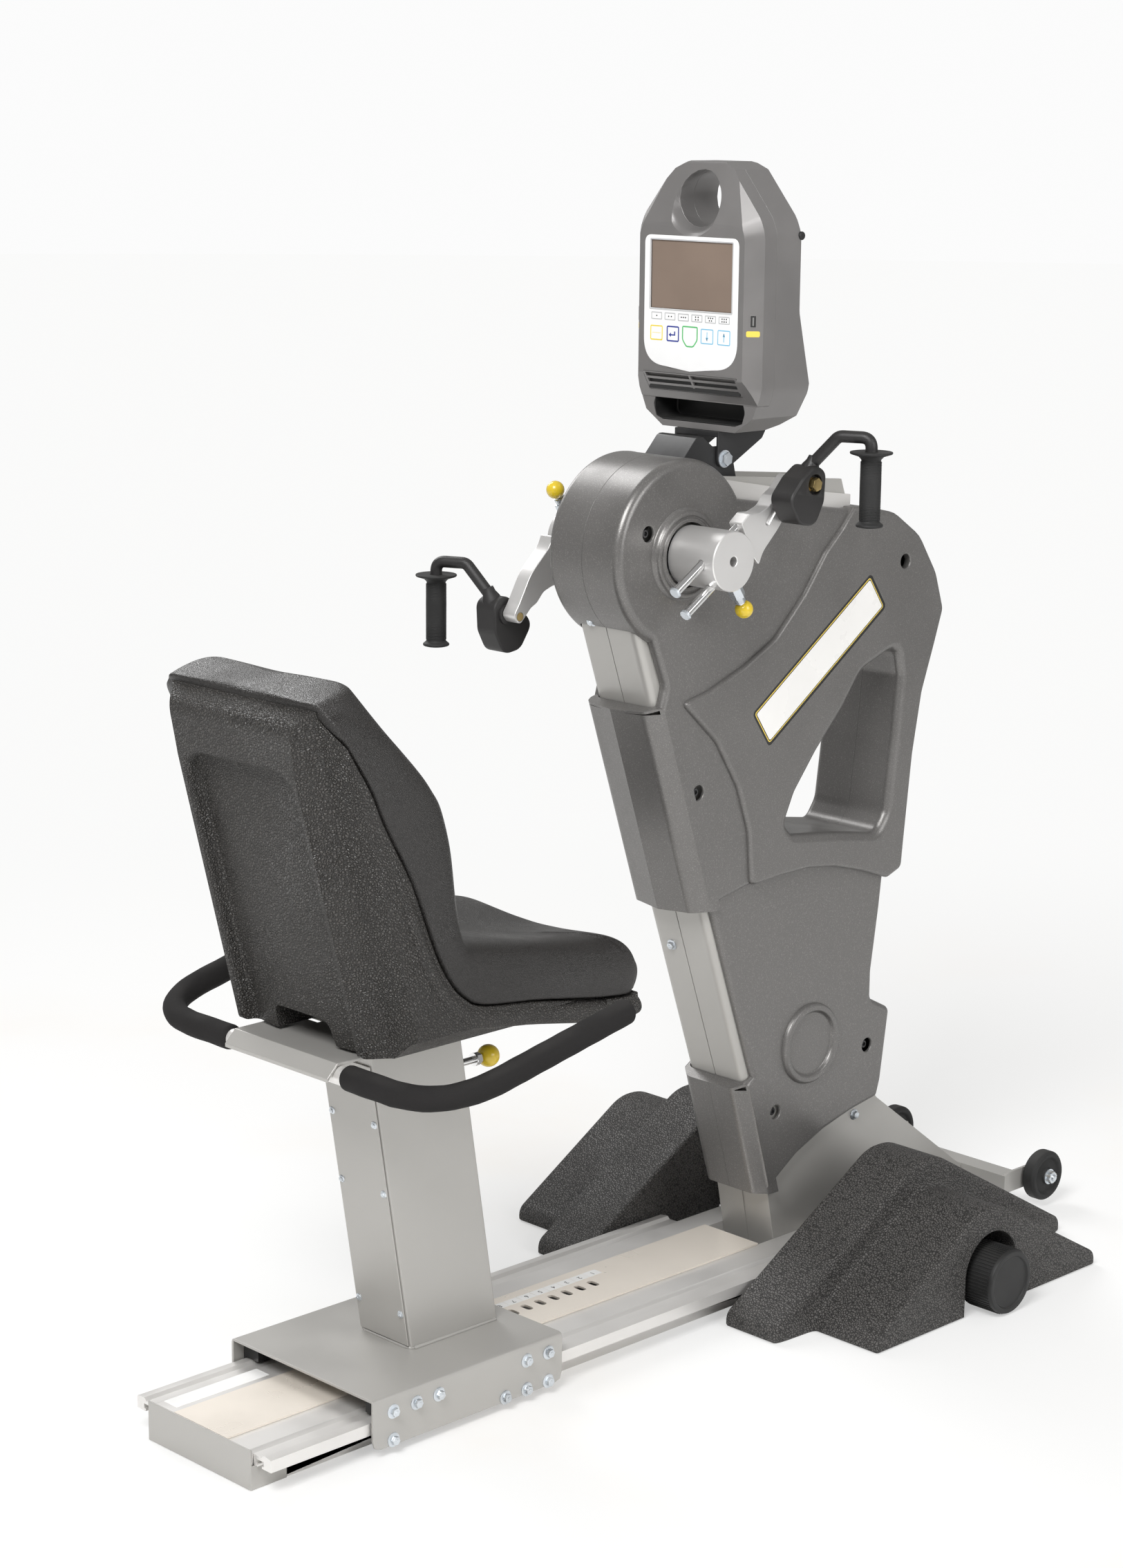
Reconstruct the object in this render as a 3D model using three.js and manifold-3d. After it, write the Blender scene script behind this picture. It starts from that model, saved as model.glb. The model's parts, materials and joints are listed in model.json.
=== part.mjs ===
// Arm ergometer with a sliding seat: cranks on a slanted tower, and a seat carriage on a floor rail.
// Millimetres. X points right and Y forwards for someone in the seat, Z is up, and Z = 0 is the floor.
// Stations are measured forwards from the rear end of the rail.

import * as THREE from "three";
import { mergeVertices } from "three/addons/utils/BufferGeometryUtils.js";
import Module from "manifold-3d";

const wasm = await Module();
wasm.setup();

// Driving dimensions
const RAIL_LENGTH = 1150;
const RAIL_HEIGHT = 52.4;
const RAIL_HALF_WIDTH = 108;
const LIP_HALF_WIDTH = 141;
const TOWER_LENGTH = 572;
const TOWER_HEIGHT = 1262;
const HEAD_STATION = 820;
const HEAD_RADIUS = 133;
const SHELL_HALF_WIDTH = 70;
const COLUMN_HALF_WIDTH = 56;
const FOOT_HALF_WIDTH = 52.5;
const CARRIAGE_LENGTH = 346;
const CARRIAGE_STATION = 173;
const POST_HEIGHT = 452;
const SEAT_DEPTH = 463;
const SEAT_RISE = 501;
const SEAT_HALF_WIDTH = 189;
const ARM_LENGTH = 162;
const CONSOLE_HALF_WIDTH = 120;
const STANCE_HALF_WIDTH = 408;
const WHEEL_RADIUS = 40.5;

// Clearances between pieces, and how far a cut passes what it cuts
const GAP = 0.3;
const SIDE_GAP = 0.6;
const RUNNING_GAP = 0.08;
const OVERRUN = 4;

// Facet counts
const STEP_TURN = Math.PI / 4;
const HIDDEN_TURN = Math.PI;
const SHARPEST_PLAIN_TURN = Math.PI / 20;
const EDGE_STEPS = 1;
const ROUND_SIDES = 20;
const SMALL_SIDES = 10;
const TUBE_SIDES = 10;
const BEND_STEPS = 4;

// A cushion takes this many stations along its spine
const CUSHION_STATIONS = 30;

// Points nearer than this are one point
const MERGE_DISTANCE = 1e-4;

// Depth along X for an outline in (Y, Z), and backwards along Y for an outline in (X, Z)
const ACROSS = new THREE.Matrix4().set(0, 0, 1, 0, 1, 0, 0, 0, 0, 1, 0, 0, 0, 0, 0, 1);
const BACKWARDS = new THREE.Matrix4().set(1, 0, 0, 0, 0, 0, -1, 0, 0, 1, 0, 0, 0, 0, 0, 1);

const MATERIALS = {
  shell: { color: 0x4b4a49, roughness: 0.45, metalness: 0.35 },
  paintedSteel: { color: 0x9c9a98, roughness: 0.38, metalness: 0.6 },
  aluminium: { color: 0xb4b4b3, roughness: 0.3, metalness: 0.9 },
  stopPlate: { color: 0xcfc2ad, roughness: 0.32, metalness: 0.8 },
  chrome: { color: 0xc8c8c8, roughness: 0.12, metalness: 1.0 },
  blackSteel: { color: 0x161616, roughness: 0.4, metalness: 0.3 },
  blackPlastic: { color: 0x1c1c1c, roughness: 0.55, metalness: 0.0 },
  seatPlastic: { color: 0x232322, roughness: 0.6, metalness: 0.0 },
  vinyl: { color: 0x2b2a29, roughness: 0.5, metalness: 0.0 },
  foam: { color: 0x171717, roughness: 0.85, metalness: 0.0 },
  rubber: { color: 0x1d1d1c, roughness: 0.9, metalness: 0.0 },
  castIron: { color: 0x3a3a3c, roughness: 0.5, metalness: 0.8 },
  overlay: { color: 0xf2f2f0, roughness: 0.35, metalness: 0.0 },
  screenGlass: { color: 0x6b5b50, roughness: 0.2, metalness: 0.0 },
  brassBolt: { color: 0xb59a63, roughness: 0.35, metalness: 0.9 },
};

// Named meshes

const materials = new Map();
function materialOf(name) {
  if (!materials.has(name)) {
    materials.set(name, new THREE.MeshStandardMaterial({ name, ...MATERIALS[name] }));
  }
  return materials.get(name);
}

function meshOf(name, geometry, material) {
  const mesh = new THREE.Mesh(geometry, materialOf(material));
  mesh.name = name;
  return mesh;
}

// A right piece and its mirror image on the left
function pairOf(name, geometry, material) {
  const right = meshOf(`${name}_right`, geometry, material);
  const left = meshOf(`${name}_left`, geometry, material);
  left.scale.x = -1;
  return [left, right];
}

function groupOf(...children) {
  const group = new THREE.Group();
  group.add(...children);
  return group;
}

// Joining and cutting closed geometries

function solidOf(geometry) {
  const bare = geometry.clone();
  bare.deleteAttribute("normal");
  bare.deleteAttribute("uv");
  const merged = mergeVertices(bare, MERGE_DISTANCE);
  return new wasm.Manifold(
    new wasm.Mesh({
      numProp: 3,
      vertProperties: merged.attributes.position.array,
      triVerts: new Uint32Array(merged.index.array),
    }),
  );
}

function geometryOf(solid) {
  const mesh = solid.getMesh();
  return new THREE.BufferGeometry()
    .setAttribute("position", new THREE.BufferAttribute(mesh.vertProperties, 3))
    .setIndex(new THREE.BufferAttribute(mesh.triVerts, 1));
}

function join(first, ...others) {
  return geometryOf(others.reduce((solid, other) => solid.add(solidOf(other)), solidOf(first)));
}

function cut(body, ...tools) {
  return geometryOf(tools.reduce((solid, tool) => solid.subtract(solidOf(tool)), solidOf(body)));
}

function common(first, second) {
  return geometryOf(solidOf(first).intersect(solidOf(second)));
}

// Outlines

// A corner is [across, up, radius]: its arc is limited by the shorter side that meets there,
// and has one facet for each stepTurn that it turns through.
function roundedPoints(corners, stepTurn = STEP_TURN) {
  const points = [];
  corners.forEach(([u, v, radius = 0], i) => {
    const corner = new THREE.Vector2(u, v);
    const before = new THREE.Vector2(...corners.at(i - 1)).sub(corner);
    const after = new THREE.Vector2(...corners[(i + 1) % corners.length]).sub(corner);
    const half = before.angleTo(after) / 2;
    const turn = Math.PI - 2 * half;
    if (radius === 0 || turn < SHARPEST_PLAIN_TURN) {
      points.push(corner);
      return;
    }
    const steps = Math.max(1, Math.round(turn / stepTurn));
    const reach = Math.min(radius / Math.tan(half), before.length() * 0.45, after.length() * 0.45);
    const start = corner.clone().addScaledVector(before.normalize(), reach);
    const end = corner.clone().addScaledVector(after.normalize(), reach);
    const arc = new THREE.QuadraticBezierCurve(start, corner, end);
    points.push(...arc.getPoints(steps));
  });
  return THREE.ShapeUtils.isClockWise(points) ? points.reverse() : points;
}

// Moves each point of a closed outline inwards, square to the two sides that meet there
function inset(points, distance) {
  return points.map((point, i) => {
    const before = point.clone().sub(points.at(i - 1)).normalize();
    const after = points[(i + 1) % points.length].clone().sub(point).normalize();
    const square = new THREE.Vector2(-before.y, before.x);
    const middle = new THREE.Vector2(-before.y - after.y, before.x + after.x).normalize();
    return point.clone().addScaledVector(middle, distance / Math.max(middle.dot(square), 0.3));
  });
}

function shapeOf(points, holes = []) {
  const shape = new THREE.Shape(points);
  shape.holes = holes.map((hole) => new THREE.Path(hole));
  return shape;
}

function rectangle([u0, u1], [v0, v1], radius = 0) {
  return roundedPoints([
    [u0, v0, radius],
    [u1, v0, radius],
    [u1, v1, radius],
    [u0, v1, radius],
  ]);
}

function circle([u, v], radius, sides = ROUND_SIDES) {
  return Array.from({ length: sides }, (_, i) => {
    const angle = ((i + 0.5) / sides) * 2 * Math.PI;
    return new THREE.Vector2(u + radius * Math.cos(angle), v + radius * Math.sin(angle));
  });
}

// A faceted bore that a faceted pin of this radius turns in
function boreOf(radius, clearance = RUNNING_GAP, sides = ROUND_SIDES) {
  return (radius + clearance) / Math.cos(Math.PI / sides);
}

// Prisms: edge is the size of the softened rim at both ends

function prism(shape, depth, edge = 0, edgeSteps = EDGE_STEPS) {
  return new THREE.ExtrudeGeometry(shape, {
    depth: depth - 2 * edge,
    bevelEnabled: edge > 0,
    bevelThickness: edge,
    bevelSize: edge,
    bevelOffset: -edge,
    bevelSegments: edgeSteps,
  }).translate(0, 0, edge);
}

function sidePrism(shape, [x0, x1], edge = 0) {
  return prism(shape, x1 - x0, edge).applyMatrix4(ACROSS).translate(x0, 0, 0);
}

function frontPrism(shape, [y0, y1], edge = 0, edgeSteps = EDGE_STEPS) {
  return prism(shape, y1 - y0, edge, edgeSteps).applyMatrix4(BACKWARDS).translate(0, y1, 0);
}

function planPrism(shape, [z0, z1], edge = 0) {
  return prism(shape, z1 - z0, edge).translate(0, 0, z0);
}

// An upright prism whose station moves by slope for each unit of height above its foot
function leaningPrism(shape, [z0, z1], slope) {
  const lean = new THREE.Matrix4().set(1, 0, 0, 0, 0, 1, slope, 0, 0, 0, 1, 0, 0, 0, 0, 1);
  return prism(shape, z1 - z0).applyMatrix4(lean).translate(0, 0, z0);
}

function block([x0, x1], [y0, y1], [z0, z1]) {
  return new THREE.BoxGeometry(x1 - x0, y1 - y0, z1 - z0).translate(
    (x0 + x1) / 2,
    (y0 + y1) / 2,
    (z0 + z1) / 2,
  );
}

// Round pieces

function rod(radius, from, to, sides = SMALL_SIDES) {
  const start = new THREE.Vector3(...from);
  const along = new THREE.Vector3(...to).sub(start);
  const turn = new THREE.Quaternion().setFromUnitVectors(
    new THREE.Vector3(0, 1, 0),
    along.clone().normalize(),
  );
  const middle = start.clone().addScaledVector(along, 1 / 2);
  return new THREE.CylinderGeometry(radius, radius, along.length(), sides)
    .applyQuaternion(turn)
    .translate(...middle);
}

function ball(radius, centre) {
  return new THREE.SphereGeometry(radius, SMALL_SIDES, SMALL_SIDES / 2).translate(...centre);
}

// A profile of [radius, height] turned about Z
function turned(profile, sides = ROUND_SIDES) {
  const points = profile.map(([radius, height]) => new THREE.Vector2(radius, height));
  return new THREE.LatheGeometry(points, sides).rotateX(Math.PI / 2);
}

// The same profile turned about X
function turnedAcross(profile, sides = ROUND_SIDES) {
  return turned(profile, sides).rotateY(Math.PI / 2);
}

// A path of straight runs and bends: a run is one step long and a bend takes several
class BentPath extends THREE.CurvePath {
  stepsOf(curve) {
    return curve.isLineCurve3 ? 1 : BEND_STEPS;
  }

  get steps() {
    return this.curves.reduce((sum, curve) => sum + this.stepsOf(curve), 0);
  }

  getPoint(t) {
    let place = t * this.steps;
    for (const curve of this.curves.slice(0, -1)) {
      if (place <= this.stepsOf(curve)) return curve.getPoint(place / this.stepsOf(curve));
      place -= this.stepsOf(curve);
    }
    return this.curves.at(-1).getPoint(place / this.stepsOf(this.curves.at(-1)));
  }

  getUtoTmapping(u) {
    return u;
  }
}

// Straight runs through the points, with a bend of the given reach at each inner one
function bentPath(points, reach) {
  const corners = points.map((point) => new THREE.Vector3(...point));
  const path = new BentPath();
  let start = corners[0];
  corners.slice(1, -1).forEach((corner, i) => {
    const back = corners[i].clone().sub(corner);
    const ahead = corners[i + 2].clone().sub(corner);
    const into = corner.clone().addScaledVector(back.normalize(), reach);
    const out = corner.clone().addScaledVector(ahead.normalize(), reach);
    path.add(new THREE.LineCurve3(start, into));
    path.add(new THREE.QuadraticBezierCurve3(into, corner, out));
    start = out;
  });
  path.add(new THREE.LineCurve3(start, corners.at(-1)));
  return path;
}

function tube(path, radius, sides = TUBE_SIDES) {
  return new THREE.ExtrudeGeometry(shapeOf(circle([0, 0], radius, sides)), {
    steps: path.steps,
    extrudePath: path,
    bevelEnabled: false,
  });
}

// Rail: two extrusions, the stop plate between them, and the end cap

const RAIL_INNER = FOOT_HALF_WIDTH + GAP;
const RAIL_WALL = 7;
const LEDGE_INNER = 30;
const LEDGE_THICKNESS = 11;
const CAP_WALL = 2.5;
const CAP_FLANGE = 60;
const RAIL_OUTER = RAIL_HALF_WIDTH - CAP_WALL - GAP;
const LIP_DEPTH = 18.8;
const LIP_SETBACK = 7;
const LIP_END = 1016;
const LIP_OVERLAP = 2;
const STEP_X = 98;
const STEP_DROP = 1.6;
const VALLEY_X = 121;
const VALLEY_DROP = 4;
const RIDGE_X = 128;
const RIDGE_HALF_WIDTH = 2.4;
const LIP_EDGE_DROP = 2;
const SLOT_X = 118;
const SLOT_MOUTH = 4.5;
const SLOT_HALF_WIDTH = 8;
const SLOT_HEIGHT = 10;
const SLOT_LIP = 3.5;

const PLATE_HALF_WIDTH = 55;
const PLATE_THICKNESS = 3;
const PLATE_END = 1025;
const PLATE_BOTTOM = RAIL_HEIGHT + GAP;
const PLATE_TOP = PLATE_BOTTOM + PLATE_THICKNESS;
const STOP_COUNT = 16;
const STOP_PITCH = 26.8;
const FIRST_STOP = 726.8;
const STOP_WIDTH = 21;
const STOP_HEIGHT = 11;
const REST_STOP = 10;

function stopStation(index) {
  return FIRST_STOP - index * STOP_PITCH;
}

function railRight() {
  const bodyOutline = roundedPoints([
    [RAIL_INNER, 0],
    [RAIL_INNER + RAIL_WALL, 0],
    [RAIL_INNER + RAIL_WALL, RAIL_HEIGHT - RAIL_WALL],
    [RAIL_OUTER - RAIL_WALL, RAIL_HEIGHT - RAIL_WALL],
    [RAIL_OUTER - RAIL_WALL, 0],
    [RAIL_OUTER, 0],
    [RAIL_OUTER, RAIL_HEIGHT - 2 * STEP_DROP],
    [STEP_X + STEP_DROP, RAIL_HEIGHT - STEP_DROP],
    [STEP_X, RAIL_HEIGHT],
    [RAIL_INNER, RAIL_HEIGHT],
  ]);
  const lipBottom = RAIL_HEIGHT - LIP_DEPTH;
  const lipOutline = roundedPoints([
    [RAIL_OUTER - LIP_OVERLAP, lipBottom],
    [SLOT_X - SLOT_MOUTH, lipBottom],
    [SLOT_X - SLOT_MOUTH, lipBottom + SLOT_LIP],
    [SLOT_X - SLOT_HALF_WIDTH, lipBottom + SLOT_LIP],
    [SLOT_X - SLOT_HALF_WIDTH, lipBottom + SLOT_HEIGHT],
    [SLOT_X + SLOT_HALF_WIDTH, lipBottom + SLOT_HEIGHT],
    [SLOT_X + SLOT_HALF_WIDTH, lipBottom + SLOT_LIP],
    [SLOT_X + SLOT_MOUTH, lipBottom + SLOT_LIP],
    [SLOT_X + SLOT_MOUTH, lipBottom],
    [LIP_HALF_WIDTH, lipBottom],
    [LIP_HALF_WIDTH, RAIL_HEIGHT - LIP_EDGE_DROP],
    [RIDGE_X + RIDGE_HALF_WIDTH, RAIL_HEIGHT],
    [RIDGE_X - RIDGE_HALF_WIDTH, RAIL_HEIGHT],
    [VALLEY_X, RAIL_HEIGHT - VALLEY_DROP],
    [RAIL_OUTER - LIP_OVERLAP, RAIL_HEIGHT - 2 * STEP_DROP],
  ]);
  const start = CAP_WALL + GAP;
  const body = frontPrism(shapeOf(bodyOutline), [start, RAIL_LENGTH]);
  const lip = frontPrism(shapeOf(lipOutline), [LIP_SETBACK, LIP_END]);
  const ledge = block(
    [LEDGE_INNER, RAIL_INNER + LIP_OVERLAP],
    [start, PLATE_END],
    [RAIL_HEIGHT - LEDGE_THICKNESS, RAIL_HEIGHT],
  );
  return join(body, lip, ledge);
}

function railPlate() {
  const slots = Array.from({ length: STOP_COUNT }, (_, index) => {
    const station = stopStation(index);
    const half = STOP_HEIGHT / 2;
    return roundedPoints([
      [-STOP_WIDTH / 2, station - half, half],
      [STOP_WIDTH / 2, station - half, half],
      [STOP_WIDTH / 2, station + half, half],
      [-STOP_WIDTH / 2, station + half, half],
    ]);
  });
  const outline = rectangle([-PLATE_HALF_WIDTH, PLATE_HALF_WIDTH], [CAP_WALL + GAP, PLATE_END]);
  return planPrism(shapeOf(outline, slots), [PLATE_BOTTOM, PLATE_TOP]);
}

function railEndCap() {
  const back = block([-RAIL_HALF_WIDTH, RAIL_HALF_WIDTH], [0, CAP_WALL], [0, PLATE_TOP]);
  const flangeTop = RAIL_HEIGHT - LIP_DEPTH - GAP;
  const flanges = [-1, 1].map((side) => {
    const outer = side * RAIL_HALF_WIDTH;
    const inner = side * (RAIL_HALF_WIDTH - CAP_WALL);
    const across = [Math.min(outer, inner), Math.max(outer, inner)];
    return block(across, [0, CAP_FLANGE], [0, flangeTop]);
  });
  return join(back, ...flanges);
}

function railGroup() {
  return groupOf(
    ...pairOf("rail", railRight(), "aluminium"),
    meshOf("rail_plate", railPlate(), "stopPlate"),
    meshOf("rail_end_cap", railEndCap(), "paintedSteel"),
  );
}

// Tower: points of its outlines are shares of its length from the crank axis and of its height

const AXIS_HEIGHT = TOWER_HEIGHT - HEAD_RADIUS;
const SHELL_WALL = 4;
const SHELL_EDGE = 5;
const HEAD_EDGE = 12;
const BEARING_RADIUS = 32;
const BAND_STEP = 5;
const BAND_EDGE = 4;
const COLLAR_RADIUS = 60;
const COLLAR_PROUD = 5;
const COLLAR_EDGE = 3;

const UPPER_SHARES = [
  [-0.192, 0.856],
  [-0.103, 0.802, 0.026],
  [-0.054, 0.748, 0.035],
  [-0.068, 0.726],
  [-0.128, 0.72],
  [0.054, 0.475],
  [0.133, 0.484, 0.05],
  [0.271, 0.497, 0.105],
  [0.372, 0.501, 0.105],
  [0.476, 0.502, 0.105],
  [0.58, 0.496, 0.105],
  [0.689, 0.483, 0.105],
  [0.804, 0.465, 0.021],
  [0.86, 0.474, 0.024],
  [0.867, 0.507, 0.07],
  [0.892, 0.613, 0.105],
  [0.923, 0.688, 0.105],
  [0.969, 0.745, 0.105],
  [1.0, 0.786, 0.035],
  [0.965, 0.832, 0.105],
  [0.892, 0.88, 0.105],
  [0.787, 0.911, 0.105],
  [0.664, 0.923, 0.07],
  [0.601, 0.922, 0.07],
  [0.257, 0.944, 0.105],
  [0.017, 0.961, 0.014],
  [-0.035, 0.988],
  [-0.14, 0.951],
];

// The raised band between the head and the cowl, from the cowl's top to the shoulder and down the rear
const BAND_SHARES = [
  [-0.005, 0.727, 0.014],
  [0.089, 0.736, 0.105],
  [0.217, 0.758, 0.105],
  [0.33, 0.784, 0.105],
  [0.435, 0.83, 0.105],
  [0.516, 0.877, 0.105],
  [0.573, 0.9, 0.052],
  [0.62, 0.9235],
  [0.664, 0.923, 0.07],
  [0.787, 0.911, 0.105],
  [0.892, 0.88, 0.105],
  [0.965, 0.832, 0.105],
  [1.0, 0.786, 0.035],
  [0.969, 0.745, 0.105],
  [0.923, 0.688, 0.105],
  [0.892, 0.613, 0.105],
  [0.867, 0.507, 0.07],
  [0.86, 0.474, 0.024],
  [0.804, 0.465, 0.021],
  [0.689, 0.483, 0.105],
  [0.58, 0.496, 0.105],
  [0.476, 0.502, 0.105],
  [0.372, 0.501, 0.105],
  [0.26, 0.497, 0.01],
  [0.247, 0.562, 0.105],
  [0.203, 0.617, 0.105],
  [0.121, 0.675, 0.105],
];

const WINDOW_SHARES = [
  [0.813, 0.749, 0.038],
  [0.675, 0.727, 0.07],
  [0.605, 0.686, 0.105],
  [0.503, 0.639, 0.105],
  [0.425, 0.596, 0.07],
  [0.388, 0.561, 0.024],
  [0.42, 0.547, 0.021],
  [0.594, 0.537, 0.14],
  [0.755, 0.525, 0.038],
  [0.79, 0.547, 0.052],
  [0.815, 0.634, 0.14],
  [0.832, 0.713, 0.052],
];

const LOWER_SHARES = [
  [0.105, 0.5135],
  [0.133, 0.476],
  [0.304, 0.259],
  [0.257, 0.246],
  [0.35, 0.104, 0.035],
  [0.486, 0.144, 0.105],
  [0.594, 0.164, 0.105],
  [0.705, 0.177, 0.105],
  [0.813, 0.185, 0.017],
  [0.827, 0.206, 0.035],
  [0.855, 0.295, 0.024],
  [0.773, 0.314, 0.021],
  [0.773, 0.349, 0.052],
  [0.799, 0.428],
  [0.811, 0.475],
  [0.818, 0.5135],
];

const FOOT_SHARES = [
  [0.358, 0.19],
  [0.437, 0.011],
  [0.874, 0.011],
  [1.217, 0.037],
  [1.22, 0.049],
  [0.836, 0.179, 0.017],
  [0.815, 0.19],
];

const HEAD_PLATE_SHARES = [
  [-0.14, 0.835],
  [-0.14, 0.895, 0.052],
  [-0.07, 0.945, 0.035],
  [0.017, 0.985],
  [0.615, 0.96],
  [0.665, 0.895, 0.03],
  [0.7, 0.784, 0.07],
  [0.524, 0.765, 0.052],
  [0.12, 0.79, 0.052],
];

const DECK_SHARES = [
  [0.019, 0.982],
  [0.346, 0.956],
  [0.647, 0.936],
];

// The deck reaches down by this share of the tower's height
const DECK_DEPTH_SHARE = 0.035;

function towerPoint([forward, up, radius]) {
  const point = [HEAD_STATION + forward * TOWER_LENGTH, up * TOWER_HEIGHT];
  return radius ? [...point, radius * TOWER_LENGTH] : point;
}

function towerOutline(shares, stepTurn = STEP_TURN) {
  return roundedPoints(shares.map(towerPoint), stepTurn);
}

const AXIS = [HEAD_STATION, AXIS_HEIGHT];

// Column: a leaning tube with rounded corners and a seam down its front
const COLUMN_FOOT_SHARE = 0.1905;
const COLUMN_FRONT_SHARES = [
  [-0.157, 0.828],
  [0.397, 0.106],
];
const COLUMN_DEPTH = 175;
const COLUMN_TOP_DROP = 21.8;
const COLUMN_WALL = 4.4;
const COLUMN_CORNER = 13;
const SEAM_WIDTH = 1.6;
const SEAM_DEPTH = 2;
const SHELL_CLEARANCE = 1.2;

const [columnHigh, columnLow] = COLUMN_FRONT_SHARES.map(towerPoint);
const COLUMN_SLOPE = (columnHigh[0] - columnLow[0]) / (columnHigh[1] - columnLow[1]);

function columnFront(height) {
  return columnLow[0] + (height - columnLow[1]) * COLUMN_SLOPE;
}

const COLUMN_BOTTOM = COLUMN_FOOT_SHARE * TOWER_HEIGHT;
const COLUMN_TOP = AXIS_HEIGHT - BEARING_RADIUS - COLUMN_TOP_DROP;

// The outline of the column at its foot, grown by a clearance for what goes round it
function columnOutline(clearance = 0) {
  const front = columnFront(COLUMN_BOTTOM) - clearance;
  const half = COLUMN_HALF_WIDTH + clearance;
  return rectangle([-half, half], [front, front + COLUMN_DEPTH + 2 * clearance], COLUMN_CORNER);
}

function columnSpace() {
  const heights = [COLUMN_BOTTOM, COLUMN_TOP + OVERRUN];
  return leaningPrism(shapeOf(columnOutline(SHELL_CLEARANCE)), heights, COLUMN_SLOPE);
}

// Deck: a folded channel on the two head plates
const DECK_HALF_WIDTH = 55;
const DECK_WALL = 3;
const DECK_SLOT_HALF_WIDTH = 17;
const DECK_SLOT_LENGTH = 34;
const DECK_SLOT_INSET = 20;
const deckTop = DECK_SHARES.map(towerPoint);
const DECK_DEPTH = DECK_DEPTH_SHARE * TOWER_HEIGHT;

// The region from a line under the deck's top face to one over it, lengthened level at both ends
function deckLayer(low, high, overrun = 0) {
  const [first, last] = [deckTop[0], deckTop.at(-1)];
  const lengthened = overrun
    ? [[first[0] - overrun, first[1]], ...deckTop, [last[0] + overrun, last[1]]]
    : deckTop;
  return roundedPoints([
    ...lengthened.map(([y, z]) => [y, z + high]),
    ...lengthened.toReversed().map(([y, z]) => [y, z + low]),
  ]);
}

function topDeck() {
  const across = [-DECK_HALF_WIDTH, DECK_HALF_WIDTH];
  const inner = [DECK_WALL - DECK_HALF_WIDTH, DECK_HALF_WIDTH - DECK_WALL];
  const whole = sidePrism(shapeOf(deckLayer(-DECK_DEPTH, 0)), across);
  const inside = sidePrism(shapeOf(deckLayer(-DECK_DEPTH - OVERRUN, -DECK_WALL, OVERRUN)), inner);
  const slotEnd = deckTop.at(-1)[0] - DECK_SLOT_INSET;
  const slot = block(
    [-DECK_SLOT_HALF_WIDTH, DECK_SLOT_HALF_WIDTH],
    [slotEnd - DECK_SLOT_LENGTH, slotEnd],
    [deckTop.at(-1)[1] - DECK_DEPTH, deckTop[0][1]],
  );
  return cut(whole, inside, slot);
}

// Head plates: welded inside the column, they carry the bearings, the brake rotor and the deck
const HEAD_PLATE_THICKNESS = 6;
const HEAD_PLATE_OVERLAP = 0.2;
const HEAD_PLATE_OUTER = COLUMN_HALF_WIDTH - COLUMN_WALL + HEAD_PLATE_OVERLAP;
const HEAD_PLATE_INNER = HEAD_PLATE_OUTER - HEAD_PLATE_THICKNESS;
const ROTOR_SHARES = [0.594, 0.836];
const ROTOR_CENTRE = towerPoint(ROTOR_SHARES);
const ROTOR_AXLE_RADIUS = 8;
const SHAFT_RADIUS = 15;
const BELT_HALF_WIDTH = 9;
const BELT_CLEARANCE = 5;
const CRANK_PULLEY_RADIUS = 80;
const BELT_THICKNESS = 3;

function column() {
  const heights = [COLUMN_BOTTOM, COLUMN_TOP];
  const outline = columnOutline();
  const skin = leaningPrism(shapeOf(outline, [inset(outline, COLUMN_WALL)]), heights, COLUMN_SLOPE);
  const front = columnFront(COLUMN_BOTTOM);
  const seamOutline = rectangle(
    [-SEAM_WIDTH / 2, SEAM_WIDTH / 2],
    [front - OVERRUN, front + SEAM_DEPTH],
  );
  const seam = leaningPrism(shapeOf(seamOutline), heights, COLUMN_SLOPE);
  const shaftHole = circle(AXIS, boreOf(SHAFT_RADIUS));
  const rotorHole = circle(ROTOR_CENTRE, boreOf(ROTOR_AXLE_RADIUS));
  const plateShape = shapeOf(towerOutline(HEAD_PLATE_SHARES), [shaftHole, rotorHole]);
  const plates = [
    sidePrism(plateShape, [HEAD_PLATE_INNER, HEAD_PLATE_OUTER]),
    sidePrism(plateShape, [-HEAD_PLATE_OUTER, -HEAD_PLATE_INNER]),
  ];
  const half = COLUMN_HALF_WIDTH + OVERRUN;
  const overDeck = sidePrism(
    shapeOf(deckLayer(-DECK_WALL - GAP, HEAD_RADIUS, HEAD_RADIUS)),
    [-half, half],
  );
  const beltHalf = BELT_HALF_WIDTH + BELT_CLEARANCE;
  const rear = columnFront(COLUMN_TOP) + COLUMN_DEPTH;
  const beltLow = AXIS_HEIGHT - CRANK_PULLEY_RADIUS - BELT_THICKNESS - 4 * BELT_CLEARANCE;
  const beltNotch = block(
    [-beltHalf, beltHalf],
    [rear - COLUMN_DEPTH / 3, rear + COLUMN_DEPTH / 3],
    [beltLow, COLUMN_TOP + OVERRUN],
  );
  return cut(join(cut(skin, seam), ...plates), overDeck, beltNotch);
}

// Foot: a welded box that is open below, with the stabiliser bar through it
const FOOT_WALL = 6;
const BAR_SHARE = 0.647;
const BAR_STATION = HEAD_STATION + BAR_SHARE * TOWER_LENGTH;
const BAR_RADIUS = 28;
const BAR_HEIGHT = 50;

function footOutline() {
  return towerOutline(FOOT_SHARES);
}

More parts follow.
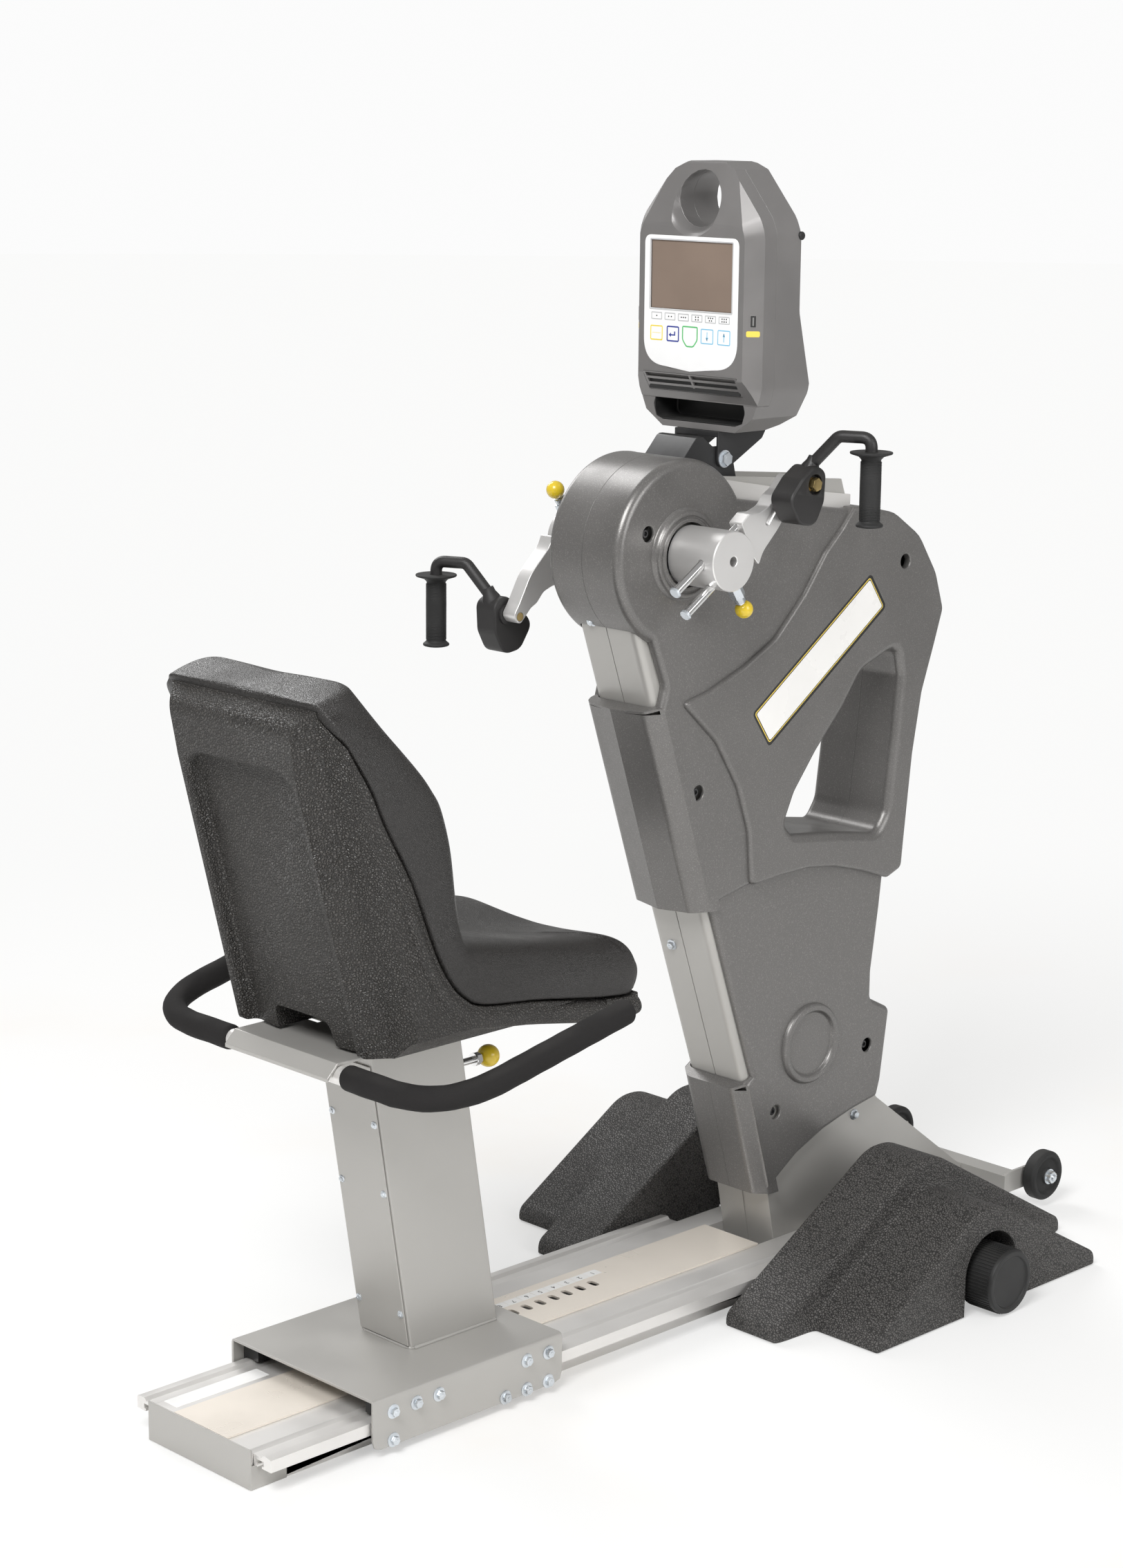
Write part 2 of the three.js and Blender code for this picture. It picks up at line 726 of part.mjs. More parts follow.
function foot() {
  const across = [-FOOT_HALF_WIDTH, FOOT_HALF_WIDTH];
  const outline = footOutline();
  const whole = sidePrism(shapeOf(outline), across);
  const inner = [FOOT_WALL - FOOT_HALF_WIDTH, FOOT_HALF_WIDTH - FOOT_WALL];
  const hollow = sidePrism(shapeOf(inset(outline, FOOT_WALL)), inner);
  const [rear, ahead] = [FOOT_SHARES[1], FOOT_SHARES[2]].map(towerPoint);
  const mouth = block(
    inner,
    [rear[0] + FOOT_WALL, ahead[0]],
    [0, rear[1] + 2 * FOOT_WALL],
  );
  const bore = rod(
    boreOf(BAR_RADIUS, GAP),
    [across[0] - OVERRUN, BAR_STATION, BAR_HEIGHT],
    [across[1] + OVERRUN, BAR_STATION, BAR_HEIGHT],
    ROUND_SIDES,
  );
  const [top, bottom] = [FOOT_SHARES[0], FOOT_SHARES[1]].map(towerPoint);
  const slope = (top[0] - bottom[0]) / (top[1] - bottom[1]);
  const seamOutline = rectangle(
    [-SEAM_WIDTH, SEAM_WIDTH],
    [bottom[0] - OVERRUN, bottom[0] + SEAM_DEPTH],
  );
  const seam = leaningPrism(shapeOf(seamOutline), [bottom[1], top[1]], slope);
  return cut(whole, hollow, mouth, bore, seam);
}

// Shells: each pair is made whole, hollowed, and halved at the seam

const COWL_EDGE_X = 56;
const COWL_FRONT_RUN = 11;
const COWL_SIDE_RUN = 42;

// What the cowl's chamfered front leaves of the blunt outline, moved back by a wall for the hollow
function cowlCutter(wall) {
  const [high, low] = [UPPER_SHARES[4], UPPER_SHARES[5]].map(towerPoint);
  const slope = (high[0] - low[0]) / (high[1] - low[1]);
  const front = low[0] + wall;
  const outer = SHELL_HALF_WIDTH + OVERRUN;
  const side = [
    [0, front],
    [COWL_EDGE_X - wall, front + COWL_FRONT_RUN],
    [SHELL_HALF_WIDTH - wall, front + COWL_SIDE_RUN],
    [outer, front + COWL_SIDE_RUN],
    [outer, front - COWL_SIDE_RUN],
  ];
  const outline = roundedPoints([...side, ...side.slice(1).toReversed().map(([x, y]) => [-x, y])]);
  return leaningPrism(shapeOf(outline), [low[1], high[1] + 2 * OVERRUN], slope);
}

const SCREW_RECESS_RADIUS = 11;
const SCREW_RECESS_DEPTH = 9;
const UPPER_SCREW_SHARES = [
  [-0.128, 0.922],
  [0.066, 0.62],
];
const PLAIN_HOLE_SHARES = [0.832, 0.851];
const LOWER_SCREW_SHARES = [
  [0.395, 0.207],
  [0.76, 0.256],
];
const RING_SHARES = [0.524, 0.281];
const RING_RADIUS = 62;
const RING_INNER = 48;
const RING_PROUD = 4;
const LOWER_HALF_WIDTH = SHELL_HALF_WIDTH - SHELL_WALL - SIDE_GAP;

const BADGE_SHARES = [0.502, 0.7505];
const BADGE_LENGTH = 312;
const BADGE_WIDTH = 66;
const BADGE_CORNER = 8;
const BADGE_DEPTH = 2.5;
const BADGE_ANGLE = (35 * Math.PI) / 180;

function screwRecesses(shares, half) {
  return shares.map(towerPoint).flatMap(([y, z]) =>
    [-1, 1].map((side) =>
      rod(
        SCREW_RECESS_RADIUS,
        [side * (half - SCREW_RECESS_DEPTH), y, z],
        [side * (half + OVERRUN), y, z],
      ),
    ),
  );
}

function badgeRecesses(half) {
  const [y, z] = towerPoint(BADGE_SHARES);
  const outline = rectangle(
    [-BADGE_LENGTH / 2, BADGE_LENGTH / 2],
    [-BADGE_WIDTH / 2, BADGE_WIDTH / 2],
    BADGE_CORNER,
  ).map((point) => point.rotateAround(new THREE.Vector2(), BADGE_ANGLE).add(new THREE.Vector2(y, z)));
  const shape = shapeOf(outline);
  return [
    sidePrism(shape, [half - BADGE_DEPTH, half + OVERRUN]),
    sidePrism(shape, [-half - OVERRUN, BADGE_DEPTH - half]),
  ];
}

// The half of a whole shell on the right, without the seam's gap
function rightHalf(whole) {
  const far = STANCE_HALF_WIDTH;
  const [y0, y1] = [HEAD_STATION - TOWER_LENGTH, HEAD_STATION + 2 * TOWER_LENGTH];
  return common(whole, block([GAP / 2, far], [y0, y1], [0, 2 * TOWER_HEIGHT]));
}

function upperWhole() {
  const half = SHELL_HALF_WIDTH;
  const bandHalf = half + BAND_STEP;
  const upper = towerOutline(UPPER_SHARES);
  const windowOutline = towerOutline(WINDOW_SHARES);
  const across = [-half, half];
  const hubEnds = [-half - COLLAR_PROUD, half + COLLAR_PROUD];
  const body = join(
    cut(sidePrism(shapeOf(upper), across, SHELL_EDGE), cowlCutter(0)),
    sidePrism(shapeOf(circle(AXIS, HEAD_RADIUS, 2 * ROUND_SIDES)), across, HEAD_EDGE),
    sidePrism(shapeOf(towerOutline(BAND_SHARES)), [-bandHalf, bandHalf], BAND_EDGE),
    sidePrism(shapeOf(circle(AXIS, COLLAR_RADIUS)), hubEnds, COLLAR_EDGE),
  );
  const inner = [SHELL_WALL - half, half - SHELL_WALL];
  const hollowShape = shapeOf(inset(towerOutline(UPPER_SHARES, HIDDEN_TURN), SHELL_WALL), [
    inset(towerOutline(WINDOW_SHARES, HIDDEN_TURN), -SHELL_WALL),
  ]);
  const hollow = cut(sidePrism(hollowShape, inner), cowlCutter(SHELL_WALL));
  const headHollow = sidePrism(
    shapeOf(circle(AXIS, HEAD_RADIUS - 2 * SHELL_WALL)),
    [2 * SHELL_WALL - half, half - 2 * SHELL_WALL],
  );
  const through = [-bandHalf - OVERRUN, bandHalf + OVERRUN];
  const deckHalf = DECK_HALF_WIDTH + GAP;
  const lowerHalf = LOWER_HALF_WIDTH + SIDE_GAP / 2;
  const [plainY, plainZ] = towerPoint(PLAIN_HOLE_SHARES);
  return cut(
    body,
    hollow,
    headHollow,
    sidePrism(shapeOf(windowOutline), through),
    columnSpace(),
    sidePrism(shapeOf(deckLayer(-DECK_DEPTH, HEAD_RADIUS / 2, GAP)), [-deckHalf, deckHalf]),
    sidePrism(shapeOf(inset(towerOutline(LOWER_SHARES), -SIDE_GAP)), [-lowerHalf, lowerHalf]),
    sidePrism(shapeOf(circle(AXIS, boreOf(HUB_RADIUS, HUB_CLEARANCE))), through),
    rod(SCREW_RECESS_RADIUS, [through[0], plainY, plainZ], [through[1], plainY, plainZ]),
    ...screwRecesses(UPPER_SCREW_SHARES, half),
    ...badgeRecesses(bandHalf),
  );
}

function lowerWhole() {
  const half = LOWER_HALF_WIDTH;
  const outline = towerOutline(LOWER_SHARES);
  const ring = towerPoint(RING_SHARES);
  const proud = half + RING_PROUD;
  const body = join(
    sidePrism(shapeOf(outline), [-half, half], SHELL_EDGE - BAND_EDGE / 2),
    sidePrism(shapeOf(circle(ring, RING_RADIUS)), [-proud, proud], RING_PROUD / 2),
  );
  const inner = [SHELL_WALL - half, half - SHELL_WALL];
  const hollowOutline = inset(towerOutline(LOWER_SHARES, HIDDEN_TURN), SHELL_WALL);
  const hollow = sidePrism(shapeOf(hollowOutline), inner);
  const top = 2 * SHELL_WALL + outline.reduce((high, point) => Math.max(high, point.y), 0);
  const mouthLow = top - 6 * SHELL_WALL;
  const mouth = block(
    inner,
    [columnFront(mouthLow) + 2 * SHELL_EDGE, columnFront(mouthLow) + 2 * COLUMN_DEPTH],
    [mouthLow, top],
  );
  const ringHollow = circle(ring, RING_INNER);
  const footSpace = inset(footOutline(), -SHELL_CLEARANCE);
  const footHalf = FOOT_HALF_WIDTH + SHELL_CLEARANCE;
  return cut(
    body,
    hollow,
    mouth,
    columnSpace(),
    sidePrism(shapeOf(footSpace), [-footHalf, footHalf]),
    sidePrism(shapeOf(ringHollow), [half, proud + OVERRUN]),
    sidePrism(shapeOf(ringHollow), [-proud - OVERRUN, -half]),
    ...screwRecesses(LOWER_SCREW_SHARES, half),
  );
}

// Cranks

const HUB_RADIUS = 42;
const HUB_CLEARANCE = 4;
const HUB_SPACE = 2;
const HUB_START = SHELL_HALF_WIDTH + COLLAR_PROUD + HUB_SPACE;
const HUB_END = 163;
const HUB_EDGE = 1.5;
const HUB_HOLE_RADIUS = 7;
const SHAFT_END = 118;
const GUIDE_X = 140;
const GUIDE_ANGLE = (33 * Math.PI) / 180;
const GUIDE_RADIUS = 6.5;
const GUIDE_SPREAD = 19.5;
const GUIDE_REACH = 94;
const GUIDE_ROOT = 66;
const GUIDE_HEAD_RADIUS = 9;
const GUIDE_HEAD_LENGTH = 5;
const ARM_THICKNESS = 25;
const ARM_EDGE = 2;
const ARM_BASE_RADIUS = 46;
const PIVOT_RADIUS = 6;
const BEARING_LENGTH = 11;
const PULLEY_FLANGE = 4;
const PULLEY_BORE_PLAY = GAP;
const ROTOR_PULLEY_RADIUS = 28;
const FLYWHEEL_RADIUS = 85;
const FLYWHEEL_START = 14;
const FLYWHEEL_THICKNESS = 24;
const ROTOR_AXLE_END = 58;

// Crank arm outline: shares of its length from the axis, forwards and up, the last value a radius
const ARM_SHARES = [
  [0.16, 0.3, 0.02],
  [0.3, 0.02],
  [0.392, -0.075, 0.02],
  [0.44, 0.035, 0.3],
  [0.66, 0.246, 0.4],
  [0.8, 0.5, 0.3],
  [0.868, 0.6, 0.062],
  [0.79, 0.69, 0.062],
  [0.655, 0.55, 0.1],
  [0.58, 0.51, 0.06],
  [0.5, 0.42, 0.1],
  [0.38, 0.375, 0.15],
  [0.262, 0.38, 0.03],
];
const PIVOT_SHARES = [0.787, 0.612];
const ARM_GROOVE_SHARES = [
  [0.46, 0.25],
  [0.6, 0.42],
];
const ARM_GROOVE_RADIUS = 5;
const ARM_GROOVE_DEPTH = 3;

const AXIS_Y = AXIS[0];
const AXIS_Z = AXIS[1];
const pivot = PIVOT_SHARES.map((share) => share * ARM_LENGTH);

// Unit directions in the plane of the cranks: along the guide rods to the arm, and along the plunger
const guideAlong = [Math.cos(GUIDE_ANGLE), Math.sin(GUIDE_ANGLE)];
const plungerAlong = [Math.sin(GUIDE_ANGLE), -Math.cos(GUIDE_ANGLE)];

// A point at x that lies so far along the guides and so far along the plunger from the axis
function guidePoint(x, along, beside) {
  return [
    x,
    guideAlong[0] * along + plungerAlong[0] * beside,
    guideAlong[1] * along + plungerAlong[1] * beside,
  ];
}

function hub() {
  const outline = [
    [0, HUB_START],
    [HUB_RADIUS - HUB_EDGE, HUB_START],
    [HUB_RADIUS, HUB_START + HUB_EDGE],
    [HUB_RADIUS, HUB_END - HUB_EDGE],
    [HUB_RADIUS - HUB_EDGE, HUB_END],
    [0, HUB_END],
  ];
  const reach = HUB_RADIUS + OVERRUN;
  const guides = [-1, 1].map((side) =>
    rod(
      boreOf(GUIDE_RADIUS, RUNNING_GAP, SMALL_SIDES),
      guidePoint(GUIDE_X, -reach, side * GUIDE_SPREAD),
      guidePoint(GUIDE_X, reach, side * GUIDE_SPREAD),
    ),
  );
  const plungerBore = rod(
    boreOf(PLUNGER_RADIUS, RUNNING_GAP, SMALL_SIDES),
    guidePoint(GUIDE_X, 0, PLUNGER_ROOT - GAP),
    guidePoint(GUIDE_X, 0, reach),
  );
  return cut(
    turnedAcross(outline),
    rod(boreOf(SHAFT_RADIUS, GAP), [0, 0, 0], [SHAFT_END + GAP, 0, 0], ROUND_SIDES),
    rod(HUB_HOLE_RADIUS, [SHAFT_END, 0, 0], [HUB_END + OVERRUN, 0, 0]),
    ...guides,
    plungerBore,
  );
}

function armPoint([forward, up, radius = 0]) {
  return [forward * ARM_LENGTH, up * ARM_LENGTH, radius * ARM_LENGTH];
}

function crankArm() {
  const across = [GUIDE_X - ARM_THICKNESS / 2, GUIDE_X + ARM_THICKNESS / 2];
  const plate = sidePrism(shapeOf(roundedPoints(ARM_SHARES.map(armPoint))), across, ARM_EDGE);
  const round = rod(
    ARM_BASE_RADIUS,
    [across[0] - OVERRUN, 0, 0],
    [across[1] + OVERRUN, 0, 0],
    ROUND_SIDES,
  );
  const bolt = rod(
    boreOf(PIVOT_RADIUS, GAP, SMALL_SIDES),
    [across[0] - OVERRUN, ...pivot],
    [across[1] + OVERRUN, ...pivot],
  );
  const [grooveStart, grooveEnd] = ARM_GROOVE_SHARES.map(armPoint);
  const groove = rod(
    ARM_GROOVE_RADIUS,
    [across[1] + ARM_GROOVE_RADIUS - ARM_GROOVE_DEPTH, ...grooveStart.slice(0, 2)],
    [across[1] + ARM_GROOVE_RADIUS - ARM_GROOVE_DEPTH, ...grooveEnd.slice(0, 2)],
  );
  const rods = [-1, 1].flatMap((side) => {
    const beside = side * GUIDE_SPREAD;
    return [
      rod(GUIDE_RADIUS, guidePoint(GUIDE_X, -GUIDE_REACH, beside), guidePoint(GUIDE_X, GUIDE_ROOT, beside)),
      rod(
        GUIDE_HEAD_RADIUS,
        guidePoint(GUIDE_X, -GUIDE_REACH - GUIDE_HEAD_LENGTH, beside),
        guidePoint(GUIDE_X, -GUIDE_REACH + GAP, beside),
      ),
    ];
  });
  return join(cut(plate, round, bolt, groove), ...rods);
}

// Plunger: it locks the arm's slide, and its ball is pulled to free the arm
const PLUNGER_RADIUS = 6;
const PLUNGER_ROOT = 27;
const PLUNGER_NUT_PROUD = 5;
const PLUNGER_NUT_START = HUB_RADIUS + PLUNGER_NUT_PROUD;
const PLUNGER_NUT_RADIUS = 11;
const PLUNGER_NUT_LENGTH = 28;
const PLUNGER_BALL_RADIUS = 13;
const PLUNGER_BALL_REACH = 88;
const HEX_SIDES = 6;

function plunger() {
  return join(
    rod(
      PLUNGER_RADIUS,
      guidePoint(GUIDE_X, 0, PLUNGER_ROOT),
      guidePoint(GUIDE_X, 0, PLUNGER_BALL_REACH),
    ),
    rod(
      PLUNGER_NUT_RADIUS,
      guidePoint(GUIDE_X, 0, PLUNGER_NUT_START),
      guidePoint(GUIDE_X, 0, PLUNGER_NUT_START + PLUNGER_NUT_LENGTH),
      HEX_SIDES,
    ),
    ball(PLUNGER_BALL_RADIUS, guidePoint(GUIDE_X, 0, PLUNGER_BALL_REACH)),
  );
}

// Handle: a pear-shaped block that swings on the pivot bolt, with a bent rod to the grip
const BLOCK_START = 157;
const BLOCK_THICKNESS = 40;
const BLOCK_LENGTH = 84;
const BLOCK_EDGE = 3;
const SPACER_RADIUS = 14;
const BOLT_RECESS_RADIUS = 14;
const BOLT_RECESS_DEPTH = 8;
const BOLT_HEAD_RADIUS = 10;
const BOLT_HEAD_LENGTH = 12;
const HANDLE_ROD_RADIUS = 8.5;
const HANDLE_BEND = 13;
const GRIP_X = 265;
const GRIP_Y = 36;
const HANDLE_APEX = 68;
const GRIP_TOP = 49;
const GRIP_BOTTOM = -56;
const GRIP_RADIUS = 14;
const GUARD_RADIUS = 30;
const GUARD_THICKNESS = 3;
const GRIP_FLANGE_RADIUS = 19;
const GRIP_FLANGE_THICKNESS = 5;
const GRIP_END_WALL = 7;

const BLOCK_SHARES = [
  [0.0, 0.33, 0.2],
  [0.27, 0.2, 0.22],
  [0.24, -0.3, 0.3],
  [0.03, -0.7, 0.26],
  [-0.36, -0.64, 0.26],
  [-0.64, -0.22, 0.22],
  [-0.32, 0.12, 0.2],
];

function handle() {
  const across = [BLOCK_START, BLOCK_START + BLOCK_THICKNESS];
  const outline = roundedPoints(
    BLOCK_SHARES.map(([y, z, radius]) => [y * BLOCK_LENGTH, z * BLOCK_LENGTH, radius * BLOCK_LENGTH]),
    STEP_TURN / 2,
  );
  const middle = (across[0] + across[1]) / 2;
  const halfway = (middle + GRIP_X) / 2;
  const path = bentPath(
    [
      [middle, 0, 0],
      [middle, GRIP_Y / 4, HANDLE_APEX / 3],
      [halfway, GRIP_Y / 2, HANDLE_APEX],
      [GRIP_X, GRIP_Y, HANDLE_APEX],
      [GRIP_X, GRIP_Y, GRIP_BOTTOM + GRIP_END_WALL],
    ],
    HANDLE_BEND,
  );
  const body = join(
    sidePrism(shapeOf(outline), across, BLOCK_EDGE),
    rod(SPACER_RADIUS, [GUIDE_X + ARM_THICKNESS / 2 + SIDE_GAP, 0, 0], [middle, 0, 0]),
    tube(path, HANDLE_ROD_RADIUS),
  );
  return cut(
    body,
    rod(boreOf(PIVOT_RADIUS, RUNNING_GAP, SMALL_SIDES), [GUIDE_X, 0, 0], [across[1] + OVERRUN, 0, 0]),
    rod(BOLT_RECESS_RADIUS, [across[1] - BOLT_RECESS_DEPTH, 0, 0], [across[1] + OVERRUN, 0, 0]),
  );
}

function pivotBolt() {
  const headStart = BLOCK_START + BLOCK_THICKNESS - BOLT_RECESS_DEPTH + GAP;
  return join(
    rod(PIVOT_RADIUS, [GUIDE_X - ARM_THICKNESS / 2, 0, 0], [headStart + GAP, 0, 0]),
    rod(BOLT_HEAD_RADIUS, [headStart, 0, 0], [headStart + BOLT_HEAD_LENGTH, 0, 0], HEX_SIDES),
  );
}

function grip() {
  const bore = boreOf(HANDLE_ROD_RADIUS, RUNNING_GAP, 2 * TUBE_SIDES);
  const profile = [
    [0, GRIP_BOTTOM],
    [GRIP_FLANGE_RADIUS, GRIP_BOTTOM],
    [GRIP_FLANGE_RADIUS, GRIP_BOTTOM + GRIP_FLANGE_THICKNESS],
    [GRIP_RADIUS, GRIP_BOTTOM + 2 * GRIP_FLANGE_THICKNESS],
    [GRIP_RADIUS, GRIP_TOP - 3 * GUARD_THICKNESS],
    [GUARD_RADIUS, GRIP_TOP - GUARD_THICKNESS],
    [GUARD_RADIUS, GRIP_TOP],
    [bore, GRIP_TOP],
    [bore, GRIP_BOTTOM + GRIP_END_WALL - GAP],
    [0, GRIP_BOTTOM + GRIP_END_WALL - GAP],
  ];
  return turned(profile, 2 * TUBE_SIDES).translate(GRIP_X, GRIP_Y, 0);
}

// Everything that one crank carries beyond its hub, about the crank axis, for the right side
function crankSide(side) {
  const placed = (geometry) => geometry.translate(0, ...pivot);
  const handleGroup = groupOf(
    meshOf(`handle_${side}`, placed(handle()), "blackSteel"),
    meshOf(`pivot_bolt_${side}`, placed(pivotBolt()), "brassBolt"),
    meshOf(`grip_${side}`, placed(grip()), "rubber"),
  );
  return groupOf(
    meshOf(`hub_${side}`, hub(), "aluminium"),
    meshOf(`crank_arm_${side}`, crankArm(), "aluminium"),
    meshOf(`plunger_${side}`, plunger(), "chrome"),
    handleGroup,
  );
}

function grooved(radius, half, bore) {
  return [
    [bore, -half - PULLEY_FLANGE / 2],
    [radius + PULLEY_FLANGE, -half - PULLEY_FLANGE / 2],
    [radius + PULLEY_FLANGE, -half - GAP],
    [radius, -half - GAP],
    [radius, half + GAP],
    [radius + PULLEY_FLANGE, half + GAP],
    [radius + PULLEY_FLANGE, half + PULLEY_FLANGE / 2],
    [bore, half + PULLEY_FLANGE / 2],
    [bore, -half - PULLEY_FLANGE / 2],
  ];
}

function crankPulley() {
  return turnedAcross(grooved(CRANK_PULLEY_RADIUS, BELT_HALF_WIDTH, boreOf(SHAFT_RADIUS, PULLEY_BORE_PLAY)));
}

// Brake rotor: a flywheel and its small pulley on one axle
function brakeRotor() {
  const half = BELT_HALF_WIDTH;
  const profile = [
    [0, -ROTOR_AXLE_END],
    [ROTOR_AXLE_RADIUS, -ROTOR_AXLE_END],
    [ROTOR_AXLE_RADIUS, -half - PULLEY_FLANGE / 2],
    [ROTOR_PULLEY_RADIUS + PULLEY_FLANGE, -half - PULLEY_FLANGE / 2],
    [ROTOR_PULLEY_RADIUS + PULLEY_FLANGE, -half - GAP],
    [ROTOR_PULLEY_RADIUS, -half - GAP],
    [ROTOR_PULLEY_RADIUS, FLYWHEEL_START],
    [FLYWHEEL_RADIUS, FLYWHEEL_START],
    [FLYWHEEL_RADIUS, FLYWHEEL_START + FLYWHEEL_THICKNESS],
    [ROTOR_AXLE_RADIUS, FLYWHEEL_START + FLYWHEEL_THICKNESS],
    [ROTOR_AXLE_RADIUS, ROTOR_AXLE_END],
    [0, ROTOR_AXLE_END],
  ];
  return turnedAcross(profile);
}

// Belt: a closed band round both pulleys, on their outer tangents
function driveBelt() {
  const [dy, dz] = [ROTOR_CENTRE[0] - AXIS_Y, ROTOR_CENTRE[1] - AXIS_Z];
  const distance = Math.hypot(dy, dz);
  const heading = Math.atan2(dz, dy);
  const wrap = (extra) => {
    const large = CRANK_PULLEY_RADIUS + extra;
    const small = ROTOR_PULLEY_RADIUS + extra;
    const tangent = Math.acos((large - small) / distance);
    const arc = (centre, radius, from, to) =>
      Array.from({ length: ROUND_SIDES + 1 }, (_, i) => {
        const angle = heading + from + ((to - from) * i) / ROUND_SIDES;
        return new THREE.Vector2(
          centre[0] + radius * Math.cos(angle),
          centre[1] + radius * Math.sin(angle),
        );
      });
    return [
      ...arc(AXIS, large, tangent, 2 * Math.PI - tangent),
      ...arc(ROTOR_CENTRE, small, -tangent, tangent),
    ];
  };
  const play = SIDE_GAP;
  return sidePrism(shapeOf(wrap(play + BELT_THICKNESS), [wrap(play)]), [-BELT_HALF_WIDTH, BELT_HALF_WIDTH]);
}

function bearing() {
  const bore = boreOf(SHAFT_RADIUS);
  const start = HEAD_PLATE_OUTER + GAP;
  return sidePrism(shapeOf(circle(AXIS, BEARING_RADIUS), [circle(AXIS, bore)]), [
    start,
    start + BEARING_LENGTH,
  ]);
}

function crankShaft() {
  return rod(SHAFT_RADIUS, [-SHAFT_END, ...AXIS], [SHAFT_END, ...AXIS], ROUND_SIDES);
}

// The left crank is the right one turned half round the axis and mirrored, its handle turned back upright
function crankGroups() {
  const right = crankSide("right");
  right.position.set(0, AXIS_Y, AXIS_Z);
  const hubLeft = meshOf("hub_left", hub(), "aluminium");
  const armLeft = meshOf("crank_arm_left", crankArm(), "aluminium");
  const plungerLeft = meshOf("plunger_left", plunger(), "chrome");
  const turnedHalf = groupOf(hubLeft, armLeft, plungerLeft);
  turnedHalf.scale.x = -1;
  turnedHalf.rotation.x = Math.PI;
  const handleLeft = groupOf(
    meshOf("handle_left", handle(), "blackSteel"),
    meshOf("pivot_bolt_left", pivotBolt(), "brassBolt"),
    meshOf("grip_left", grip(), "rubber"),
  );
  handleLeft.rotation.z = Math.PI;
  handleLeft.position.set(0, -pivot[0], -pivot[1]);
  const left = groupOf(turnedHalf, handleLeft);
  left.position.set(0, AXIS_Y, AXIS_Z);
  return groupOf(left, right);
}

function towerGroup() {
  return groupOf(
    meshOf("column", column(), "paintedSteel"),
    meshOf("foot", foot(), "paintedSteel"),
    meshOf("top_deck", topDeck(), "paintedSteel"),
    ...pairOf("upper_shell", rightHalf(upperWhole()), "shell"),
    ...pairOf("lower_shell", rightHalf(lowerWhole()), "shell"),
    ...pairOf("bearing", bearing(), "castIron"),
    meshOf("crank_shaft", crankShaft(), "chrome"),
    meshOf("crank_pulley", crankPulley().translate(0, ...AXIS), "castIron"),
    meshOf("brake_rotor", brakeRotor().translate(0, ...ROTOR_CENTRE), "castIron"),
    meshOf("drive_belt", driveBelt(), "rubber"),
    crankGroups(),
  );
}

// Stance: the bar through the foot, its end caps, the ramps over it, and the transport wheels

const WHEEL_SHARE = 1.3636364;
const WHEEL_STATION = HEAD_STATION + WHEEL_SHARE * TOWER_LENGTH;
const CAP_RADIUS = 50;
const CAP_LENGTH = 62;
const CAP_EDGE = 4;
const RAMP_INNER_X = 150;
const RAMP_STEP_X = 255;
const RAMP_OUTER_X = 372;
const RAMP_EDGE = 6;
const ARCH_RADIUS = 60;
const ARCH_CENTRE = 58;

// Side outlines of the ramp's two steps: distances from the bar as shares of the ramp's length, then height
const RAMP_LENGTH_SHARE = 1.1835664;
const RAMP_LENGTH = RAMP_LENGTH_SHARE * TOWER_LENGTH;
const RAMP_HEIGHT = 205;
const RAMP_INNER_SHARES = [
  [-0.502, 0],
  [-0.502, 0.1, 0.015],
  [-0.045, 0.98, 0.06],
  [0.03, 0.98, 0.06],
  [0.498, 0.1, 0.015],
  [0.498, 0],
];
const RAMP_OUTER_SHARES = [
  [-0.384, 0],
  [-0.384, 0.1, 0.015],
  [-0.05, 0.77, 0.05],
  [0.02, 0.77, 0.05],
  [0.381, 0.1, 0.015],
  [0.381, 0],
];

function rampOutline(shares) {
  return roundedPoints(
    shares.map(([along, up, radius = 0]) => [
      BAR_STATION + along * RAMP_LENGTH,
      up * RAMP_HEIGHT,
      radius * RAMP_LENGTH,
    ]),
  );
}

function rampRight() {
  const body = join(
    sidePrism(shapeOf(rampOutline(RAMP_INNER_SHARES)), [RAMP_INNER_X, RAMP_STEP_X], RAMP_EDGE),
    sidePrism(
      shapeOf(rampOutline(RAMP_OUTER_SHARES)),
      [RAMP_STEP_X - 3 * RAMP_EDGE, RAMP_OUTER_X],
      RAMP_EDGE,
    ),
  );
  const arch = join(
    rod(
      ARCH_RADIUS,
      [RAMP_STEP_X, BAR_STATION, ARCH_CENTRE],
      [RAMP_OUTER_X + OVERRUN, BAR_STATION, ARCH_CENTRE],
      ROUND_SIDES,
    ),
    block(
      [RAMP_STEP_X, RAMP_OUTER_X + OVERRUN],
      [BAR_STATION - ARCH_RADIUS, BAR_STATION + ARCH_RADIUS],
      [-OVERRUN, ARCH_CENTRE],
    ),
  );
  const slotRadius = boreOf(BAR_RADIUS, GAP);
  const slot = join(
    rod(
      slotRadius,
      [RAMP_INNER_X - OVERRUN, BAR_STATION, BAR_HEIGHT],
      [RAMP_STEP_X + OVERRUN, BAR_STATION, BAR_HEIGHT],
      ROUND_SIDES,
    ),
    block(
      [RAMP_INNER_X - OVERRUN, RAMP_STEP_X + OVERRUN],
      [BAR_STATION - slotRadius, BAR_STATION + slotRadius],
      [-OVERRUN, BAR_HEIGHT],
    ),
  );
  const cleared = cut(body, arch, slot);
  const far = 2 * TOWER_LENGTH;
  return common(cleared, block([0, STANCE_HALF_WIDTH], [0, BAR_STATION + far], [0, TOWER_HEIGHT]));
}

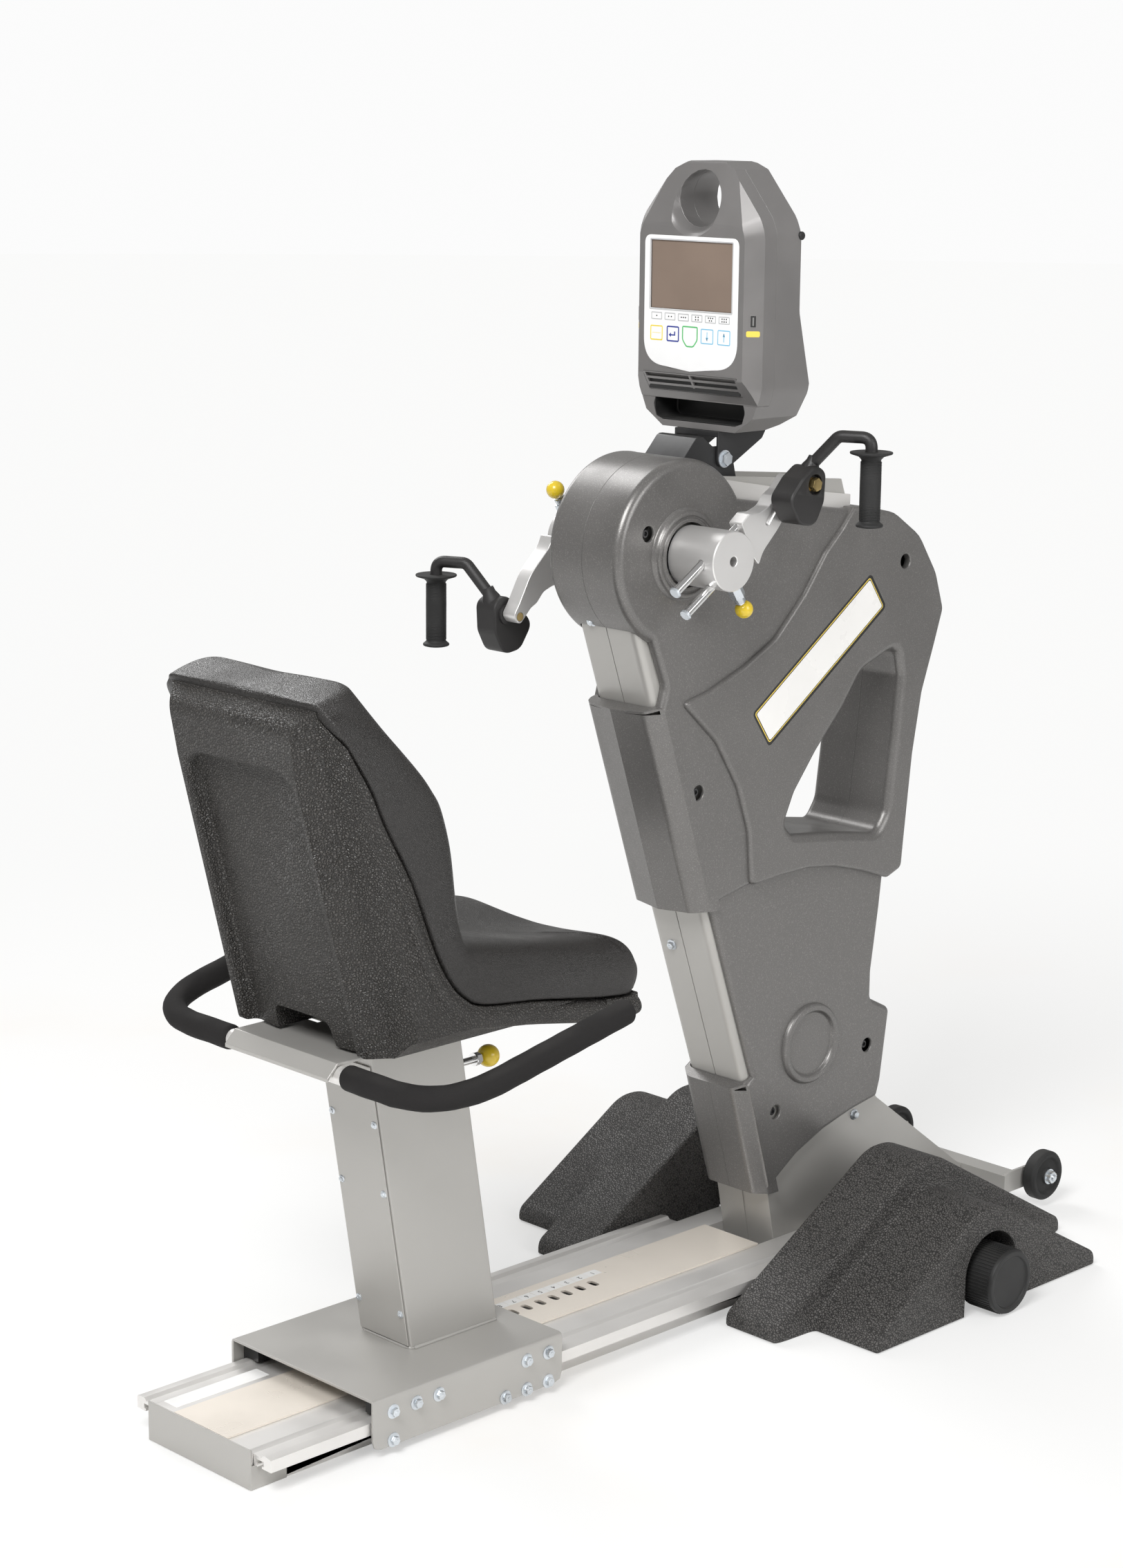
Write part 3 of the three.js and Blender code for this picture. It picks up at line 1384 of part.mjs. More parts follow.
function barEndCap() {
  const start = STANCE_HALF_WIDTH - CAP_LENGTH;
  const profile = [
    [0, start],
    [CAP_RADIUS - CAP_EDGE, start],
    [CAP_RADIUS, start + CAP_EDGE],
    [CAP_RADIUS, STANCE_HALF_WIDTH - CAP_EDGE],
    [CAP_RADIUS - CAP_EDGE, STANCE_HALF_WIDTH],
    [0, STANCE_HALF_WIDTH],
  ];
  return turnedAcross(profile).translate(0, BAR_STATION, BAR_HEIGHT);
}

function stabiliserBar() {
  const end = STANCE_HALF_WIDTH - CAP_LENGTH - GAP;
  return rod(
    BAR_RADIUS,
    [-end, BAR_STATION, BAR_HEIGHT],
    [end, BAR_STATION, BAR_HEIGHT],
    ROUND_SIDES,
  );
}

const WHEEL_X = 155;
const WHEEL_THICKNESS = 25;
const WHEEL_HEIGHT = 52;
const WHEEL_EDGE = 5;
const WHEEL_DISH_RADIUS = 26;
const WHEEL_DISH_DEPTH = 6;
const AXLE_RADIUS = 6;
const AXLE_NUT_RADIUS = 10;
const AXLE_NUT_LENGTH = 9;
const WHEEL_CHEEK = 5;
const WHEEL_CHEEK_HEIGHT = 34;
const WHEEL_BEAM = 34;
const WHEEL_BEAM_HEIGHT = 26;

function wheelProfile() {
  const half = WHEEL_THICKNESS / 2;
  const bore = boreOf(AXLE_RADIUS);
  return [
    [bore, -half],
    [WHEEL_RADIUS - WHEEL_EDGE, -half],
    [WHEEL_RADIUS, WHEEL_EDGE - half],
    [WHEEL_RADIUS, half - WHEEL_EDGE],
    [WHEEL_RADIUS - WHEEL_EDGE, half],
    [WHEEL_DISH_RADIUS, half],
    [WHEEL_DISH_RADIUS / 2, half - WHEEL_DISH_DEPTH],
    [bore, half - WHEEL_DISH_DEPTH],
    [bore, -half],
  ];
}

function wheelRight() {
  return turnedAcross(wheelProfile()).translate(WHEEL_X, WHEEL_STATION, WHEEL_HEIGHT);
}

function wheelBracket() {
  const cheekOuter = WHEEL_X - WHEEL_THICKNESS / 2 - SIDE_GAP;
  const footEnd = HEAD_STATION + FOOT_SHARES[4][0] * TOWER_LENGTH;
  const beam = block(
    [-cheekOuter, cheekOuter],
    [footEnd + GAP, footEnd + GAP + WHEEL_BEAM],
    [WHEEL_HEIGHT - WHEEL_BEAM_HEIGHT / 2, WHEEL_HEIGHT + WHEEL_BEAM_HEIGHT / 2],
  );
  const cheekOutline = rectangle(
    [footEnd + GAP, WHEEL_STATION + WHEEL_CHEEK_HEIGHT / 2],
    [WHEEL_HEIGHT - WHEEL_CHEEK_HEIGHT / 2, WHEEL_HEIGHT + WHEEL_CHEEK_HEIGHT / 2],
    WHEEL_CHEEK_HEIGHT / 3,
  );
  const nutStart = WHEEL_X + WHEEL_THICKNESS / 2 + SIDE_GAP;
  const sides = [-1, 1].flatMap((side) => {
    const cheek = [side * cheekOuter, side * (cheekOuter - WHEEL_CHEEK)].sort((a, b) => a - b);
    const at = (x) => [side * x, WHEEL_STATION, WHEEL_HEIGHT];
    return [
      sidePrism(shapeOf(cheekOutline), cheek),
      rod(AXLE_RADIUS, at(cheekOuter - WHEEL_CHEEK), at(nutStart + AXLE_NUT_LENGTH)),
      rod(AXLE_NUT_RADIUS, at(nutStart), at(nutStart + AXLE_NUT_LENGTH), HEX_SIDES),
    ];
  });
  return join(beam, ...sides);
}

function stanceGroup() {
  return groupOf(
    meshOf("stabiliser_bar", stabiliserBar(), "paintedSteel"),
    ...pairOf("bar_end_cap", barEndCap(), "rubber"),
    ...pairOf("ramp", rampRight(), "rubber"),
    meshOf("wheel_bracket", wheelBracket(), "paintedSteel"),
    ...pairOf("wheel", wheelRight(), "blackPlastic"),
  );
}

// Console: it tilts on a bolt through the bracket on the deck

const TILT_SHARES = [0.187, 0.992];
const TILT_AXIS = towerPoint(TILT_SHARES);
const CONSOLE_FRONT = -30;
const CONSOLE_BOTTOM = 39;
const CONSOLE_SPLIT = 15;
const CONSOLE_CHAMFER = 20;
const CONSOLE_HEIGHT = 373;
const CONSOLE_DEPTH = 120;
const CARRY_HEIGHT = 362;
const CARRY_RADIUS = 40;
const HOUSING_WALL = 5;

// Front outline: shares of the half width and of the console's height above its bottom
const CONSOLE_FRONT_SHARES = [
  [0.78, 0, 0.3],
  [1, 0.16, 0.3],
  [1, 0.74, 0.25],
  [0.92, 0.8, 0.25],
  [0.4, 1, 0.25],
];

// Side outline: shares of the console's depth and height, from its front face
const CONSOLE_SIDE_SHARES = [
  [0.17, 0],
  [0.17, 0.11],
  [0, 0.2, 0.05],
  [0, 0.765, 0.2],
  [0.235, 1, 0.05],
  [0.775, 1, 0.08],
  [0.79, 0.78, 0.2],
  [0.79, 0.45, 0.2],
  [1, 0.17, 0.2],
  [0.93, 0.03, 0.15],
  [0.7, 0],
];

function consoleSide() {
  return roundedPoints(
    CONSOLE_SIDE_SHARES.map(([along, up, radius = 0]) => [
      CONSOLE_FRONT + along * CONSOLE_DEPTH,
      CONSOLE_BOTTOM + up * CONSOLE_HEIGHT,
      radius * CONSOLE_DEPTH,
    ]),
  );
}

function consoleWhole() {
  const half = CONSOLE_FRONT_SHARES.map(([across, up, radius]) => [
    across * CONSOLE_HALF_WIDTH,
    CONSOLE_BOTTOM + up * CONSOLE_HEIGHT,
    radius * CONSOLE_HALF_WIDTH,
  ]);
  const outline = [...half, ...half.toReversed().map(([x, z, radius]) => [-x, z, radius])];
  const long = [CONSOLE_FRONT, CONSOLE_FRONT + CONSOLE_DEPTH + 2 * CONSOLE_CHAMFER];
  const face = frontPrism(shapeOf(roundedPoints(outline)), long, CONSOLE_CHAMFER, 1);
  const width = CONSOLE_HALF_WIDTH + OVERRUN;
  const carry = CONSOLE_BOTTOM + CARRY_HEIGHT - CARRY_RADIUS;
  const hole = rod(
    CARRY_RADIUS,
    [0, CONSOLE_FRONT - OVERRUN, carry],
    [0, CONSOLE_FRONT + CONSOLE_DEPTH, carry],
    ROUND_SIDES,
  );
  return cut(common(face, sidePrism(shapeOf(consoleSide()), [-width, width])), hole);
}

const OVERLAY_HALF_WIDTH = 90;
const OVERLAY_THICKNESS = 1;
const OVERLAY_LOW = 84;
const OVERLAY_SHOULDER = 108;
const OVERLAY_HIGH = 270;
const OVERLAY_CORNER = 12;
const SCREEN_HALF_WIDTH = 78;
const SCREEN_LOW = 168;
const SCREEN_HIGH = 263;
const SCREEN_DEPTH = 2;
const GRILLE_HALF_WIDTH = 90;
const GRILLE_LOW = 52;
const GRILLE_HIGH = 78;
const GRILLE_THICKNESS = 5;
const GRILLE_ROWS = 3;
const GRILLE_SLOT_HALF_HEIGHT = 2.6;
const GRILLE_RIB = 4;
const POCKET_HALF_WIDTH = 88;
const POCKET_WALL = 9;
const POCKET_DEPTH = 48;

const aboveBottom = (height) => CONSOLE_BOTTOM + height;

function overlayOutline() {
  const half = OVERLAY_HALF_WIDTH;
  return roundedPoints([
    [-half, aboveBottom(OVERLAY_SHOULDER), 2 * OVERLAY_CORNER],
    [-half / 2, aboveBottom(OVERLAY_LOW), 2 * OVERLAY_CORNER],
    [half / 2, aboveBottom(OVERLAY_LOW), 2 * OVERLAY_CORNER],
    [half, aboveBottom(OVERLAY_SHOULDER), 2 * OVERLAY_CORNER],
    [half, aboveBottom(OVERLAY_HIGH), OVERLAY_CORNER],
    [-half, aboveBottom(OVERLAY_HIGH), OVERLAY_CORNER],
  ]);
}

function screenOutline(clearance = 0) {
  const half = SCREEN_HALF_WIDTH + clearance;
  return rectangle(
    [-half, half],
    [aboveBottom(SCREEN_LOW) - clearance, aboveBottom(SCREEN_HIGH) + clearance],
  );
}

function displayOverlay() {
  const shape = shapeOf(inset(overlayOutline(), GAP), [screenOutline(GAP)]);
  return frontPrism(shape, [CONSOLE_FRONT, CONSOLE_FRONT + OVERLAY_THICKNESS - GAP]);
}

function screen() {
  const start = CONSOLE_FRONT + SCREEN_DEPTH;
  return frontPrism(shapeOf(screenOutline()), [start, start + HOUSING_WALL]);
}

function grilleOutline(clearance = 0) {
  const half = GRILLE_HALF_WIDTH + clearance;
  return rectangle(
    [-half, half],
    [aboveBottom(GRILLE_LOW) - clearance, aboveBottom(GRILLE_HIGH) + clearance],
  );
}

// The grille leans as the housing does under the overlay
function grillePlane() {
  const low = CONSOLE_SIDE_SHARES[1];
  const high = CONSOLE_SIDE_SHARES[2];
  const run = (low[0] - high[0]) * CONSOLE_DEPTH;
  const rise = (high[1] - low[1]) * CONSOLE_HEIGHT;
  return { slope: run / rise, top: aboveBottom(high[1] * CONSOLE_HEIGHT) };
}

function leanForward(geometry) {
  const { slope, top } = grillePlane();
  const lean = new THREE.Matrix4().set(1, 0, 0, 0, 0, 1, -slope, slope * top, 0, 0, 1, 0, 0, 0, 0, 1);
  return geometry.applyMatrix4(lean);
}

function airGrille() {
  const rowPitch = (GRILLE_HIGH - GRILLE_LOW) / GRILLE_ROWS;
  const front = CONSOLE_FRONT + GAP;
  const end = GRILLE_HALF_WIDTH - GRILLE_RIB;
  const through = [front - OVERRUN, front + GRILLE_THICKNESS + OVERRUN];
  const slots = Array.from({ length: GRILLE_ROWS }, (_, row) => {
    const middle = aboveBottom(GRILLE_LOW) + (row + 1 / 2) * rowPitch;
    const heights = [middle - GRILLE_SLOT_HALF_HEIGHT, middle + GRILLE_SLOT_HALF_HEIGHT];
    return [
      block([-end, -GRILLE_RIB / 2], through, heights),
      block([GRILLE_RIB / 2, end], through, heights),
    ];
  }).flat();
  const plate = frontPrism(shapeOf(grilleOutline()), [front, front + GRILLE_THICKNESS]);
  return leanForward(cut(plate, ...slots));
}

function consoleFront() {
  const far = CONSOLE_HALF_WIDTH + OVERRUN;
  const region = block([-far, far], [CONSOLE_FRONT - OVERRUN, CONSOLE_SPLIT], [
    aboveBottom(CONSOLE_CHAMFER * 2),
    aboveBottom(CONSOLE_HEIGHT + OVERRUN),
  ]);
  const inside = CONSOLE_HALF_WIDTH - CONSOLE_CHAMFER - HOUSING_WALL;
  const hollow = block(
    [-inside, inside],
    [CONSOLE_FRONT + 2 * HOUSING_WALL, CONSOLE_SPLIT + OVERRUN],
    [aboveBottom(OVERLAY_LOW), aboveBottom(CARRY_HEIGHT - 2 * CARRY_RADIUS - HOUSING_WALL)],
  );
  const recess = frontPrism(shapeOf(overlayOutline()), [
    CONSOLE_FRONT - OVERRUN,
    CONSOLE_FRONT + OVERLAY_THICKNESS,
  ]);
  const windowHole = frontPrism(shapeOf(screenOutline(GAP)), [
    CONSOLE_FRONT - OVERRUN,
    CONSOLE_FRONT + 3 * HOUSING_WALL,
  ]);
  const grilleHole = leanForward(
    frontPrism(shapeOf(grilleOutline(GAP)), [
      CONSOLE_FRONT - 2 * OVERRUN,
      CONSOLE_FRONT + 2 * GAP + GRILLE_THICKNESS,
    ]),
  );
  return cut(common(consoleWhole(), region), hollow, recess, windowHole, grilleHole);
}

function consoleRear() {
  const far = CONSOLE_HALF_WIDTH + OVERRUN;
  const taken = block([-far, far], [CONSOLE_FRONT - OVERRUN, CONSOLE_SPLIT + GAP], [
    aboveBottom(CONSOLE_CHAMFER * 2) - GAP,
    aboveBottom(CONSOLE_HEIGHT + OVERRUN),
  ]);
  const inside = CONSOLE_HALF_WIDTH - CONSOLE_CHAMFER - HOUSING_WALL;
  const hollow = block(
    [-inside, inside],
    [CONSOLE_SPLIT - OVERRUN, CONSOLE_FRONT + CONSOLE_SIDE_SHARES[6][0] * CONSOLE_DEPTH - HOUSING_WALL],
    [aboveBottom(OVERLAY_LOW), aboveBottom(CARRY_HEIGHT - 2 * CARRY_RADIUS - HOUSING_WALL)],
  );
  const front = CONSOLE_FRONT + CONSOLE_SIDE_SHARES[0][0] * CONSOLE_DEPTH;
  const pocketOutline = rectangle(
    [-POCKET_HALF_WIDTH, POCKET_HALF_WIDTH],
    [aboveBottom(POCKET_WALL), aboveBottom(2 * CONSOLE_CHAMFER + POCKET_WALL)],
    2 * POCKET_WALL,
  );
  const pocket = frontPrism(shapeOf(pocketOutline), [front - OVERRUN, front + POCKET_DEPTH]);
  return cut(consoleWhole(), taken, hollow, pocket);
}

// Brackets: the base is a channel on the deck, the plate turns outside its cheeks
const BASE_HALF_WIDTH = 38;
const BASE_WALL = 4;
const TILT_RADIUS = 6;
const TILT_NUT_RADIUS = 10;
const TILT_NUT_LENGTH = 8;
const BRACKET_WALL = 4;

// Side outlines of both brackets about the tilt axis, as shares of the console's depth
const BASE_SHARES = [
  [-0.69, -0.3],
  [-0.665, 0.04, 0.05],
  [-0.44, 0.28, 0.06],
  [-0.34, 0.28, 0.06],
  [-0.16, 0.15, 0.05],
  [0.12, 0.15, 0.1],
  [0.19, 0, 0.05],
  [0.27, -0.3],
];
const BRACKET_SHARES = [
  [-0.11, -0.08, 0.07],
  [-0.11, 0.29],
  [0.72, 0.29],
  [0.66, 0.2, 0.03],
  [0.14, -0.08, 0.1],
];

function bracketOutline(shares) {
  return roundedPoints(
    shares.map(([along, up, radius = 0]) => [
      along * CONSOLE_DEPTH,
      up * CONSOLE_DEPTH,
      radius * CONSOLE_DEPTH,
    ]),
  );
}

function bracketBase() {
  const half = BASE_HALF_WIDTH;
  const outline = bracketOutline(BASE_SHARES);
  const whole = sidePrism(shapeOf(outline), [-half, half]);
  const inner = [BASE_WALL - half, half - BASE_WALL];
  const hollow = sidePrism(shapeOf(inset(outline, BASE_WALL)), inner);
  const rear = block(inner, [-CONSOLE_DEPTH / 4, CONSOLE_DEPTH], [-CONSOLE_DEPTH, CONSOLE_DEPTH]);
  const bore = rod(
    boreOf(TILT_RADIUS, RUNNING_GAP, SMALL_SIDES),
    [-half - OVERRUN, 0, 0],
    [half + OVERRUN, 0, 0],
  );
  const shaped = cut(whole, hollow, rear, bore).translate(0, ...TILT_AXIS);
  const cleared = sidePrism(shapeOf(deckLayer(-HEAD_RADIUS, GAP, HEAD_RADIUS)), [-2 * half, 2 * half]);
  return cut(shaped, cleared);
}

function bracketPlate() {
  const inside = BASE_HALF_WIDTH + SIDE_GAP;
  const outside = inside + BRACKET_WALL;
  const outline = bracketOutline(BRACKET_SHARES);
  const whole = sidePrism(shapeOf(outline), [-outside, outside]);
  const top = BRACKET_SHARES[1][1] * CONSOLE_DEPTH;
  const hollow = block([-inside, inside], [-CONSOLE_DEPTH, CONSOLE_DEPTH], [
    -CONSOLE_DEPTH,
    top - BRACKET_WALL,
  ]);
  const bore = rod(
    boreOf(TILT_RADIUS, RUNNING_GAP, SMALL_SIDES),
    [-outside - OVERRUN, 0, 0],
    [outside + OVERRUN, 0, 0],
  );
  const lift = CONSOLE_BOTTOM - GAP - top;
  return cut(join(whole, block([-outside, outside], [BRACKET_SHARES[1][0] * CONSOLE_DEPTH, CONSOLE_DEPTH / 2], [
    top - BRACKET_WALL,
    top + lift,
  ])), hollow, bore);
}

function tiltBolt() {
  const outside = BASE_HALF_WIDTH + SIDE_GAP + BRACKET_WALL + GAP;
  const end = outside + TILT_NUT_LENGTH;
  const nut = (side) =>
    rod(TILT_NUT_RADIUS, [side * outside, 0, 0], [side * end, 0, 0], HEX_SIDES);
  return join(rod(TILT_RADIUS, [-end, 0, 0], [end, 0, 0]), nut(-1), nut(1));
}

function consoleGroup() {
  const tilting = groupOf(
    meshOf("console_front", consoleFront(), "shell"),
    meshOf("console_rear", consoleRear(), "shell"),
    meshOf("display_overlay", displayOverlay(), "overlay"),
    meshOf("screen", screen(), "screenGlass"),
    meshOf("air_grille", airGrille(), "shell"),
    meshOf("console_bracket_plate", bracketPlate(), "blackSteel"),
    meshOf("tilt_bolt", tiltBolt(), "chrome"),
  );
  tilting.position.set(0, ...TILT_AXIS);
  return groupOf(meshOf("console_bracket_base", bracketBase(), "blackSteel"), tilting);
}

// Carriage: a folded saddle over the rail, on two glides

const CARRIAGE_HALF_WIDTH = 148;
const CARRIAGE_WALL = 4;
const CARRIAGE_RISE = 27.6;
const CARRIAGE_TOP = PLATE_TOP + CARRIAGE_RISE;
const SKIRT_BOTTOM = 12;
const SKIRT_CORNER = 14;
const FOLD_RADIUS = 6;
const GLIDE_INSET = 18;
const GLIDE_INNER_X = 112;
const GLIDE_BOTTOM = 26;
const LOCK_PIN_RADIUS = 4.5;
const carriageLong = [CARRIAGE_STATION, CARRIAGE_STATION + CARRIAGE_LENGTH];
const PIN_STATION = stopStation(REST_STOP);

function carriage() {
  const half = CARRIAGE_HALF_WIDTH;
  const inner = half - CARRIAGE_WALL;
  const outline = roundedPoints([
    [-half, SKIRT_BOTTOM],
    [-inner, SKIRT_BOTTOM],
    [-inner, CARRIAGE_TOP - CARRIAGE_WALL],
    [inner, CARRIAGE_TOP - CARRIAGE_WALL],
    [inner, SKIRT_BOTTOM],
    [half, SKIRT_BOTTOM],
    [half, CARRIAGE_TOP, FOLD_RADIUS],
    [-half, CARRIAGE_TOP, FOLD_RADIUS],
  ]);
  const [rear, ahead] = carriageLong;
  const sideOutline = roundedPoints([
    [rear, SKIRT_BOTTOM, SKIRT_CORNER],
    [ahead, SKIRT_BOTTOM, SKIRT_CORNER],
    [ahead, CARRIAGE_TOP + OVERRUN],
    [rear, CARRIAGE_TOP + OVERRUN],
  ]);
  const saddle = common(
    frontPrism(shapeOf(outline), carriageLong),
    sidePrism(shapeOf(sideOutline), [-half - OVERRUN, half + OVERRUN]),
  );
  const pinHole = rod(
    boreOf(LOCK_PIN_RADIUS, SIDE_GAP, SMALL_SIDES),
    [0, PIN_STATION, RAIL_HEIGHT],
    [0, PIN_STATION, CARRIAGE_TOP + OVERRUN],
  );
  return cut(saddle, pinHole);
}

function glideRight() {
  const outer = CARRIAGE_HALF_WIDTH - CARRIAGE_WALL - GAP;
  const top = CARRIAGE_TOP - CARRIAGE_WALL - GAP;
  const outline = roundedPoints([
    [GLIDE_INNER_X, RAIL_HEIGHT + GAP],
    [LIP_HALF_WIDTH + GAP, RAIL_HEIGHT + GAP],
    [LIP_HALF_WIDTH + GAP, GLIDE_BOTTOM],
    [outer, GLIDE_BOTTOM],
    [outer, top],
    [GLIDE_INNER_X, top],
  ]);
  const [rear, ahead] = carriageLong;
  return frontPrism(shapeOf(outline), [rear + GLIDE_INSET, ahead - GLIDE_INSET]);
}

// Seat post: a leaning box on the carriage, open at the back behind its cover

const POST_STATION = 325;
const POST_DEPTH = 161;
const POST_HALF_WIDTH = 52;
const POST_WALL = 3;
const POST_CORNER = 4;
const POST_SLOPE = -0.164;
const POST_BOTTOM = CARRIAGE_TOP + GAP;
const POST_TOP = POST_BOTTOM + POST_HEIGHT;
const COVER_THICKNESS = 2.5;
const COVER_MARGIN = 3;
const COVER_TOP_SHARE = 0.92;
const COVER_BOTTOM_SHARE = 0.01;
const REAR_OPENING_HALF_WIDTH = 38;
const REAR_OPENING_SHARES = [0.06, 0.88];

function postRear(height) {
  return POST_STATION + (height - POST_BOTTOM) * POST_SLOPE;
}

const LEVER_HEIGHT = 449;
const LEVER_RADIUS = 5;
const LEVER_SLOT_HALF_WIDTH = 9;
const LEVER_SLOT_BELOW = 14;
const LEVER_SLOT_ABOVE = 36;
const PIVOT_PIN_RADIUS = 5;
const PIVOT_FROM_FRONT = 95;
const leverFront = postRear(LEVER_HEIGHT) + POST_DEPTH;
const leverPivot = [leverFront - PIVOT_FROM_FRONT, LEVER_HEIGHT];

function seatPost() {
  const half = POST_HALF_WIDTH;
  const outline = rectangle([-half, half], [POST_STATION, POST_STATION + POST_DEPTH], POST_CORNER);
  const heights = [POST_BOTTOM, POST_TOP];
  const skin = leaningPrism(shapeOf(outline, [inset(outline, POST_WALL)]), heights, POST_SLOPE);
  const [low, high] = REAR_OPENING_SHARES.map((share) => POST_BOTTOM + share * POST_HEIGHT);
  const opening = leaningPrism(
    shapeOf(
      rectangle(
        [-REAR_OPENING_HALF_WIDTH, REAR_OPENING_HALF_WIDTH],
        [postRear(low) - OVERRUN, postRear(low) + 2 * POST_WALL],
      ),
    ),
    [low, high],
    POST_SLOPE,
  );
  const slot = block(
    [-LEVER_SLOT_HALF_WIDTH, LEVER_SLOT_HALF_WIDTH],
    [leverFront - POST_DEPTH / 4, leverFront + POST_DEPTH / 4],
    [LEVER_HEIGHT - LEVER_SLOT_BELOW, LEVER_HEIGHT + LEVER_SLOT_ABOVE],
  );
  const pinBore = rod(
    boreOf(PIVOT_PIN_RADIUS, RUNNING_GAP, SMALL_SIDES),
    [-half - OVERRUN, ...leverPivot],
    [half + OVERRUN, ...leverPivot],
  );
  return cut(skin, opening, slot, pinBore);
}

function postCover() {
  const [low, high] = [COVER_BOTTOM_SHARE, COVER_TOP_SHARE].map(
    (share) => POST_BOTTOM + share * POST_HEIGHT,
  );
  const half = POST_HALF_WIDTH - COVER_MARGIN;
  const rear = postRear(low) - GAP;
  return leaningPrism(
    shapeOf(rectangle([-half, half], [rear - COVER_THICKNESS, rear])),
    [low, high],
    POST_SLOPE,
  );
}

// Release lever: it turns on its cross pin and lifts the lock pin by the pull rod
const LEVER_REACH = 73;
const LEVER_BALL_RADIUS = 16;
const LEVER_NUT_RADIUS = 9;
const LEVER_NUT_LENGTH = 9;
const LEVER_NUT_SETBACK = 17;
const LIFT_ARM = 75;
const PULL_ROD_RADIUS = 4;
const PULL_ROD_FOOT = 60;
const PIN_COLLAR_RADIUS = 9;
const PIN_COLLAR_LENGTH = 10;
const PIN_ENGAGEMENT = 5;

function releaseLever() {
  const [y, z] = leverPivot;
  const ballStation = leverFront + LEVER_REACH + LEVER_BALL_RADIUS;
  const nutEnd = ballStation - LEVER_NUT_SETBACK + LEVER_NUT_LENGTH;
  const pinHalf = POST_HALF_WIDTH;
  return join(
    rod(LEVER_RADIUS, [0, y, z], [0, ballStation, z]),
    rod(PIVOT_PIN_RADIUS, [-pinHalf, y, z], [pinHalf, y, z]),
    rod(LEVER_NUT_RADIUS, [0, nutEnd - LEVER_NUT_LENGTH, z], [0, nutEnd, z], HEX_SIDES),
    ball(LEVER_BALL_RADIUS, [0, ballStation, z]),
  );
}

function lockPin() {
  const top = CARRIAGE_TOP + PULL_ROD_FOOT;
  const linkStation = leverPivot[0] + LIFT_ARM;
  const linkHeight = LEVER_HEIGHT - LEVER_RADIUS - PULL_ROD_RADIUS / 2;
  return join(
    rod(LOCK_PIN_RADIUS, [0, PIN_STATION, PLATE_BOTTOM - PIN_ENGAGEMENT], [0, PIN_STATION, top]),
    rod(
      PIN_COLLAR_RADIUS,
      [0, PIN_STATION, top - PIN_COLLAR_LENGTH],
      [0, PIN_STATION, top + PULL_ROD_RADIUS],
    ),
    rod(PULL_ROD_RADIUS, [0, PIN_STATION, top], [0, linkStation, linkHeight]),
  );
}

// Seat: the bar bracket and the mount plate lie on the post, the shell stands on them

const BRACKET_THICKNESS = 4;
const MOUNT_THICKNESS = 4;
const BAR_BRACKET_BOTTOM = POST_TOP + GAP;
const BAR_BRACKET_TOP = BAR_BRACKET_BOTTOM + BRACKET_THICKNESS;
const MOUNT_BOTTOM = BAR_BRACKET_TOP + GAP;
const MOUNT_TOP = MOUNT_BOTTOM + MOUNT_THICKNESS;
const SEAT_BOTTOM = MOUNT_TOP + GAP;
const SEAT_STATION = 176;

const HAND_BAR_STATION = 159;
const HAND_BAR_RADIUS = 13;
const HAND_BAR_HEIGHT = BAR_BRACKET_BOTTOM - GAP - HAND_BAR_RADIUS;
const BAR_CORNER_X = 300;
const BAR_END_X = 310;
const BAR_END_STATION = 468;
const BAR_END_HEIGHT = 590;
const BAR_BEND = 82;
const SLEEVE_RADIUS = 17;
const SLEEVE_START = 116;
const SLEEVE_END = 7;
const BAR_BRACKET_HALF_WIDTH = 105;
const MOUNT_HALF_WIDTH = 88;
const ROOF_RUN = 17;

function seatPoint([forward, up]) {
  return [SEAT_STATION + forward * SEAT_DEPTH, SEAT_BOTTOM + up * SEAT_RISE];
}

function barBracket() {
  const top = BAR_BRACKET_TOP;
  const bottom = BAR_BRACKET_BOTTOM;
  const rearEdge = HAND_BAR_STATION - HAND_BAR_RADIUS / 2;
  const outline = roundedPoints([
    [postRear(POST_TOP) + POST_DEPTH, bottom],
    [postRear(POST_TOP) + POST_DEPTH, top],
    [rearEdge, top],
    [rearEdge - ROOF_RUN, top - ROOF_RUN],
    [rearEdge - ROOF_RUN, top - ROOF_RUN - BRACKET_THICKNESS * Math.SQRT2],
    [rearEdge + GAP, bottom],
  ]);
  const plate = sidePrism(shapeOf(outline), [-BAR_BRACKET_HALF_WIDTH, BAR_BRACKET_HALF_WIDTH]);
  const narrow = POST_HALF_WIDTH;
  const trims = [-1, 1].map((side) => {
    const across = [side * narrow, side * (BAR_BRACKET_HALF_WIDTH + OVERRUN)].sort((a, b) => a - b);
    const start = postRear(POST_TOP);
    return block(across, [start, start + 2 * POST_DEPTH], [bottom - OVERRUN, top + OVERRUN]);
  });
  return cut(plate, ...trims);
}

function seatMount() {
  const rear = postRear(POST_TOP);
  const outline = rectangle(
    [-MOUNT_HALF_WIDTH, MOUNT_HALF_WIDTH],
    [rear + POST_CORNER, rear + POST_DEPTH + MOUNT_HALF_WIDTH / 2],
    2 * POST_CORNER,
  );
  return planPrism(shapeOf(outline), [MOUNT_BOTTOM, MOUNT_TOP]);
}

// The bar's path, lengthened past both of its ends
function handBarPath(extra = 0) {
  const corner = new THREE.Vector3(BAR_CORNER_X, HAND_BAR_STATION, HAND_BAR_HEIGHT);
  const end = new THREE.Vector3(BAR_END_X, BAR_END_STATION, BAR_END_HEIGHT);
  end.addScaledVector(end.clone().sub(corner).normalize(), extra);
  const right = [corner, end].map((point) => point.toArray());
  const left = right.map(([x, y, z]) => [-x, y, z]);
  return bentPath([...left.toReversed(), ...right], BAR_BEND);
}

function handBar() {
  return tube(handBarPath(), HAND_BAR_RADIUS);
}

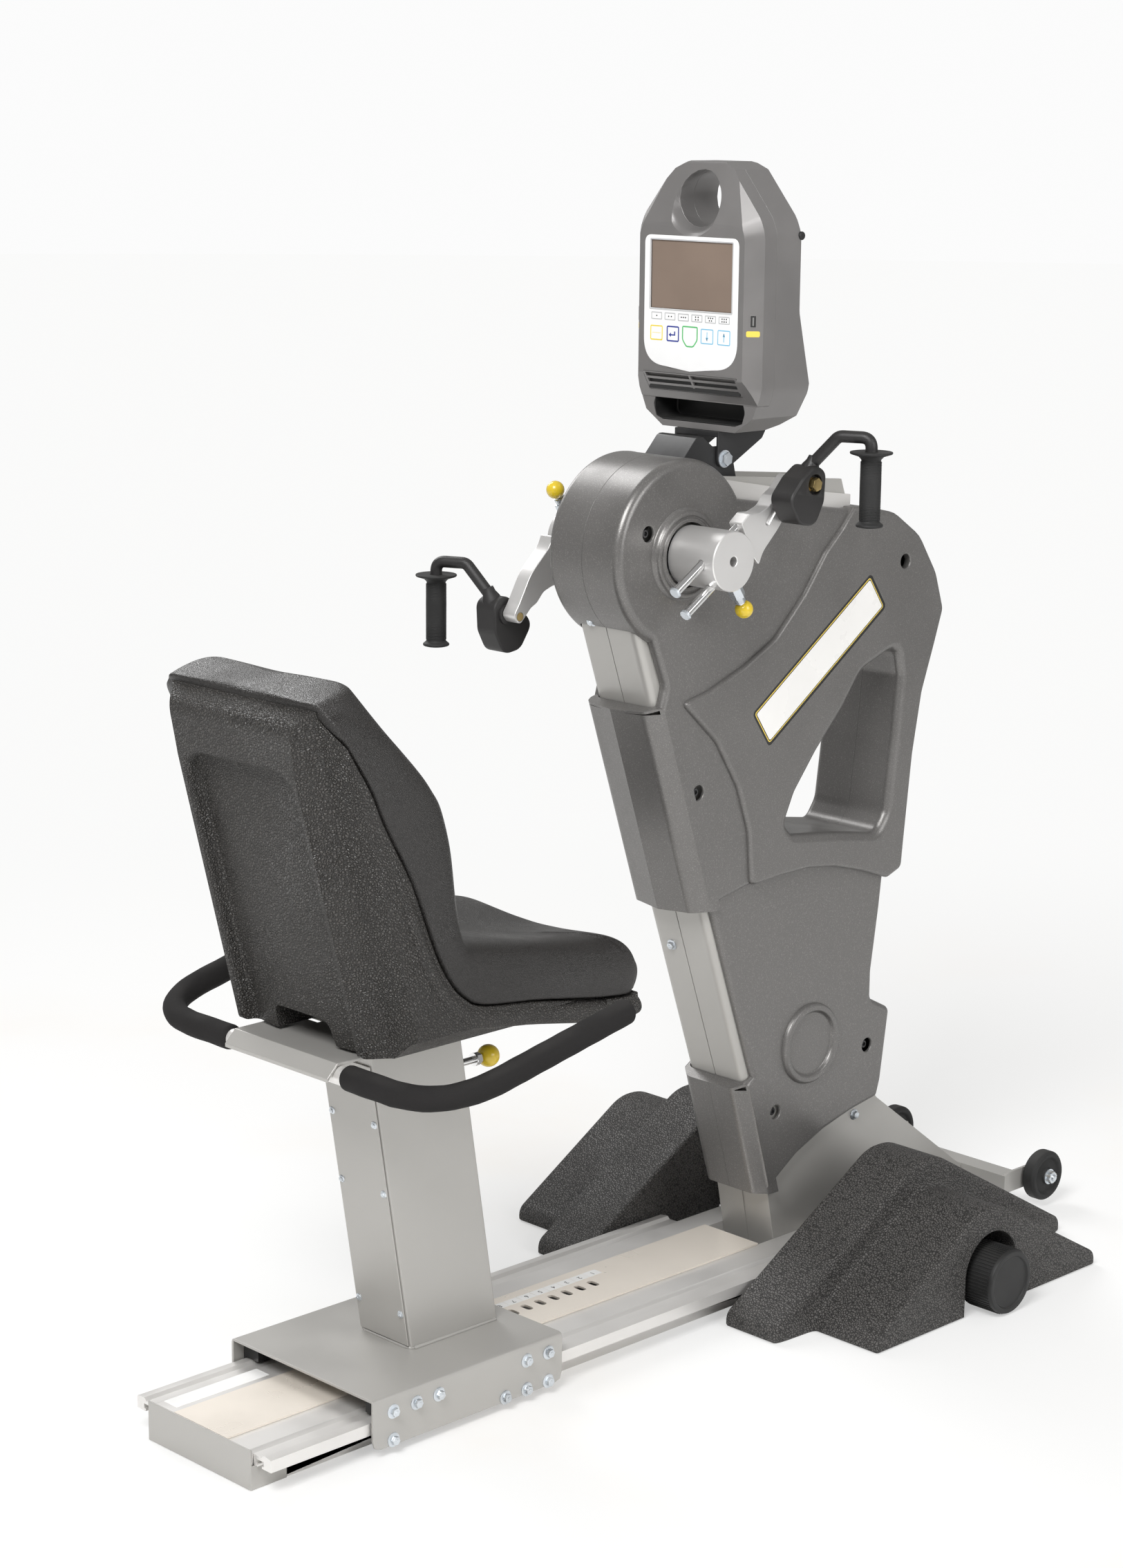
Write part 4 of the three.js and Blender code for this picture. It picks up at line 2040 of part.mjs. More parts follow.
function sleeveRight() {
  const bore = boreOf(HAND_BAR_RADIUS, GAP, TUBE_SIDES);
  const skin = cut(tube(handBarPath(SLEEVE_END), SLEEVE_RADIUS), tube(handBarPath(GAP), bore));
  const far = STANCE_HALF_WIDTH;
  return common(skin, block([SLEEVE_START, far], [0, 2 * SEAT_DEPTH], [0, TOWER_HEIGHT]));
}

// The line where the shell meets the cushion, from the front edge to the top of the back
const SEAM_SHARES = [
  [0.957, 0.032],
  [0.918, 0.026],
  [0.801, 0.038],
  [0.657, 0.062],
  [0.521, 0.084],
  [0.337, 0.106],
  [0.268, 0.138],
  [0.218, 0.184],
  [0.173, 0.253],
  [0.14, 0.325],
  [0.078, 0.473],
  [0.015, 0.581],
  [-0.024, 0.649],
  [-0.06, 0.725],
  [-0.121, 0.818],
  [-0.179, 0.906],
  [-0.19, 0.934],
];

// The cushion's outer line, point for point across from the seam
const CUSHION_SHARES = [
  [0.989, 0.122],
  [0.937, 0.174],
  [0.808, 0.196],
  [0.635, 0.22],
  [0.46, 0.25],
  [0.343, 0.271],
  [0.298, 0.289],
  [0.281, 0.323],
  [0.272, 0.379],
  [0.268, 0.427],
  [0.259, 0.539],
  [0.233, 0.643],
  [0.203, 0.689],
  [0.168, 0.733],
  [0.106, 0.798],
  [0.043, 0.864],
  [-0.05, 0.975],
];

// Half width of the cushion along its spine, as a share of the seat's half width
const CUSHION_WIDTH_SHARES = [0.93, 0.985, 1, 1.01, 1.01, 1.01, 1.01, 1.01, 1.01, 1, 1, 1, 0.99, 0.98];

// Half of the cushion's ring: shares across and from the seam to the outer line
const RING_HALF_SHARES = [
  [0, 0],
  [0.55, 0],
  [0.955, 0],
  [1.0, 0.12],
  [1.012, 0.38],
  [1.0, 0.64],
  [0.955, 0.85],
  [0.87, 0.97],
  [0.74, 1.0],
  [0.55, 0.965],
  [0.3, 0.91],
  [0, 0.88],
];
const TOP_TAPER_SHARE = 0.07;

const SHELL_REAR_SHARES = [
  [-0.242, 0.886, 0.07],
  [-0.216, 0.752, 0.2],
  [0, 0],
];
const SHELL_TIP_SHARES = [0.96, 0];
const PANEL_HALF_WIDTH = 112;
const PANEL_DEPTH = 18;
const PANEL_TOP_SHARE = 0.76;
const PANEL_CORNER = 30;
const SHELL_RIM = 12;
const SHELL_BACK = 28;
const SHELL_CORNER = 4;

function smoothLine(shares) {
  const points = shares.map(seatPoint).map(([y, z]) => new THREE.Vector3(0, y, z));
  const curve = new THREE.CatmullRomCurve3(points, false, "centripetal");
  return Array.from({ length: CUSHION_STATIONS }, (_, i) => curve.getPoint(i / (CUSHION_STATIONS - 1)));
}

// The seat narrows towards the top of its back
function taperedTo(height) {
  const rise = Math.max(0, (height - SEAT_BOTTOM) / SEAT_RISE);
  return 1 - TOP_TAPER_SHARE * rise;
}

function tapered(geometry) {
  const position = geometry.attributes.position;
  for (let i = 0; i < position.count; i++) {
    position.setX(i, position.getX(i) * taperedTo(position.getZ(i)));
  }
  return geometry;
}

// A closed skin over rings of equal counts, with a fan over each end
function loft(rings) {
  const count = rings[0].length;
  const middle = (ring) =>
    ring.reduce((sum, point) => sum.add(point), new THREE.Vector3()).divideScalar(count);
  const points = [...rings.flat(), middle(rings[0]), middle(rings.at(-1))];
  const faces = [];
  for (let r = 0; r < rings.length - 1; r++) {
    for (let i = 0; i < count; i++) {
      const next = (i + 1) % count;
      const [a, b] = [r * count + i, r * count + next];
      faces.push(a, b, b + count, a, b + count, a + count);
    }
  }
  const [startFan, endFan] = [points.length - 2, points.length - 1];
  const last = (rings.length - 1) * count;
  for (let i = 0; i < count; i++) {
    const next = (i + 1) % count;
    faces.push(startFan, next, i, endFan, last + i, last + next);
  }
  return new THREE.BufferGeometry().setFromPoints(points).setIndex(faces);
}

function shareAt(shares, t) {
  const place = t * (shares.length - 1);
  const low = Math.min(Math.floor(place), shares.length - 2);
  return THREE.MathUtils.lerp(shares[low], shares[low + 1], place - low);
}

function bucketCushion() {
  const seam = smoothLine(SEAM_SHARES);
  const outer = smoothLine(CUSHION_SHARES);
  const mirroredHalf = RING_HALF_SHARES.slice(1, -1).map(([across, out]) => [-across, out]);
  const ring = [...RING_HALF_SHARES, ...mirroredHalf.toReversed()];
  const rings = seam.map((start, i) => {
    const thickness = outer[i].clone().sub(start);
    const foot = start.clone().addScaledVector(thickness.clone().normalize(), GAP);
    const width = SEAT_HALF_WIDTH * shareAt(CUSHION_WIDTH_SHARES, i / (seam.length - 1));
    return ring.map(([across, out]) => {
      const point = foot.clone().addScaledVector(thickness, out);
      return point.setX(across * width * taperedTo(point.z));
    });
  });
  return loft(rings);
}

function shellOutline() {
  const seam = smoothLine(SEAM_SHARES).map((point) => [point.y, point.z]);
  const rear = SHELL_REAR_SHARES.map(([y, z, radius = 0]) => [...seatPoint([y, z]), radius * SEAT_DEPTH]);
  return roundedPoints([seatPoint(SHELL_TIP_SHARES), ...seam, ...rear]);
}

function seatShell() {
  const half = SEAT_HALF_WIDTH;
  const whole = sidePrism(shapeOf(shellOutline()), [-half, half], SHELL_CORNER);
  const rearLine = SHELL_REAR_SHARES.map(seatPoint);
  const [, high, low] = rearLine;
  const slope = (high[0] - low[0]) / (high[1] - low[1]);
  const rearAt = (height) => low[0] + (height - low[1]) * slope;
  const panelTop = SEAT_BOTTOM + PANEL_TOP_SHARE * SEAT_RISE;
  const panelHeights = [SEAT_BOTTOM - OVERRUN, panelTop];
  const panelOutline = rectangle(
    [-PANEL_HALF_WIDTH, PANEL_HALF_WIDTH],
    [SEAT_BOTTOM - 2 * PANEL_CORNER, panelTop],
    PANEL_CORNER,
  );
  const slab = leaningPrism(
    shapeOf(
      rectangle(
        [-half, half],
        [rearAt(panelHeights[0]) - 2 * PANEL_DEPTH, rearAt(panelHeights[0]) + PANEL_DEPTH],
      ),
    ),
    panelHeights,
    slope,
  );
  const panel = common(
    slab,
    frontPrism(shapeOf(panelOutline), [rearAt(panelTop) - SEAT_DEPTH, rearAt(0) + SEAT_DEPTH]),
  );
  const seam = smoothLine(SEAM_SHARES).map((point) => [point.y, point.z]);
  const first = Math.round(seam.length / 5);
  const last = seam.length - Math.round(seam.length / 8);
  const inner = half - SHELL_RIM;
  const open = seam.slice(first, last).map(([y, z]) => [y + SHELL_BACK, z + SHELL_BACK]);
  const topZ = seam[last][1] - SHELL_BACK;
  const bottomZ = SEAT_BOTTOM + SHELL_RIM / 2;
  const hollowOutline = roundedPoints([
    ...open,
    [rearAt(topZ) + SHELL_BACK, topZ],
    [rearAt(bottomZ) + SHELL_BACK, bottomZ],
    [seam[first][0], bottomZ],
  ]);
  const hollow = sidePrism(shapeOf(hollowOutline), [-inner, inner]);
  return tapered(cut(whole, panel, hollow));
}

function seatGroup() {
  return groupOf(
    meshOf("carriage", carriage(), "paintedSteel"),
    ...pairOf("glide", glideRight(), "blackPlastic"),
    meshOf("seat_post", seatPost(), "paintedSteel"),
    meshOf("post_cover", postCover(), "paintedSteel"),
    meshOf("release_lever", releaseLever(), "chrome"),
    meshOf("lock_pin", lockPin(), "chrome"),
    meshOf("bar_bracket", barBracket(), "paintedSteel"),
    meshOf("seat_mount", seatMount(), "paintedSteel"),
    meshOf("hand_bar", handBar(), "aluminium"),
    ...pairOf("sleeve", sleeveRight(), "foam"),
    meshOf("seat_shell", seatShell(), "seatPlastic"),
    meshOf("bucket_cushion", bucketCushion(), "vinyl"),
  );
}

// The origin is on the floor, under the middle of the whole length
const WHOLE_LENGTH = WHEEL_STATION + WHEEL_RADIUS;
const ergometer = groupOf(railGroup(), stanceGroup(), towerGroup(), consoleGroup(), seatGroup());
ergometer.position.y = -WHOLE_LENGTH / 2;

export default ergometer;
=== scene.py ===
"""Arm ergometer with a sliding seat: the looks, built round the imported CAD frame.

Lengths are written in millimetres and become metres in the mesh. X points right and Y forwards for
someone in the seat, and Z = 0 is the floor.
"""

import json
import math

import bmesh
import bpy
from mathutils import Matrix, Vector
from mathutils.geometry import tessellate_polygon

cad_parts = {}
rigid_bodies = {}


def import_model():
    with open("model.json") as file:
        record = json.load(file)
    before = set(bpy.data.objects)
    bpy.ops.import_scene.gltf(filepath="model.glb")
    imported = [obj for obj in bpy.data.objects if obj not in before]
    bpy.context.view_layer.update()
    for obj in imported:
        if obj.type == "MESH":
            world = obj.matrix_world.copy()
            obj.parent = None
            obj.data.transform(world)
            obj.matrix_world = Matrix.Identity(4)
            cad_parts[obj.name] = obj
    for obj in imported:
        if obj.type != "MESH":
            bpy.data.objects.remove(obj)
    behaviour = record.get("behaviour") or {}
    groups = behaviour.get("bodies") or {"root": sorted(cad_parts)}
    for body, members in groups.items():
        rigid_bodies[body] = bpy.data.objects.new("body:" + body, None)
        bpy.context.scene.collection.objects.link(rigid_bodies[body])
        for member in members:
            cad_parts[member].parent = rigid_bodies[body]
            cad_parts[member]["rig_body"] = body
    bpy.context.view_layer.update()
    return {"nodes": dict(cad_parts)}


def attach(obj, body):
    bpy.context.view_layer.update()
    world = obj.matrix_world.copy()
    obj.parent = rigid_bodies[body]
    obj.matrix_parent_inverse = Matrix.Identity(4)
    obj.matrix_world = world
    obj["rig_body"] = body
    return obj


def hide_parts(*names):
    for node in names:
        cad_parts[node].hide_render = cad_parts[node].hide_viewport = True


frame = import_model()

bl_info = {
    "name": "Arm ergometer",
    "version": (1, 0, 0),
    "blender": (4, 5, 0),
    "location": "3D View > Sidebar > Ergometer",
    "description": "Builds the surfaces, fasteners, padding and stage of an arm ergometer",
    "category": "Object",
}

MM = 0.001
NODES = frame["nodes"]
FINE_TURN = math.pi / 20
LEAST_BEND = 0.02
UP = (0, 0, 1)
MERGE_DISTANCE = 2e-5
FLAT_ENOUGH = math.radians(1.0)


# Settings that a user would change


def colour(name, text, value):
    return bpy.props.FloatVectorProperty(
        name=name, description=text, subtype="COLOR", size=3, min=0, max=1, default=value
    )


def length(name, text, value):
    return bpy.props.FloatProperty(
        name=name, description=text, unit="LENGTH", min=0, default=value * MM
    )


def power(name, text, value):
    return bpy.props.FloatProperty(name=name, description=text, unit="POWER", default=value)


class ErgometerColours(bpy.types.PropertyGroup):
    shell: colour("Shells", "Metallic paint of the tower shells", (0.155, 0.15, 0.145))
    console: colour("Console", "Moulded plastic of the console housing", (0.2, 0.193, 0.19))
    silver: colour("Silver paint", "Column, foot, carriage and post", (0.43, 0.42, 0.4))
    plate: colour("Stop plate", "Slotted steel plate on the rail", (0.88, 0.815, 0.73))
    vinyl: colour("Vinyl", "Seat cushion", (0.014, 0.0128, 0.012))
    seat_plastic: colour("Seat plastic", "Moulded seat shell", (0.018, 0.0165, 0.015))
    ball: colour("Balls", "Lever and plunger balls", (0.75, 0.54, 0.025))
    badge: colour("Badge plates", "Bare plates on the tower shells", (0.86, 0.85, 0.83))
    rubber: colour("Ramp rubber", "Bonded crumb of the ramps", (0.02, 0.019, 0.018))


class ErgometerSizes(bpy.types.PropertyGroup):
    bolt_flange: length("Bolt flange", "Diameter of the carriage bolts' flanges", 20)
    grip_rib: length("Grip rib", "Height of the ribs on the grips", 0.9)
    cap_rib: length("Cap rib", "Height of the ribs on the bar's end caps", 1.6)
    camera_lens: bpy.props.FloatProperty(
        name="Lens", description="Focal length of the camera, in mm", min=10, default=71.65
    )
    key_light: power("Key light", "Power of the large soft light", 235)
    fill_light: power("Fill light", "Power of the two lesser soft lights", 85)


def colours():
    return bpy.context.scene.ergometer_colours


def sizes():
    return bpy.context.scene.ergometer_sizes


# Node trees that several materials or pieces share

FLOAT, VECTOR, WHOLE = "NodeSocketFloat", "NodeSocketVector", "NodeSocketInt"
GEOMETRY, OBJECT, MATERIAL = "NodeSocketGeometry", "NodeSocketObject", "NodeSocketMaterial"


class Tree:
    """Adds nodes to a tree and joins them by name or number of their inputs."""

    def __init__(self, tree):
        self.tree = tree

    def feed(self, socket, value):
        if isinstance(value, bpy.types.NodeSocket):
            self.tree.links.new(value, socket)
        else:
            socket.default_value = value

    def node(self, kind, inputs=None, **settings):
        made = self.tree.nodes.new(kind)
        for key, value in settings.items():
            setattr(made, key, value)
        for key, value in (inputs or {}).items():
            self.feed(made.inputs[key], value)
        return made

    def maths(self, operation, first, second=0.0, clamp=False):
        inputs = {0: first, 1: second}
        return self.node("ShaderNodeMath", inputs, operation=operation, use_clamp=clamp).outputs[0]

    def vector_maths(self, operation, inputs):
        return self.node("ShaderNodeVectorMath", inputs, operation=operation).outputs

    def mixed(self, share, first, second):
        return self.node("ShaderNodeMix", {0: share, 6: first, 7: second}, data_type="RGBA").outputs[2]

    def mixed_shader(self, share, first, second):
        inputs = {0: share, 1: first.outputs[0], 2: second.outputs[0]}
        return self.node("ShaderNodeMixShader", inputs).outputs[0]

    def ramp(self, value, low, high, start=0.0, end=1.0):
        inputs = dict(enumerate((value, low, high, start, end)))
        return self.node("ShaderNodeMapRange", inputs, interpolation_type="SMOOTHSTEP").outputs[0]

    def noise(self, place, scale, detail):
        inputs = {"Vector": place, "Scale": scale, "Detail": detail}
        return self.node("ShaderNodeTexNoise", inputs).outputs

    def effect(self, group, **inputs):
        return self.node("ShaderNodeGroup", inputs, node_tree=group()).outputs


def emptied(data):
    """The node tree of a material or a world, without its first nodes."""
    data.use_nodes = True
    data.node_tree.nodes.clear()
    return Tree(data.node_tree)


def shared(name, kind, inputs, outputs):
    """Turns a function that fills a node tree into one that gives the group, which is built once."""

    def wrapped(fill):
        def given():
            made = bpy.data.node_groups.get(name)
            if made:
                return made
            made = bpy.data.node_groups.new(name, kind)
            for way, sockets in (("INPUT", inputs), ("OUTPUT", outputs)):
                for label, socket_type, *value in sockets:
                    socket = made.interface.new_socket(label, in_out=way, socket_type=socket_type)
                    if value:
                        socket.default_value = value[0]
            tree = Tree(made)
            fill(tree, tree.node("NodeGroupInput").outputs, tree.node("NodeGroupOutput").inputs)
            return made

        return given

    return wrapped


@shared(
    "Pebble grain",
    "ShaderNodeTree",
    [("Position", VECTOR), ("Scale", FLOAT, 400.0), ("Softness", FLOAT, 0.5)],
    [("Height", FLOAT)],
)
def pebble_group(tree, start, end):
    """Moulded or embossed grain: rounded pebbles with creases between them."""
    bend = tree.noise(start["Position"], tree.maths("MULTIPLY", start["Scale"], 0.7), 2.0)["Color"]
    reach = tree.maths("DIVIDE", 0.6, start["Scale"])
    shift = tree.vector_maths("SCALE", {0: bend, "Scale": reach})[0]
    moved = tree.vector_maths("ADD", {0: start["Position"], 1: shift})[0]
    cells = tree.node(
        "ShaderNodeTexVoronoi", {"Vector": moved, "Scale": start["Scale"]}, feature="DISTANCE_TO_EDGE"
    )
    tree.feed(end["Height"], tree.ramp(cells.outputs["Distance"], 0.0, start["Softness"]))


@shared(
    "Fine grain",
    "ShaderNodeTree",
    [("Position", VECTOR), ("Scale", FLOAT, 900.0), ("Blotch", FLOAT, 9.0)],
    [("Height", FLOAT), ("Blotches", FLOAT)],
)
def grain_group(tree, start, end):
    """Fine paint or casting grain, and slow blotches for gloss that isn't even."""
    tree.feed(end["Height"], tree.noise(start["Position"], start["Scale"], 3.0)[0])
    slow = tree.noise(start["Position"], start["Blotch"], 5.0)[0]
    tree.feed(end["Blotches"], tree.ramp(slow, 0.3, 0.7))


@shared(
    "Drawn lines",
    "ShaderNodeTree",
    [("Position", VECTOR), ("Stretch", VECTOR, (1.0, 0.02, 1.0)), ("Scale", FLOAT, 900.0)],
    [("Height", FLOAT)],
)
def brushed_group(tree, start, end):
    """Lines that a brush or an extrusion die leaves, drawn out along one direction."""
    drawn = tree.vector_maths("MULTIPLY", {0: start["Position"], 1: start["Stretch"]})[0]
    tree.feed(end["Height"], tree.noise(drawn, start["Scale"], 4.0)[0])


@shared(
    "Edge wear",
    "ShaderNodeTree",
    [("Position", VECTOR), ("Amount", FLOAT, 0.5), ("Scale", FLOAT, 60.0)],
    [("Mask", FLOAT)],
)
def wear_group(tree, start, end):
    """Worn edges: sharp outer corners, broken up by noise."""
    edge = tree.ramp(tree.node("ShaderNodeNewGeometry").outputs["Pointiness"], 0.52, 0.6)
    patch = tree.noise(start["Position"], start["Scale"], 4.0)[0]
    worn = tree.maths("MULTIPLY", edge, tree.ramp(patch, 0.4, 0.65))
    tree.feed(end["Mask"], tree.maths("MULTIPLY", worn, start["Amount"], clamp=True))


@shared(
    "Dust film",
    "ShaderNodeTree",
    [("Position", VECTOR), ("Facing", VECTOR), ("Amount", FLOAT, 0.2)],
    [("Mask", FLOAT)],
)
def dust_group(tree, start, end):
    """A thin film of dust on what faces up, in patches."""
    facing_up = tree.node("ShaderNodeSeparateXYZ", {"Vector": start["Facing"]}).outputs["Z"]
    patch = tree.noise(start["Position"], 14.0, 6.0)[0]
    film = tree.maths("MULTIPLY", tree.ramp(facing_up, 0.5, 1.0), tree.ramp(patch, 0.35, 0.75))
    tree.feed(end["Mask"], tree.maths("MULTIPLY", film, start["Amount"], clamp=True))


# Finishes

# Each finish: its colour or the name of a setting, roughness and its spread, metallic, the kind, scale
# and depth of its grain, how far the colour drifts, and what few finishes have
FINISHES = {
    "shell_paint": (
        "shell", 0.36, 0.06, 0.45, "fine", 620, 0.3, 0.03, {"wear": 0.03, "dust": 0.02, "coat": 0.2}
    ),
    "console_plastic": (
        "console", 0.33, 0.05, 0.3, "fine", 1900, 0.12, 0.05, {"dust": 0.02, "coat": 0.1}
    ),
    "silver_paint": ("silver", 0.36, 0.04, 0.3, "fine", 2200, 0.04, 0.015, {"coat": 0.1}),
    "extruded": ((0.76, 0.745, 0.725), 0.36, 0.04, 0.55, "drawn", 700, 0.06, 0.02, {}),
    "machined": ((0.8, 0.79, 0.78), 0.4, 0.02, 0.8, "fine", 2500, 0.006, 0.01, {}),
    "stop_steel": ("plate", 0.3, 0.03, 0.3, "drawn", 900, 0.04, 0.02, {}),
    "chrome": ((0.8, 0.8, 0.8), 0.1, 0.04, 1.0, "fine", 900, 0.01, 0.02, {}),
    "zinc": ((0.62, 0.66, 0.7), 0.3, 0.1, 0.9, "fine", 1500, 0.05, 0.15, {"wear": 0.1}),
    "gold_zinc": ((0.6, 0.45, 0.2), 0.33, 0.1, 0.9, "fine", 1500, 0.05, 0.2, {"wear": 0.1}),
    "black_steel": (
        (0.022, 0.022, 0.023), 0.36, 0.08, 0.2, "fine", 1500, 0.08, 0.1,
        {"wear": 0.25, "dust": 0.05, "coat": 0.2},
    ),
    "black_cast": (
        (0.02, 0.019, 0.019), 0.48, 0.08, 0.1, "pebble", 1100, 0.12, 0.1, {"wear": 0.2, "dust": 0.05}
    ),
    "black_plastic": (
        (0.018, 0.018, 0.018), 0.45, 0.08, 0.0, "fine", 1200, 0.06, 0.1,
        {"wear": 0.1, "dust": 0.05, "gleam": 0.35},
    ),
    "seat_plastic": ("seat_plastic", 0.38, 0.1, 0.0, "pebble", 270, 1.2, 0.12, {}),
    "vinyl": ("vinyl", 0.36, 0.1, 0.0, "pebble", 430, 0.45, 0.12, {}),
    "foam": (
        (0.017, 0.016, 0.016), 0.85, 0.08, 0.0, "fine", 1600, 0.35, 0.1, {"dust": 0.03, "gleam": 0.2}
    ),
    "grip_rubber": (
        (0.022, 0.022, 0.022), 0.62, 0.08, 0.0, "fine", 1500, 0.12, 0.1, {"dust": 0.08, "gleam": 0.3}
    ),
    "ramp_rubber": ("rubber", 0.55, 0.06, 0.0, "crumb", 260, 0.9, 0.05, {}),
    "cast_iron": ((0.1, 0.1, 0.105), 0.5, 0.1, 0.7, "pebble", 900, 0.2, 0.1, {"wear": 0.1}),
    "ball_plastic": ("ball", 0.25, 0.06, 0.0, "fine", 300, 0.02, 0.04, {"dust": 0.05, "coat": 0.5}),
    "badge_face": ("badge", 0.25, 0.05, 0.0, "fine", 500, 0.01, 0.02, {"dust": 0.04, "coat": 0.4}),
    "badge_line": ((0.8, 0.6, 0.1), 0.3, 0.05, 0.0, "fine", 500, 0.01, 0.02, {}),
    "print_black": ((0.02, 0.02, 0.02), 0.4, 0.05, 0.0, "fine", 500, 0.01, 0.02, {}),
    "label_white": ((0.86, 0.86, 0.85), 0.4, 0.08, 0.0, "fine", 700, 0.02, 0.04, {"dust": 0.1}),
    "overlay_white": ((0.87, 0.87, 0.87), 0.32, 0.05, 0.0, "fine", 1800, 0.03, 0.02, {"dust": 0.03}),
    "screen_film": (
        (0.22, 0.165, 0.13), 0.22, 0.04, 0.0, "fine", 3000, 0.02, 0.05, {"dust": 0.02, "coat": 0.3}
    ),
}
KEY_COLOURS = {
    "key_grey": (0.5, 0.5, 0.51),
    "key_yellow": (0.8, 0.65, 0.05),
    "key_blue": (0.03, 0.05, 0.3),
    "key_green": (0.1, 0.5, 0.16),
    "key_sky": (0.18, 0.5, 0.72),
}
FINISHES.update(
    {key: (tone, 0.4, 0.05, 0.0, "fine", 900, 0.01, 0.03, {}) for key, tone in KEY_COLOURS.items()}
)

DUST = (0.45, 0.43, 0.4, 1.0)
CRUMB_FLECK = (0.16, 0.152, 0.145, 1.0)


def tinted(tone, factor, added=0.0):
    """The tone made lighter or darker, as an opaque colour."""
    return tuple(min(1.0, c * factor + added) for c in tone) + (1.0,)


def finish(name):
    """The material of that finish, built when it is first asked for."""
    made = bpy.data.materials.get(name + "_finish")
    if made:
        return made
    tone, rough, spread, metal, kind, scale, depth, drift, extra = FINISHES[name]
    tone = tuple(getattr(colours(), tone)) if isinstance(tone, str) else tone
    made = bpy.data.materials.new(name + "_finish")
    tree = emptied(made)
    place = tree.node("ShaderNodeTexCoord").outputs
    at = place["Object"]
    pebbled = kind in ("pebble", "crumb")
    fine = tree.effect(grain_group, Position=at, Scale=scale * (2.2 if pebbled else 1.0))
    height = fine["Height"]
    if pebbled:
        softness = 0.3 if kind == "pebble" else 0.22
        pebbles = tree.effect(pebble_group, Position=at, Scale=scale, Softness=softness)["Height"]
        height = tree.maths("ADD", pebbles, tree.maths("MULTIPLY", height, 0.4))
    if kind == "drawn":
        height = tree.effect(brushed_group, Position=at, Scale=scale)["Height"]
    relief = {"Strength": min(1.0, 0.25 + depth), "Distance": depth * MM, "Height": height}
    bump = tree.node("ShaderNodeBump", relief).outputs[0]
    base = tree.mixed(fine["Blotches"], tinted(tone, 1 - drift), tinted(tone, 1 + drift, 0.02 * drift))
    # Painted glints: in the deeper fine grains (shells and foam) the grain's peaks are made lighter in
    # the colour, standing in for flake sparkle.
    if kind == "fine" and depth > 0.2:
        painted_glints = tree.maths("MULTIPLY", tree.ramp(height, 0.5, 0.75), 0.5)
        base = tree.mixed(painted_glints, base, tinted(tone, 2.1))
    if kind == "crumb":
        flecks = tree.maths("MULTIPLY", tree.ramp(pebbles, 0.35, 0.75), 0.55)
        base = tree.mixed(flecks, base, CRUMB_FLECK)
    # Painted light and shade: the pebbles' crests are made lighter and the creases between them stay
    # darker, as light falls on raised grain.
    if kind == "pebble":
        painted_crest_light = tree.maths("MULTIPLY", tree.ramp(pebbles, 0.25, 0.8), min(0.8, depth))
        base = tree.mixed(painted_crest_light, base, tinted(tone, 3.4, 0.004))
    if "wear" in extra:
        worn = tree.effect(wear_group, Position=at, Amount=extra["wear"])["Mask"]
        base = tree.mixed(worn, base, tinted(tone, 1.7, 0.05))
    if "dust" in extra:
        film = tree.effect(
            dust_group, Position=at, Facing=place["Normal"], Amount=extra["dust"]
        )["Mask"]
        base = tree.mixed(film, base, DUST)
    gloss = tree.ramp(fine["Blotches"], 0.0, 1.0, max(0.03, rough - spread), min(1.0, rough + spread))
    surface = {"Base Color": base, "Roughness": gloss, "Normal": bump, "Metallic": metal}
    surface["Specular IOR Level"] = extra.get("gleam", 0.5)
    if "coat" in extra:
        surface.update({"Coat Weight": extra["coat"], "Coat Roughness": 0.25})
    body = tree.node("ShaderNodeBsdfPrincipled", surface)
    tree.node("ShaderNodeOutputMaterial", {"Surface": body.outputs[0]})
    return made


# Outlines


def bow(corner, before, after, reach, steps):
    """Points of the bend that replaces a corner, given the directions of its two neighbours."""
    start, end = corner + before.normalized() * reach, corner + after.normalized() * reach
    return [
        start * (1 - t) ** 2 + corner * 2 * t * (1 - t) + end * t * t
        for t in (k / steps for k in range(steps + 1))
    ]


def anticlockwise(points):
    area = sum(a.x * b.y - b.x * a.y for a, b in zip(points, points[1:] + points[:1]))
    return points if area > 0 else points[::-1]


def rounded(corners, turn=FINE_TURN):
    """Points of a closed outline: a corner (u, v) stays sharp, and (u, v, radius) becomes an arc."""
    points = []
    for i, corner in enumerate(corners):
        here = Vector(corner[:2])
        radius = corner[2] if len(corner) > 2 else 0
        before = Vector(corners[i - 1][:2]) - here
        after = Vector(corners[(i + 1) % len(corners)][:2]) - here
        half = before.angle(after) / 2
        bend = math.pi - 2 * half
        if not radius or bend < LEAST_BEND:
            points.append(here)
            continue
        reach = min(radius / math.tan(half), before.length * 0.45, after.length * 0.45)
        points += bow(here, before, after, reach, max(2, round(bend / turn)))
    return anticlockwise(points)


def inset(points, distance):
    """The outline moved inwards by that distance, or outwards if it is negative."""
    made = []
    for i, point in enumerate(points):
        before = (point - points[i - 1]).normalized()
        after = (points[(i + 1) % len(points)] - point).normalized()
        square = Vector((-before.y, before.x))
        middle = Vector((-before.y - after.y, before.x + after.x))
        middle = middle.normalized() if middle.length > 1e-6 else square
        made.append(point + middle * (distance / max(middle.dot(square), 0.35)))
    return made


def rectangle(u0, u1, v0, v1, radius=0.0):
    return rounded([(u0, v0, radius), (u1, v0, radius), (u1, v1, radius), (u0, v1, radius)])


def round_points(u, v, radius, turns):
    return [Vector((u + radius * math.cos(a), v + radius * math.sin(a))) for a in turns]


def circle(u, v, radius, sides=64):
    return round_points(u, v, radius, (2 * math.pi * k / sides for k in range(sides)))


def arch(u, v, radius, steps, foot):
    """The upper half of a circle on straight legs that end at the foot's height."""
    bend = round_points(u, v, radius, (math.pi * k / steps for k in range(steps + 1)))
    return bend + [Vector((u - radius, foot)), Vector((u + radius, foot))]


# Meshes

